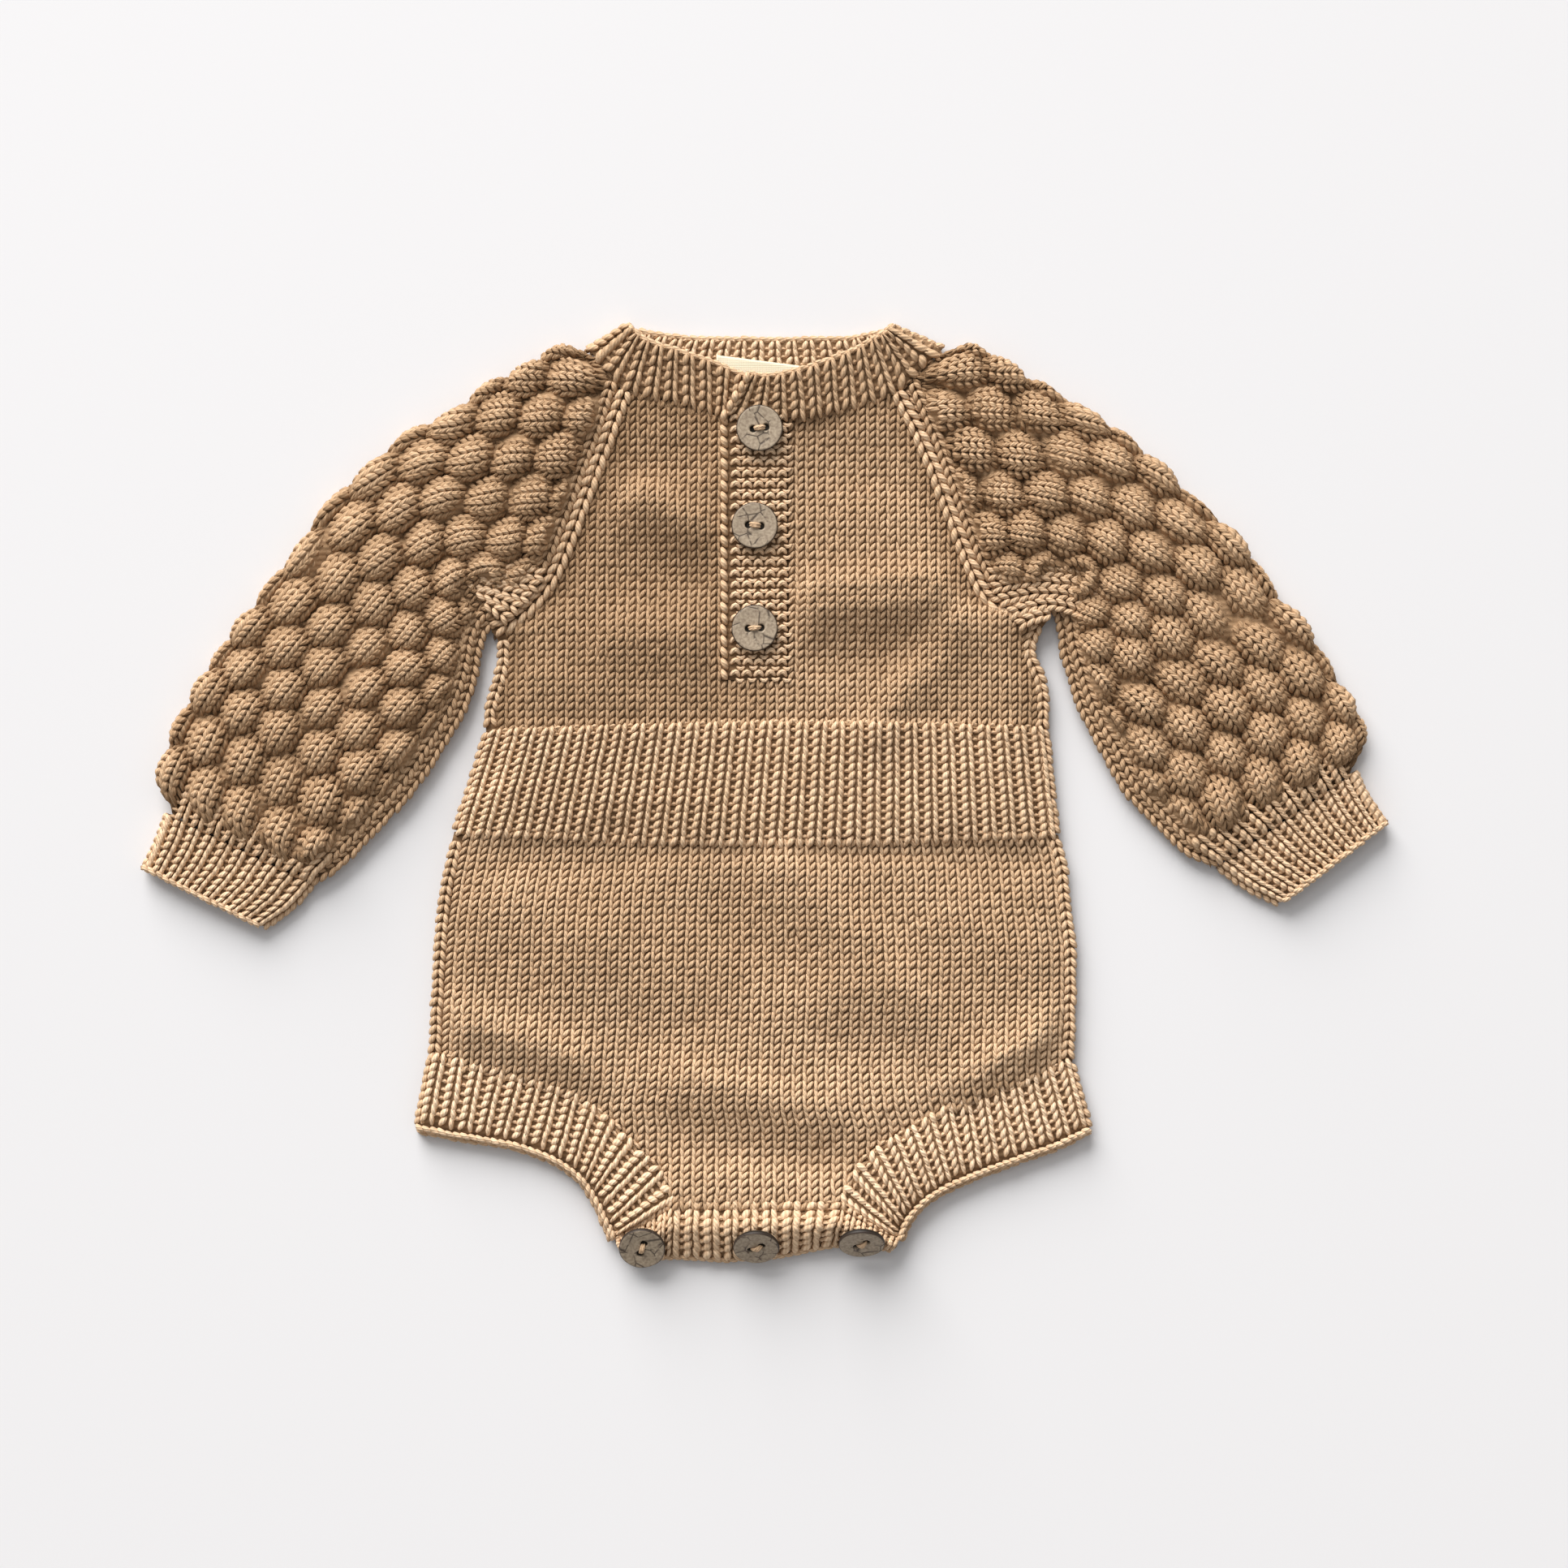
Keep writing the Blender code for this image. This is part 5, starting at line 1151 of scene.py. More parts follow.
yarn = Yarn()
rib_cloth(yarn, lap_sheet, LAP_RIBS, LAP_SIZE[0] / LAP_RIBS, 9, LAP_SIZE[1], seed=53, lift=0.2, **BACK)
crotch_back_yarn = yarn.finish("crotch_band_back_stitches")

# %% [markdown]
# ## Neckband
# One ribbed strip runs round the neck.  It turns under at each shoulder, so at
# the back its inner side looks up, and there the purl wales of the outer side
# show as knit ones.

# %% Neckband surface
neck = np.asarray(NECKBAND)
neck_middle = np.column_stack([(neck[:, 0] + neck[:, 2]) / 2, (neck[:, 1] + neck[:, 3]) / 2, neck[:, 4] * 0.8])
NECK_RUN = run_of(neck_middle)
NECK_LENGTH = NECK_RUN[-1]
NECK_RIBS = int(round(NECK_LENGTH / NECK_PITCH))
NECK_DEPTH = 17.0


def neck_point(run, v, out):
    """Point of the band at a run along it, out from its middle toward its skin."""
    q = straight(neck, np.interp(run, NECK_RUN, np.arange(len(neck))))
    up = np.asarray(v / NECK_DEPTH)[..., None]
    facing = q[..., 5]
    turned = np.sqrt(np.clip(1 - facing ** 2, 0, 1))
    outward = joined(np.sign(q[..., 0]) * 0.5 * turned, 0.86 * turned, facing)
    lean = 3.2 * up[..., 0] * ease(facing)
    mid = lifted(q[..., 2:4] * (1 - up) + q[..., :2] * up, q[..., 4] + lean)
    return mid + outward * np.asarray(out)[..., None]


def neck_sheet(u, v):
    """Skin side: u runs from the lapped end round to the end under the placket."""
    run = NECK_LENGTH - u
    wave = rib_wave(run / NECK_LENGTH * NECK_RIBS)
    return neck_point(run, v, NECK_WALL / 2 + wave * 0.9)


def neck_inner_sheet(u, v):
    """Inner side, where the other wales stand up."""
    wave = rib_wave(u / NECK_LENGTH * NECK_RIBS + 0.5)
    return neck_point(u, v, -NECK_WALL / 2 - wave * 0.7)


print(f"neckband: {NECK_LENGTH:.0f} mm round, {NECK_RIBS} ribs")

# %% Neckband: wall
u, v = np.meshgrid(np.linspace(0, NECK_LENGTH, NECK_RIBS * 6 + 1), np.linspace(0.3, NECK_DEPTH - 0.6, 7))
run = NECK_LENGTH - u
# painted shade on the wall under the ribs
neckband = cloth_wall("neckband_cloth", neck_point(run, v, np.full(run.shape, 0.35)),
                      neck_point(run, v, np.full(run.shape, -0.75)), tone=0.45)
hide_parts("neckband")

# %% [markdown]
# ### Stitches of the neckband
# The ribs stop short at the two shoulder turns, where a chain takes the bend.
# At the back the inner side shows, so its own ribs are laid there.

# %% Neckband: stitches
SHOULDERS = (9, 19)  # rows of the table at which the band turns under
NECK_ROWS = 5
pitch = NECK_LENGTH / NECK_RIBS
yarn = Yarn()
# painted shade: the outer ribs are darkened a little
rib_cloth(yarn, neck_sheet, NECK_RIBS, pitch, NECK_ROWS, NECK_DEPTH - 0.8, seed=61, low=-0.4,
          skip=lambda u: np.abs(np.interp(NECK_LENGTH - u, NECK_RUN, neck[:, 5])) < 0.4, dim=0.88)
for shoulder in SHOULDERS:
    line = neck_point(np.full(20, NECK_RUN[shoulder]), np.linspace(0, NECK_DEPTH, 20), np.full(20, -0.9))
    chain(yarn, line, size=(3.4, 3.9), seed=66)
first = int(math.ceil(NECK_RUN[SHOULDERS[0]] / pitch))
count = int(math.floor(NECK_RUN[SHOULDERS[1]] / pitch)) - first
# painted light: the inner ribs are lightened a little
rib_cloth(yarn, neck_inner_sheet, count, pitch, NECK_ROWS, NECK_DEPTH - 1.6, seed=63, start=(first + 0.5) * pitch,
          dim=1.12)
along = NECK_LENGTH - np.linspace(0.5, NECK_LENGTH - 0.5, 240)
edge = neck_point(along, np.full(240, NECK_DEPTH - 0.4), np.zeros(240))
chain(yarn, edge, ROPE, size=(2.2, 3.4), seed=64, lift=0.5, normal=(0, 0, 1))
lap_end = neck_point(np.full(20, NECK_LENGTH - 0.6), np.linspace(-2, NECK_DEPTH - 0.5, 20), np.full(20, 2.0))
chain(yarn, lap_end, SLIPPED_LEG, size=(3.0, 4.2), seed=65, lift=0.6)
neckband_yarn = yarn.finish("neckband_stitches")

# %% [markdown]
# ## Placket
# Garter stitch has a ridge for every two rows.  Each ridge is a line of small
# arcs that hook over and under each other.  The band's left edge is a chain of
# slipped stitches, and the plain button band lies under it.

# %% Placket: form


def placket_sheet(level):
    """Flat surface of a placket band at a level, over plan points."""
    def surface(x, y):
        """The plan point at the band's level."""
        return lifted(joined(x, y), level)
    return surface


def flat_wall(name, corners, low, top, columns=8, rows=24):
    """Closed flat wall over a rectangle."""
    left, right, foot, end = corners
    x, y = np.meshgrid(np.linspace(left, right, columns), np.linspace(foot, end, rows))
    plan = joined(x, y)
    return cloth_wall(name, lifted(plan, top), lifted(plan, low))


print("ridges on the placket:", int(round((TOP - FOOT) / RIDGE_PITCH)))

# %% Placket: buttonhole band
buttonhole_band = flat_wall("placket_buttonhole_cloth", PLACKET, TOP_BAND_Z[0], TOP_BAND_Z[1] - 1.2)
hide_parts("placket_buttonhole_band")
yarn = Yarn()
u, v = lattice(LEFT + 3.2, RIGHT + 0.2, FOOT, TOP + 2.0, wale=RIDGE_WALE, row=RIDGE_PITCH)
# painted light: the ridges are lightened a little
knit(yarn, placket_sheet(TOP_BAND_Z[1]), u, v, RIDGE_LEGS, size=(RIDGE_WALE, RIDGE_PITCH), seed=71, sides=6, dim=1.12)
edge = joined(np.full(60, LEFT + 1.1), np.linspace(FOOT, TOP + 2, 60), np.full(60, TOP_BAND_Z[1] - 0.1))
chain(yarn, edge, SLIPPED_LEG, size=(3.2, RIDGE_PITCH), seed=72, lift=0.2)
buttonhole_yarn = yarn.finish("placket_buttonhole_stitches")

# %% Placket: button band
button_band = flat_wall("placket_button_cloth", PLACKET, UNDER_BAND_Z[0], UNDER_BAND_Z[1] - 0.8)
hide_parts("placket_button_band")
yarn = Yarn()
u, v = lattice(LEFT, RIGHT, FOOT, TOP, wale=RIDGE_WALE, row=RIDGE_PITCH)
knit(yarn, placket_sheet(UNDER_BAND_Z[1]), u, v, RIDGE_LEGS, size=(RIDGE_WALE, RIDGE_PITCH), seed=73, lift=-0.35,
     **BACK)
button_band_yarn = yarn.finish("placket_button_stitches")

# %% [markdown]
# ## Sleeves
# Each sleeve is one sheet folded along its outer edge.  Stitches are dropped
# four rows and caught again, and the cloth between two catches puffs out.  A
# displacement texture could raise the bubbles, but domes keep the creases
# between them sharp.

# %% Folded sheets: their lines


def folded_frame(table, inset, off):
    """Lines of a folded sheet over the distance v from its lower end."""
    table = np.asarray(table)
    middle = (table[:, :2] + table[:, 2:4]) / 2
    t = evenly(middle, 160)
    p = through(table, t)
    inner = shifted(p[:, 2:4], off)
    outer = p[:, :2]
    way = inner - outer
    way /= np.linalg.norm(way, axis=1, keepdims=True)
    outer = outer + way * inset
    width = np.linalg.norm(inner - outer, axis=1)
    run = run_of(through(middle, t))
    return np.column_stack([run[-1] - run, outer, way, width])[::-1]


print("lines and stations:", folded_frame(LEFT_SLEEVE, SCALLOP_INSET, -CURVE_SEAM).T.shape)

# %% [markdown]
# ### Round the fold
# The cloth runs over the top, round the fold and back underneath.  A modifier
# could bend a flat mesh, but a function also says which way is outward.

# %% Folded sheets: their surface


def folded_sheet(lines, drape, hollow, mirror, arc):
    """Surface of a folded sheet.

    u is measured round it from the top of the fold: over the top where it is
    positive, round the fold down to -pi * arc, and along the underside below
    that; arc is the radius of the skin over the fold.
    mirror is -1 where u has to run the other way to keep the outside outward.
    """
    def base(u, v):
        """Point, outward direction, distance from the fold, width and angle round it."""
        u = u * mirror
        ox, oy, dx, dy, wide = (np.interp(v, lines[:, 0], lines[:, k]) for k in range(1, 6))
        angle = np.clip(-u / arc, 0, np.pi)
        past = np.maximum(-u - np.pi * arc, 0)
        w = np.where(u > 0, FOLD_RADIUS + u, FOLD_RADIUS - FOLD_RADIUS * np.sin(angle) + past)
        low = WALL + drape * ease((wide - w) / 18) * ease(w / 10)
        near_fold = ease((w - FOLD_RADIUS) / 9)
        near_edge = ease((wide - w) / 8)
        under = low + SEAM + hollow(w, wide)
        under = (FOLD_RADIUS + FOLD_HOLLOW) * (1 - near_fold) + under * near_fold
        under = FRONT_Z * (1 - near_edge) + under * near_edge
        top = under + WALL * (0.8 + 0.2 * ease((wide - w) / 2.6))
        z = np.where(u > 0, top, FOLD_RADIUS + FOLD_RADIUS * np.cos(angle))
        point = joined(ox + dx * w, oy + dy * w, z)
        out = joined(-np.sin(angle) * dx, -np.sin(angle) * dy, np.cos(angle))
        return point, out, w, wide, angle

    return base


def sleeve_hollow(w, wide):
    """Air in a sleeve: little at its sides, most in its middle."""
    return 0.3 + 2.0 * ease(w / 26) * ease((wide - w) / 22)


def cuff_hollow(w, wide):
    """Air in a cuff."""
    return 0.4 + 0.9 * ease(w / 14) * ease((wide - w) / 14)


print(f"air in a sleeve: {sleeve_hollow(40.0, 80.0):.1f} mm, in a cuff: {cuff_hollow(30.0, 60.0):.1f} mm")

# %% [markdown]
# ### Bubbles
# Every second row of bubbles is set off by half a pitch, like bricks.  A place
# takes the height of whichever dome is highest there, which makes the sharp
# creases.

# %% Domes


def dome(across, along):
    """Height 0 to 1 of a bubble: an ellipsoid over its half width and length."""
    reach = (across / BUBBLE_HALF_WIDTH) ** 2 + (along / BUBBLE_HALF_LENGTH) ** 2
    return np.clip(1 - reach, 0, 1) ** 0.62


def bubble_field(across, along, start, last):
    """Highest dome at a place; each row of bubbles is set off by half a pitch.

    Rows are counted from 0 at the cuff to the last one at the shoulder.
    """
    best = np.zeros(np.broadcast(across, along).shape)
    for step in (-1, 0, 1):
        row = np.floor(along) + step
        sideways = across - start - 0.5 * (row % 2)
        counted = (row >= 0) & (row <= last)
        best = np.maximum(best, counted * dome(sideways - np.round(sideways), along - row - 0.5))
    return best


print(f"height of a dome half way out: {float(dome(BUBBLE_HALF_WIDTH / 2, 0.0)):.2f}")

# %% [markdown]
# ### The form of a sleeve
# The relief fades out at the seams, the ends, the armpit and the underside.
# The wall and every kind of stitch ask one form for their places.

# %% Form of a sleeve
SLEEVE_DRAPE = 1.4  # how much higher the lower layer stands in its middle
SLEEVE_REACH = 92.0  # widest stretch of stitches from the fold
BUBBLE_STITCH = (4.0, 3.3)  # width and height of a stitch on a bubble
UNDER_STITCH = (4.5, 3.6)  # the same on the underside


class SleeveForm:
    """One sleeve: its folded sheet and the relief of its bubbles."""

    def __init__(self, table, off, start, rows_at, mirror):
        self.lines = folded_frame(table, SCALLOP_INSET, off)
        self.base = folded_sheet(self.lines, SLEEVE_DRAPE, sleeve_hollow, mirror, SKIN_ARC)
        self.length = self.lines[-1, 0]
        self.counts = np.transpose(rows_at)
        self.last = int(self.counts[1][-1] - 0.5)
        self.start, self.mirror = start, mirror
        t = np.linspace(0, len(table) - 1, 400)
        run = run_of(through((np.array(table)[:, :2] + np.array(table)[:, 2:]) / 2, t))
        self.armpit = run[-1] - np.interp(UNDERARM_ROW, t, run)

    def width(self, v):
        """Distance from the fold to the inner edge."""
        return np.interp(v, self.lines[:, 0], self.lines[:, 5])

    def gusset(self, v, inset):
        """1 on the plain stitches over the armpit, 0 away from them."""
        return ease((24 - inset) / 7) * ease((v - self.armpit + 4) / 6) * ease((self.armpit + 19 - v) / 7)

    def pitch(self, v):
        """Bubble pitch, drawn in toward the cuff."""
        return BUBBLE_ACROSS * (1 - BUBBLE_GATHER * ease((20 - v) / 20))

    def strength(self, v, w, wide, angle):
        """Share of the relief left: none at the seams, the ends or the underside."""
        plain = ease((wide - w - PLAIN_EDGE * 0.45) / PLAIN_EDGE)
        round_fold = ease((0.72 * np.pi - angle) / (0.5 * np.pi)) * (1 - self.gusset(v, wide - w))
        return plain * ease(np.minimum(v + 1, self.length - v) / 6) * round_fold

    def highest(self, u, v):
        """Height 0 to 1 of the highest bubble, u counted from the top of the fold."""
        return bubble_field((u + FOLD_RADIUS) / self.pitch(v), np.interp(v, *self.counts), self.start, self.last)

    def skin(self, u, v, high=0.88 * BUBBLE_HIGH):
        """The base plus the highest bubble, a little lower than the stitches lie."""
        point, out, w, wide, angle = self.base(u, v)
        field = self.highest(u * self.mirror, v)
        return point + out * ((high * field - VALLEY_DEEP) * self.strength(v, w, wide, angle))[..., None]

    def valley_skin(self, u, v):
        """The level between the bubbles."""
        return self.skin(u, v, 0.0)

    def bubble_skin(self, u, v, cu, cv, row_length, wide_by, tall):
        """The base plus one bubble whose centre is at cu, cv."""
        point, out, w, wide, angle = self.base(u, v)
        high = tall * dome((u - cu) / (self.pitch(cv) * wide_by), (v - cv) / row_length)
        return point + out * ((BUBBLE_HIGH * high - VALLEY_DEEP) * self.strength(v, w, wide, angle))[..., None]

    def underside(self, u, v):
        """Skin of the layer that looks down."""
        return self.base(u, v)[0] + (0, 0, UNDERSIDE)


left_form = SleeveForm(LEFT_SLEEVE, -CURVE_SEAM, LEFT_START, LEFT_BUBBLE_ROWS, 1)
right_form = SleeveForm(RIGHT_SLEEVE, CURVE_SEAM, RIGHT_START, RIGHT_BUBBLE_ROWS, -1)
print(f"sleeves: {left_form.length:.0f} and {right_form.length:.0f} mm long")

# %% [markdown]
# ### Wall of a sleeve
# The wall goes round from the inner edge of the underside to that of the top.
# Its hollows between the bubbles are darker, as light hardly gets there.

# %% Wall of a sleeve
SLEEVE_STATIONS = 90


def sleeve_wall(name, form):
    """Wall under a sleeve's stitches: outer grid under the skin, inner grid plain."""
    span = form.width(np.linspace(0, form.length, SLEEVE_STATIONS))[:, None] - FOLD_RADIUS
    low_u = np.linspace(-1, 0, 8)[:-1] * span - np.pi * SKIN_ARC
    fold_u = np.broadcast_to(np.linspace(-np.pi * SKIN_ARC, 0, 13)[1:-1], (SLEEVE_STATIONS, 11))
    u = np.concatenate([low_u, fold_u, np.linspace(0, 1, 44) * span], axis=1) * form.mirror
    v = np.broadcast_to(np.linspace(0.4, form.length - 0.4, SLEEVE_STATIONS)[:, None], u.shape)
    if form.mirror < 0:
        u, v = u[:, ::-1], v[:, ::-1]
    point, out = form.base(u, v)[:2]
    tone = 0.30 + 0.30 * ease(form.highest(u * form.mirror, v) / 0.5)
    wall = cloth_wall(name + "_cloth", form.skin(u, v) - out * 1.25, point - out * 2.0, tone=tone)
    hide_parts(name)
    return wall


# %% [markdown]
# ### Where the bubbles sit
# Hand knitting is never quite even, so each bubble is moved, widened and raised
# a little by chance.

# %% Places of the bubbles


def bubble_places(form, seed):
    """Centre, length, width and height of each bubble, row by row from the cuff."""
    rng = np.random.default_rng(seed)
    places = []
    for number in range(form.last + 1):
        cv = float(np.interp(number + 0.5, form.counts[1], form.counts[0]))
        ends = np.interp([cv - 0.1, cv + 0.1], *form.counts)
        row_length = 0.2 / max(ends[1] - ends[0], 1e-6)
        wide = form.width(cv)
        step = float(form.pitch(cv))
        n = np.arange(-2, int(wide / step) + 2)
        cu = (form.start + 0.5 * (number % 2) + n) * step - FOLD_RADIUS
        fits = (cu > -0.75 * np.pi * SKIN_ARC) & (cu < wide - FOLD_RADIUS - 2)
        places.append(np.stack([cu[fits], np.full(fits.sum(), cv), np.full(fits.sum(), row_length)]))
    cu, cv, row_length = np.concatenate(places, axis=1)
    cu = cu + rng.normal(0, 0.45, len(cu))
    cv = cv + rng.normal(0, 0.45, len(cu))
    wide_by = np.clip(1 + rng.normal(0, 0.05, len(cu)), 0.9, 1.1)
    tall = np.clip(0.96 + rng.normal(0, 0.08, len(cu)), 0.8, 1.1)
    return cu, cv, row_length, wide_by, tall


print("bubbles on the left sleeve:", len(bubble_places(left_form, 81)[0]))

# %% [markdown]
# ### Stitches on the bubbles
# Four wales of seven rows lie on each dome and draw together at its ends.
# Where two domes overlap only the higher one keeps its stitches.

# %% Stitches on the bubbles
BUBBLE_WALES = (-0.375, -0.125, 0.125, 0.375)
BUBBLE_ROWS = 7


def bubble_stitches(yarn, form, places, seed):
    """Lay the stitches of all bubbles and return where they lie, u from the top of the fold."""
    cu, cv, row_length, wide_by, tall = (k[:, None] for k in places)
    wales, rows = np.meshgrid(BUBBLE_WALES, (np.arange(BUBBLE_ROWS) - BUBBLE_ROWS // 2) / BUBBLE_ROWS)
    wales, rows = wales.ravel(), rows.ravel()
    draw_in = 1 - 0.45 * np.abs(2 * rows) ** 2.2
    beside = wales * draw_in * (form.pitch(cv) * wide_by) * 0.99
    beyond = rows * 2 * BUBBLE_HALF_LENGTH * row_length * 0.97
    # toward the shoulder the wales lean over to the body
    lean = 0.04 + 0.34 * ease((cv - 80) / 100)
    u = cu + beside * np.cos(lean) + beyond * np.sin(lean)
    v = cv + beyond * np.cos(lean) - beside * np.sin(lean)
    cu, cv, row_length, wide_by, tall, lean = (
        np.broadcast_to(k, u.shape).ravel() for k in (cu, cv, row_length, wide_by, tall, lean))
    u, v = u.ravel(), v.ravel()
    own = dome((u - cu) / (form.pitch(cv) * wide_by), (v - cv) / row_length)
    wide = form.width(v)
    shown = (own > form.highest(u, v) - 0.2) & (v > 0) & (v < form.length - 0.5) & (u < wide - FOLD_RADIUS - 9)
    shown &= (u > -0.85 * np.pi * SKIN_ARC) & (form.gusset(v, wide - FOLD_RADIUS - u) < 0.5)
    extra = (cu[shown] * form.mirror, cv[shown], row_length[shown], wide_by[shown], tall[shown])
    # painted shade: stitches low on a dome, near the creases, are darker
    knit(yarn, form.bubble_skin, u[shown] * form.mirror, v[shown], BUBBLE_LEGS, size=BUBBLE_STITCH, seed=seed,
         extra=extra, spin=lean[shown] * form.mirror, dim=0.34 + 0.55 * own[shown])
    return u[shown], v[shown]


# %% [markdown]
# ### Stitches between the bubbles
# Plain stitches fill whatever the bubbles leave free: the valleys, the
# shoulder, the armpit, the seam's side and the underside.

# %% Stitches between the bubbles


def gap_stitches(yarn, form, bubble_u, bubble_v, seed):
    """Plain stitches wherever no stitch of a bubble is near."""
    wale, row = BUBBLE_STITCH
    u, v = lattice(-0.5 * np.pi * SKIN_ARC, SLEEVE_REACH, 3.0, form.length, wale=wale, row=row)
    inset = form.width(v) - FOLD_RADIUS - u
    gap = np.hypot((u[:, None] - bubble_u) / wale, (v[:, None] - bubble_v) / row).min(axis=1)
    bare = (inset > 8.5) & (gap > 0.68)
    # painted shade: the stitches in the valleys are darker
    knit(yarn, form.skin, u[bare] * form.mirror, v[bare], PLAIN_LEGS, seed=seed + 3, dim=0.52)


def armpit_stitches(yarn, wales, seed):
    """A soft fold of plain wales that hangs over the armpit."""
    for number, wale in enumerate(wales):
        t = np.linspace(0, len(wale) - 1, 30)
        level = 7.6 + 0.9 * np.sin(np.pi * t / t[-1]) + 0.25 * number
        chain(yarn, lifted(through(wale, t), level), size=(4.7, 3.8), seed=seed + 6 + number)


def side_stitches(yarn, form, seed):
    """Plain columns beside the seam, and plain cloth along the underside."""
    for inset, wale, lift in ((1.8, 4.8, 0.3), (6.0, 4.6, 0.7), (10.2, 4.5, 0.7)):
        v = np.linspace(0.5, (form.length - 1) if inset < 8 else (form.armpit - 4), 140)
        u = form.width(v) - FOLD_RADIUS - inset
        # painted shade: the columns beside the seam are a little darker
        chain(yarn, form.valley_skin(u * form.mirror, v), size=(wale, 3.6), seed=seed + 1, lift=lift, dim=0.80)
    u, v = lattice(0, SLEEVE_REACH, 1, form.length - 1, wale=UNDER_STITCH[0], row=UNDER_STITCH[1])
    under = u < form.width(v) - FOLD_RADIUS - 3.5
    u_low = -np.pi * SKIN_ARC - u[under]
    knit(yarn, form.underside, u_low * form.mirror, v[under], PLAIN_LEGS, size=UNDER_STITCH, seed=seed + 2,
         lift=0.35, **BACK)


# %% Both sleeves


def sleeve(name, form, armpit_fold, seed):
    """A sleeve's wall and its stitches."""
    wall = sleeve_wall(name, form)
    yarn = Yarn()
    bubble_u, bubble_v = bubble_stitches(yarn, form, bubble_places(form, seed), seed)
    gap_stitches(yarn, form, bubble_u, bubble_v, seed)
    armpit_stitches(yarn, armpit_fold, seed)
    side_stitches(yarn, form, seed)
    print(name, "stitches on bubbles:", len(bubble_u))
    return wall, yarn.finish(name + "_stitches")


sleeve_left = sleeve("sleeve_left", left_form, LEFT_ARMPIT, 81)
sleeve_right = sleeve("sleeve_right", right_form, RIGHT_ARMPIT, 85)

# %% [markdown]
# ## Cuffs
# A cuff is a ribbed strip, folded like its sleeve, whose ribs run on a little
# way under the first bubbles.  It is bound off at the wrist.

# %% Form of a cuff
CUFF_ROW = 3.3


class CuffForm:
    """One cuff: its folded sheet with the ribs raised."""

    def __init__(self, table, mirror):
        self.lines = folded_frame(table, CUFF_INSET, 0.0)
        self.base = folded_sheet(self.lines, 0.0, cuff_hollow, mirror, FOLD_RADIUS)
        self.mirror = mirror
        self.length = self.lines[-1, 0]
        self.ribs = int(round((self.lines[:, 5].mean()) / CUFF_PITCH))
        self.rows = int(round(self.length / CUFF_ROW))

    def place(self, a, v):
        """u at a rib count a, from the top of the fold to the inner edge."""
        span = np.interp(v, self.lines[:, 0], self.lines[:, 5]) - FOLD_RADIUS
        return a / self.ribs * span

    def skin(self, a, v):
        """Surface in millimetres of ribs across and millimetres up, with the ribs raised."""
        a = a / CUFF_PITCH
        point, out = self.base(self.place(a, v), v)[:2]
        wave = rib_wave(a * self.mirror) * ease((a * self.mirror + 2.2) / 0.8)
        return point + out * (RIB_RELIEF * wave)[..., None]

    def underside(self, a, v):
        """Skin of the layer that looks down."""
        return self.skin(a, v) + (0, 0, UNDERSIDE)

    def beyond(self, a, v):
        """The cuff carried on past its end, climbing onto the sleeve."""
        end = np.full(np.shape(v), self.length)
        step = self.skin(a, end) - self.skin(a, end - 1)
        past = np.maximum(v - self.length, 0)[..., None]
        climb = 2.0 * ease(past[..., 0] / 3) * ease((a * self.mirror / CUFF_PITCH + 0.5) / 2)
        return self.skin(a, np.minimum(v, self.length)) + past * step + np.array([0, 0, 1]) * climb[..., None]


left_cuff, right_cuff = CuffForm(LEFT_CUFF, 1), CuffForm(RIGHT_CUFF, -1)
print("ribs across the cuffs:", left_cuff.ribs, right_cuff.ribs, "rows:", left_cuff.rows, right_cuff.rows)

# %% Wall of a cuff


def cuff_wall(name, form):
    """Wall from the inner edge of the underside round to that of the top."""
    low = -(form.ribs + np.pi * FOLD_RADIUS / CUFF_PITCH)
    a = np.concatenate([np.linspace(low, -1.6, 8), np.arange(-1.4, form.ribs + 0.01, 0.2)])
    a = a * CUFF_PITCH * form.mirror
    a = a if form.mirror > 0 else a[::-1]
    a, v = np.meshgrid(a, np.linspace(0.3, form.length - 0.3, 7))
    point, out = form.base(form.place(a / CUFF_PITCH, v), v)[:2]
    # painted shade on the wall under the ribs
    wall = cloth_wall(name + "_cloth", form.skin(a, v) - out * 1.25, point - out * 2.0, tone=0.5)
    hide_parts(name)
    return wall


# %% [markdown]
# ### Stitches of a cuff
# The top has whole ribs, the hidden underside plainer ones.  A chain closes
# the inner side, and a rope of bound-off loops the wrist.

# %% Stitches of a cuff


def cuff_ribs(yarn, form, seed):
    """Ribs over the top of the cuff, and the bars between them."""
    rows, mirror = form.rows, form.mirror
    size = (CUFF_PITCH, form.length / rows)
    a, v = np.meshgrid((np.arange(-1, form.ribs) + 0.5) * CUFF_PITCH, (np.arange(rows) + 0.5) * form.length / rows)
    # painted light: the ribs' stitches are lightened
    knit(yarn, form.skin, a * mirror, v, RIB_LEGS, size=size, seed=seed, dim=1.12)
    a, v = np.meshgrid(np.arange(-1, form.ribs) * CUFF_PITCH, (np.arange(rows) + 1) * form.length / rows)
    # painted shade: the bars between the ribs are darker
    knit(yarn, form.skin, a * mirror, v, PURL_BAR, size=(CUFF_PITCH * 0.34, ROW), seed=seed + 1, dim=0.85)


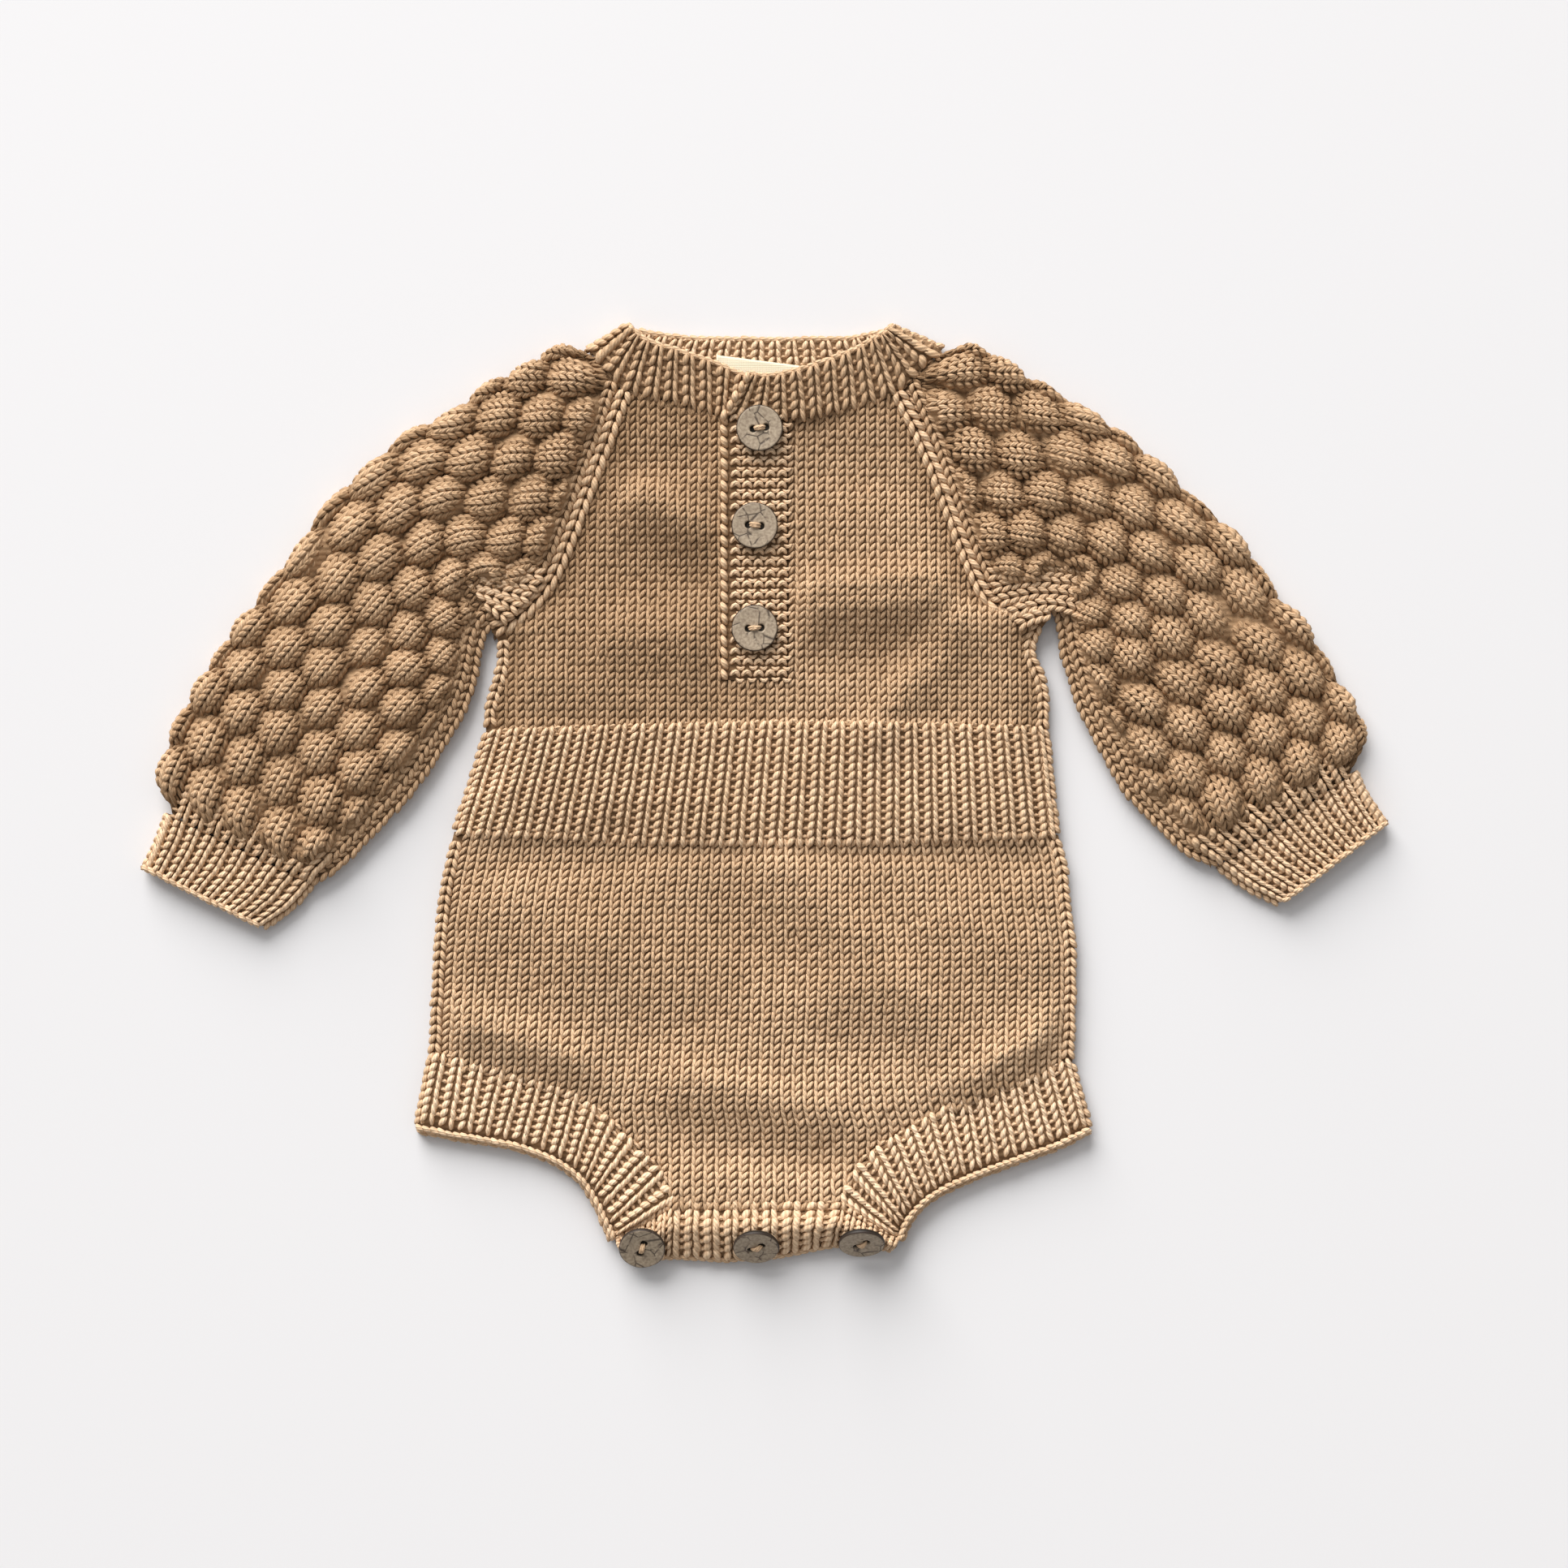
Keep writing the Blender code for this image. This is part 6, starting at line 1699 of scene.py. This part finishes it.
def ribs_beyond(yarn, form, seed):
    """The ribs run on up the sleeve, until the first bubbles hide them."""
    a, v = np.meshgrid((np.arange(0, form.ribs) + 0.5) * CUFF_PITCH, form.length + (np.arange(4) + 0.4) * CUFF_ROW)
    knit(yarn, form.beyond, a * form.mirror, v, RIB_LEGS, size=(CUFF_PITCH, CUFF_ROW), seed=seed + 4, dim=1.0)
    # painted shade: the bars between the ribs are darker
    knit(yarn, form.beyond, (a - CUFF_PITCH / 2) * form.mirror, v - 1.6, PURL_BAR,
         size=(CUFF_PITCH * 0.4, CUFF_ROW), seed=seed + 7, dim=0.85)


def cuff_sides(yarn, form, seed):
    """Plainer ribs underneath, a chain at the inner side and the bound edge."""
    ribs, rows, length, mirror = form.ribs, form.rows, form.length, form.mirror
    a, v = np.meshgrid((-np.arange(2, ribs + 1) - 0.5) * CUFF_PITCH, (np.arange(rows) + 0.5) * length / rows)
    knit(yarn, form.underside, a * mirror, v, RIB_LEGS, size=(CUFF_PITCH, length / rows), seed=seed + 2, lift=0.3,
         **BACK)
    inner = np.full(20, (ribs - 0.1) * CUFF_PITCH * mirror)
    chain(yarn, form.skin(inner, np.linspace(0, length, 20)) - (0, 0, 1.2), size=(3.6, 3.4), seed=seed + 5)
    along = np.linspace(-1.5, ribs - 0.2, 80) * CUFF_PITCH * mirror
    along = along if mirror > 0 else along[::-1]
    # painted light: the bound edge is lightened
    chain(yarn, form.skin(along, np.full(80, -0.7)) - (0, 0, 0.3), ROPE, size=(2.6, 3.3), seed=seed + 3, lift=0.4,
          dim=1.1)


# %% Both cuffs


def cuff(name, form, seed):
    """A ribbed cuff with its stitches."""
    wall = cuff_wall(name, form)
    yarn = Yarn()
    cuff_ribs(yarn, form, seed)
    ribs_beyond(yarn, form, seed)
    cuff_sides(yarn, form, seed)
    return wall, yarn.finish(name + "_stitches")


cuff_left = cuff("cuff_left", left_cuff, 91)
cuff_right = cuff("cuff_right", right_cuff, 95)

# %% [markdown]
# ## Buttons and label
# Coconut buttons are turned from the shell: a dull grey-brown face with fine
# cracks, a darker rim and two holes, sewn on with the romper's own yarn.

# %% Buttons: places
BUTTON_RADIUS = 9.1
BUTTON_THICK = 2.6
HOLE_RADIUS = 1.3
HOLE_OFFSET = 2.5
PLACKET_BUTTON_Z = 9.7
# x, y, level of the underside's middle, tilt toward the feet, turn
BUTTONS = {
    "button_placket_top": (-2.1, 143.5, 10.6, 0.0, 8.0),
    "button_placket_middle": (-4.0, 105.4, PLACKET_BUTTON_Z, 0.0, -6.0),
    "button_placket_bottom": (-4.0, 65.1, PLACKET_BUTTON_Z, 0.0, 4.0),
    "button_crotch_left": (-48.2, -177.4, 9.2, 27.0, 70.0),
    "button_crotch_middle": (-3.4, -176.4, 10.9, 42.0, 30.0),
    "button_crotch_right": (37.9, -174.6, 12.2, 50.0, 40.0),
}


def turned(points, tilt, turn, at):
    """Turn points about Z, tip them about X, then move them to their place."""
    a, b = math.radians(turn), math.radians(tilt)
    spin = np.array([[math.cos(a), -math.sin(a), 0], [math.sin(a), math.cos(a), 0], [0, 0, 1]])
    tip = np.array([[1, 0, 0], [0, math.cos(b), -math.sin(b)], [0, math.sin(b), math.cos(b)]])
    return points @ spin.T @ tip.T + np.asarray(at)


print("buttons:", len(BUTTONS), "of", 2 * BUTTON_RADIUS, "mm")

# %% [markdown]
# ### Shape of a button
# A real one is turned on a lathe, so rings of points follow a profile.
# Booleans could cut the holes, but pits keep the mesh closed, and the thread
# hides their depth.

# %% Buttons: shape


def disc_points(rng):
    """Grid of points: a profile turned round Z, its radius wavering a little.

    The face sinks into two pits, which are the holes.
    """
    theta = np.linspace(0, 2 * np.pi, 65)[:-1]
    face = np.concatenate([[0.02], np.linspace(0.6, 8.5, 22)])
    profile = [(r, BUTTON_THICK - 0.35 * math.exp(-((r / 7.0) ** 4))) for r in face]
    profile += [(8.85, BUTTON_THICK - 0.18), (BUTTON_RADIUS, BUTTON_THICK - 0.6), (9.0, 1.0), (8.6, 0.3), (8.0, 0.0)]
    profile += [(5.0, 0.0), (0.02, 0.0)]
    r, z = np.transpose(profile)
    wobble = sum(rng.normal(0, 0.045) * np.cos(k * theta + rng.uniform(0, 6)) for k in range(2, 9))
    wavering = r[:, None] * (1 + 0.05 * wobble * (r[:, None] / BUTTON_RADIUS))
    px, py = wavering * np.cos(theta), wavering * np.sin(theta)
    pz = np.broadcast_to(z[:, None], px.shape).copy()
    for side in (-1, 1):
        away = np.hypot(px - side * HOLE_OFFSET, py)
        pz -= (pz > BUTTON_THICK / 2) * 1.9 * ease((HOLE_RADIUS + 0.25 - away) / 0.5)
    return joined(px, py, pz)


def disc_faces(rows, cols):
    """Quads between the rings, and triangles round a middle point at each end."""
    index = np.arange(rows * cols).reshape(rows, cols)
    after = np.roll(index, -1, axis=1)
    quads = joined(index[:-1], index[1:], after[1:], after[:-1]).reshape(-1, 4)
    top, foot = rows * cols, rows * cols + 1
    caps = np.concatenate([np.stack([index[0], after[0], np.full(cols, top)], axis=1),
                           np.stack([after[-1], index[-1], np.full(cols, foot)], axis=1)])
    return quads, caps


# %% Buttons: discs and thread


def button(name, x, y, level, tilt, turn, seed):
    """A disc in its place, and the thread through its holes."""
    grid = disc_points(np.random.default_rng(seed))
    own = np.concatenate([grid.reshape(-1, 3), [[0, 0, grid[0, 0, 2]], [0, 0, 0]]])
    quads, caps = disc_faces(*grid.shape[:2])
    disc = add_mesh(name + "_disc", turned(own, tilt, turn, (x, y, level)), quads, caps, own, slot="coconut_shell")
    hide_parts(name)

    def thread_sheet(u, v):
        """The button's face, in its own turned and tipped plane."""
        flat = joined(u, v, BUTTON_THICK)
        return turned(flat.reshape(-1, 3), tilt, turn, (x, y, level)).reshape(flat.shape)

    yarn = Yarn()
    knit(yarn, thread_sheet, np.zeros(3), np.array([-0.45, 0.1, 0.5]), SEWING_THREAD, size=(4.9, 1.0), sides=8,
         seed=seed)
    yarn.finish(name + "_thread")


for number, (name, spot) in enumerate(BUTTONS.items()):
    button(name, *spot, seed=100 + number)

# %% [markdown]
# ### Label
# A short tape is sewn inside the back neck.  It swells a little between its
# sewn ends, and stays bare.

# %% Label
LABEL_TOP = ((-19.0, 173.3), (18.4, 168.5))
LABEL_DEEP = 15.0
LABEL_Z = (3.2, 3.6)
start, end = np.array(LABEL_TOP)
share, down = np.meshgrid(np.linspace(0, 1, 40), np.linspace(1, 0, 18))
way = (end - start) / np.linalg.norm(end - start)
plan = start + share[..., None] * (end - start) + down[..., None] * LABEL_DEEP * np.array([way[1], -way[0]])
swell = 0.12 * np.sin(share * 9.0) * np.sin(down * 5.0)
hem = 0.15 * (ease((0.04 - share) / 0.03) + ease((share - 0.96) / 0.03))
label = cloth_wall("label_tape", lifted(plan, LABEL_Z[1] + swell + hem), lifted(plan, LABEL_Z[0]))
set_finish(label, "label_tape")
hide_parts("label")
print(f"label: {np.linalg.norm(end - start):.0f} by {LABEL_DEEP:.0f} mm")

# %% [markdown]
# ## Materials
# Each material starts from the real one and is drawn with a few nodes.  The
# colours are sRGB hex values, made linear by one function.

# %% Node helper and colours


def linear(code):
    """Linear colour from an sRGB hex value."""
    channels = [int(code[k:k + 2], 16) / 255 for k in (1, 3, 5)]
    return tuple(c / 12.92 if c <= 0.04045 else ((c + 0.055) / 1.055) ** 2.4 for c in channels) + (1.0,)


def settle(made, **settings):
    """Give each setting to the node's property or socket of that name."""
    for key, value in settings.items():
        if hasattr(made, key):
            setattr(made, key, value)
        else:
            made.inputs[key.replace("_", " ")].default_value = value


def node(tree, kind, links=(), **settings):
    """Add a node with its settings; links feed its sockets.

    A link's source is a socket, a node for its first output, or a constant.
    """
    made = tree.nodes.new("ShaderNode" + kind)
    settle(made, **settings)
    for socket, source in links:
        if isinstance(source, bpy.types.Node):
            source = source.outputs[0]
        if isinstance(source, bpy.types.NodeSocket):
            tree.links.new(source, made.inputs[socket])
        else:
            made.inputs[socket].default_value = source
    return made


def new_material(name, **settings):
    """A node material with its Principled shader, ready for links."""
    material = bpy.data.materials.new(name)
    material.use_nodes = True
    tree = material.node_tree
    settle(tree.nodes["Principled BSDF"], **settings)
    return material, tree, tree.nodes["Principled BSDF"]


print("camel, linear:", [round(c, 3) for c in linear("#E7C6A3")[:3]])

# %% [markdown]
# ### Cotton yarn
# Double-knit cotton is soft and dull.  It is plied: its strands wind round
# each other, which shows as fine slanting grooves along every leg.

# %% Yarn: grooves and tone
PLY_TURN = 11.0  # millimetres of yarn to one turn of its strands
STRANDS = 5


def yarn_grooves(tree, parts):
    """Waves that wind along each leg: 1 on a strand, -1 in the groove beside it."""
    turn = node(tree, "Math", [(0, parts.outputs["X"]), (1, PLY_TURN)], operation="DIVIDE")
    wound = node(tree, "Math", [(0, turn), (1, parts.outputs["Y"])], operation="SUBTRACT")
    phase = node(tree, "Math", [(0, wound), (1, STRANDS * 2 * math.pi)], operation="MULTIPLY")
    return node(tree, "Math", [(0, phase)], operation="SINE")


def yarn_tone(tree, groove, parts, place):
    """Painted shade in the grooves and in deep yarn; each stitch differs a little, and so does each patch."""
    cloud = node(tree, "TexNoise", [("Vector", place)], Scale=22.0, Detail=2.0)
    # painted shade in the grooves between the strands
    shade = node(tree, "MapRange", [(0, groove)], From_Min=-1.0, From_Max=0.6, To_Min=0.80)
    patch = node(tree, "MapRange", [(0, cloud.outputs["Fac"])], From_Min=0.3, From_Max=0.7, To_Min=0.95, To_Max=1.04)
    # the painted shade laid on each point of the yarn
    first = node(tree, "Math", [(0, shade), (1, parts.outputs["Z"])], operation="MULTIPLY")
    return node(tree, "Math", [(0, first), (1, patch)], operation="MULTIPLY")


# %% Yarn: material


def yarn_material():
    """Plied cotton: grooves wind along each leg; tone changes by stitch and by painted shade."""
    material, tree, shader = new_material("plied_cotton_camel", Roughness=0.88, Specular_IOR_Level=0.18,
                                          Sheen_Weight=0.05, Sheen_Roughness=0.45, Sheen_Tint=linear("#F3DDBE"))
    ply = node(tree, "Attribute", attribute_name="ply")
    parts = node(tree, "SeparateXYZ", [(0, ply.outputs["Vector"])])
    place = node(tree, "TexCoord").outputs["Object"]
    groove = yarn_grooves(tree, parts)
    tone = yarn_tone(tree, groove, parts, place)
    # the eye sees the strands as fine slanting lines, roughened by loose fibres
    fibre = node(tree, "TexNoise", [("Vector", place)], Scale=1400.0, Detail=2.0)
    height = node(tree, "Math", [(0, groove), (1, 0.45), (2, fibre.outputs["Fac"])],
                  operation="MULTIPLY_ADD")
    bump = node(tree, "Bump", [("Height", height)], Strength=0.55, Distance=0.00035)
    # light that gets deep between the strands meets the cotton more than once:
    # the colour is raised to a power that grows as the tone falls
    depth = node(tree, "Math", [(0, tone), (1, -0.75), (2, 1.75)], operation="MULTIPLY_ADD")
    warm = node(tree, "Gamma", [("Gamma", depth)], Color=linear("#E7C6A3"))
    colour = node(tree, "VectorMath", [(0, warm), ("Scale", tone)], operation="SCALE")
    tree.links.new(colour.outputs[0], shader.inputs["Base Color"])
    tree.links.new(bump.outputs[0], shader.inputs["Normal"])
    return material


YARN_MATERIAL = yarn_material()
print(YARN_MATERIAL.name)

# %% [markdown]
# ### Coconut shell and label tape
# Coconut shell is hard and fibrous: a grey-brown ground with short dark
# streaks, a few hairline cracks and a satin polish.  The label is a woven
# cotton tape in cream, left bare.

# %% Coconut shell: cracks and colour


def coconut_cracks(tree, place):
    """0 on a hairline crack, 1 beside it; the cracks show in some patches only."""
    cloud = node(tree, "TexNoise", [("Vector", place)], Scale=160.0, Detail=3.0)
    crack = node(tree, "TexVoronoi", [("Vector", place)], feature="DISTANCE_TO_EDGE", Scale=150.0)
    line = node(tree, "MapRange", [(0, crack.outputs["Distance"])], From_Max=0.05)
    gate = node(tree, "MapRange", [(0, cloud.outputs["Fac"])], From_Min=0.48, From_Max=0.54, To_Min=1.0, To_Max=0.0)
    return node(tree, "Math", [(0, line), (1, gate)], operation="MAXIMUM")


def coconut_colour(tree, place, parts, cracked):
    """Speckled grey-brown face, dark toward the rim and in the cracks; painted shade in the holes and below."""
    flat = node(tree, "CombineXYZ", [("X", parts.outputs["X"]), ("Y", parts.outputs["Y"])])
    speck = node(tree, "TexNoise", [("Vector", place)], Scale=900.0, Detail=4.0)
    face = node(tree, "ValToRGB", [(0, speck.outputs["Fac"])])
    for stop, position, colour in zip(face.color_ramp.elements, (0.3, 0.65), ("#8D7B69", "#B7A68F")):
        stop.position = position
        stop.color = linear(colour)
    radius = node(tree, "VectorMath", [(0, flat)], operation="LENGTH")
    rim = node(tree, "MapRange", [(0, radius.outputs["Value"])], From_Min=8.55, From_Max=8.9)
    edge = node(tree, "Mix", [(0, rim), (6, face), (7, linear("#33271F"))], data_type="RGBA")
    dark = node(tree, "Mix", [(0, cracked), (6, linear("#3E3229")), (7, edge.outputs[2])],
                data_type="RGBA")
    # painted shade: the holes, the lower rim and the underside are darkened
    painted_depth_shade = node(tree, "MapRange", [(0, parts.outputs["Z"])], From_Min=1.2, From_Max=2.1, To_Min=0.12)
    return node(tree, "VectorMath", [(0, dark.outputs[2]), ("Scale", painted_depth_shade)], operation="SCALE")


# %% Coconut shell and tape: materials


def coconut_material():
    """Turned coconut shell: a dull satin face with speckles and hairline cracks."""
    material, tree, shader = new_material("turned_coconut_shell", Roughness=0.55, Specular_IOR_Level=0.4)
    own = node(tree, "Attribute", attribute_name="ply")
    parts = node(tree, "SeparateXYZ", [(0, own.outputs["Vector"])])
    place = node(tree, "TexCoord").outputs["Object"]
    cracked = coconut_cracks(tree, place)
    colour = coconut_colour(tree, place, parts, cracked)
    tree.links.new(colour.outputs[0], shader.inputs["Base Color"])
    bump = node(tree, "Bump", [("Height", cracked)], Strength=0.5, Distance=0.0002)
    tree.links.new(bump.outputs[0], shader.inputs["Normal"])
    return material


def tape_material():
    """Woven cotton tape: fine warp and weft, cream, without any mark."""
    material, tree, shader = new_material("woven_tape_cream", Base_Color=linear("#F4EACF"), Roughness=0.8)
    place = node(tree, "TexCoord").outputs["Object"]
    weave = node(tree, "TexWave", [("Vector", place)], Scale=450.0, Distortion=1.0)
    weft = node(tree, "TexWave", [("Vector", place)], bands_direction="Y", Scale=450.0, Distortion=1.0)
    both = node(tree, "Math", [(0, weave.outputs["Fac"]), (1, weft.outputs["Fac"])], operation="ADD")
    bump = node(tree, "Bump", [("Height", both)], Strength=0.35, Distance=0.00015)
    tree.links.new(bump.outputs[0], shader.inputs["Normal"])
    return material


COCONUT_MATERIAL = coconut_material()
TAPE_MATERIAL = tape_material()
print(COCONUT_MATERIAL.name, TAPE_MATERIAL.name)

# %% [markdown]
# ### Who wears what
# Every piece names its slot, and the slot names its material.

# %% Assign materials
BY_SLOT = {"coconut_shell": COCONUT_MATERIAL, "label_tape": TAPE_MATERIAL}
dressed = [piece for piece in bpy.context.scene.objects if piece.type == "MESH"]
for piece in dressed:
    piece.data.materials.clear()
    piece.data.materials.append(BY_SLOT.get(piece.get("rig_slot", "cotton_yarn"), YARN_MATERIAL))
print("pieces with a material:", len(dressed))

# %% [markdown]
# ## Sheets

# %% Sheets


# %% [markdown]
# ## Floor, light and camera
# The romper lies on a white table beside a window.  A pale surround fills the
# shadows.

# %% Floor
bpy.ops.mesh.primitive_plane_add(size=6.0, location=(0, 0, -0.0002))
floor = bpy.context.object
floor.name = "floor"
floor.data.materials.append(new_material("white_table", Base_Color=linear("#ECECEF"), Roughness=0.7)[0])
print("the table is", floor.dimensions.x, "m wide")

# %% [markdown]
# ### Light
# Daylight falls in from beyond the neck, so every stitch has a lit upper side
# and a soft shadow below it.  An area lamp would fall off over the length of
# the garment, so the window is a wide sun.

# %% Lights


def soft_lamp(name, place, aim, size, power, colour):
    """A square area lamp that looks at a point."""
    lamp = bpy.data.lights.new(name, "AREA")
    lamp.size = size
    lamp.energy = power
    lamp.color = linear(colour)[:3]
    made = bpy.data.objects.new(name, lamp)
    made.location = place
    made.rotation_euler = (Vector(aim) - Vector(place)).to_track_quat("-Z", "Y").to_euler()
    bpy.context.scene.collection.objects.link(made)
    return made


window = bpy.data.lights.new("window", "SUN")
window.energy = 4.5
window.angle = 0.8
window.color = linear("#FFFDFA")[:3]
window_light = bpy.data.objects.new("window", window)
window_light.rotation_euler = Vector((-0.40, 1.0, 0.53)).to_track_quat("Z", "Y").to_euler()
bpy.context.scene.collection.objects.link(window_light)
soft_lamp("ceiling", (-0.3, 0.9, 1.4), (0, 0, 0), 1.2, 4.5, "#FFFFFF")
world = bpy.data.worlds.new("pale_room")
world.use_nodes = True
settle(world.node_tree.nodes["Background"], Color=linear("#F6F4F1"), Strength=0.36)
bpy.context.scene.view_settings.view_transform = "Standard"
bpy.context.scene.world = world
print("lamps: window and ceiling")

# %% [markdown]
# ### Camera
# The camera hangs straight above.  Its lens follows from the width to be seen
# and its height over the cloth.

# %% Camera
VIEW_PIXELS = 1932
MM_PER_PIXEL = 0.32
FRAME_WIDTH = VIEW_PIXELS * MM_PER_PIXEL * MM
CAMERA_HEIGHT = 1.2
CLOTH_LEVEL = 0.005
SENSOR = 36.0
camera_data = bpy.data.cameras.new("above")
camera_data.sensor_width = SENSOR
camera_data.lens = SENSOR * (CAMERA_HEIGHT - CLOTH_LEVEL) / FRAME_WIDTH
camera = bpy.data.objects.new("above", camera_data)
camera.location = (0.0075, 0.0040, CAMERA_HEIGHT)
bpy.context.scene.collection.objects.link(camera)
bpy.context.scene.camera = camera
print(f"lens: {camera_data.lens:.1f} mm for a view {FRAME_WIDTH:.3f} m wide")
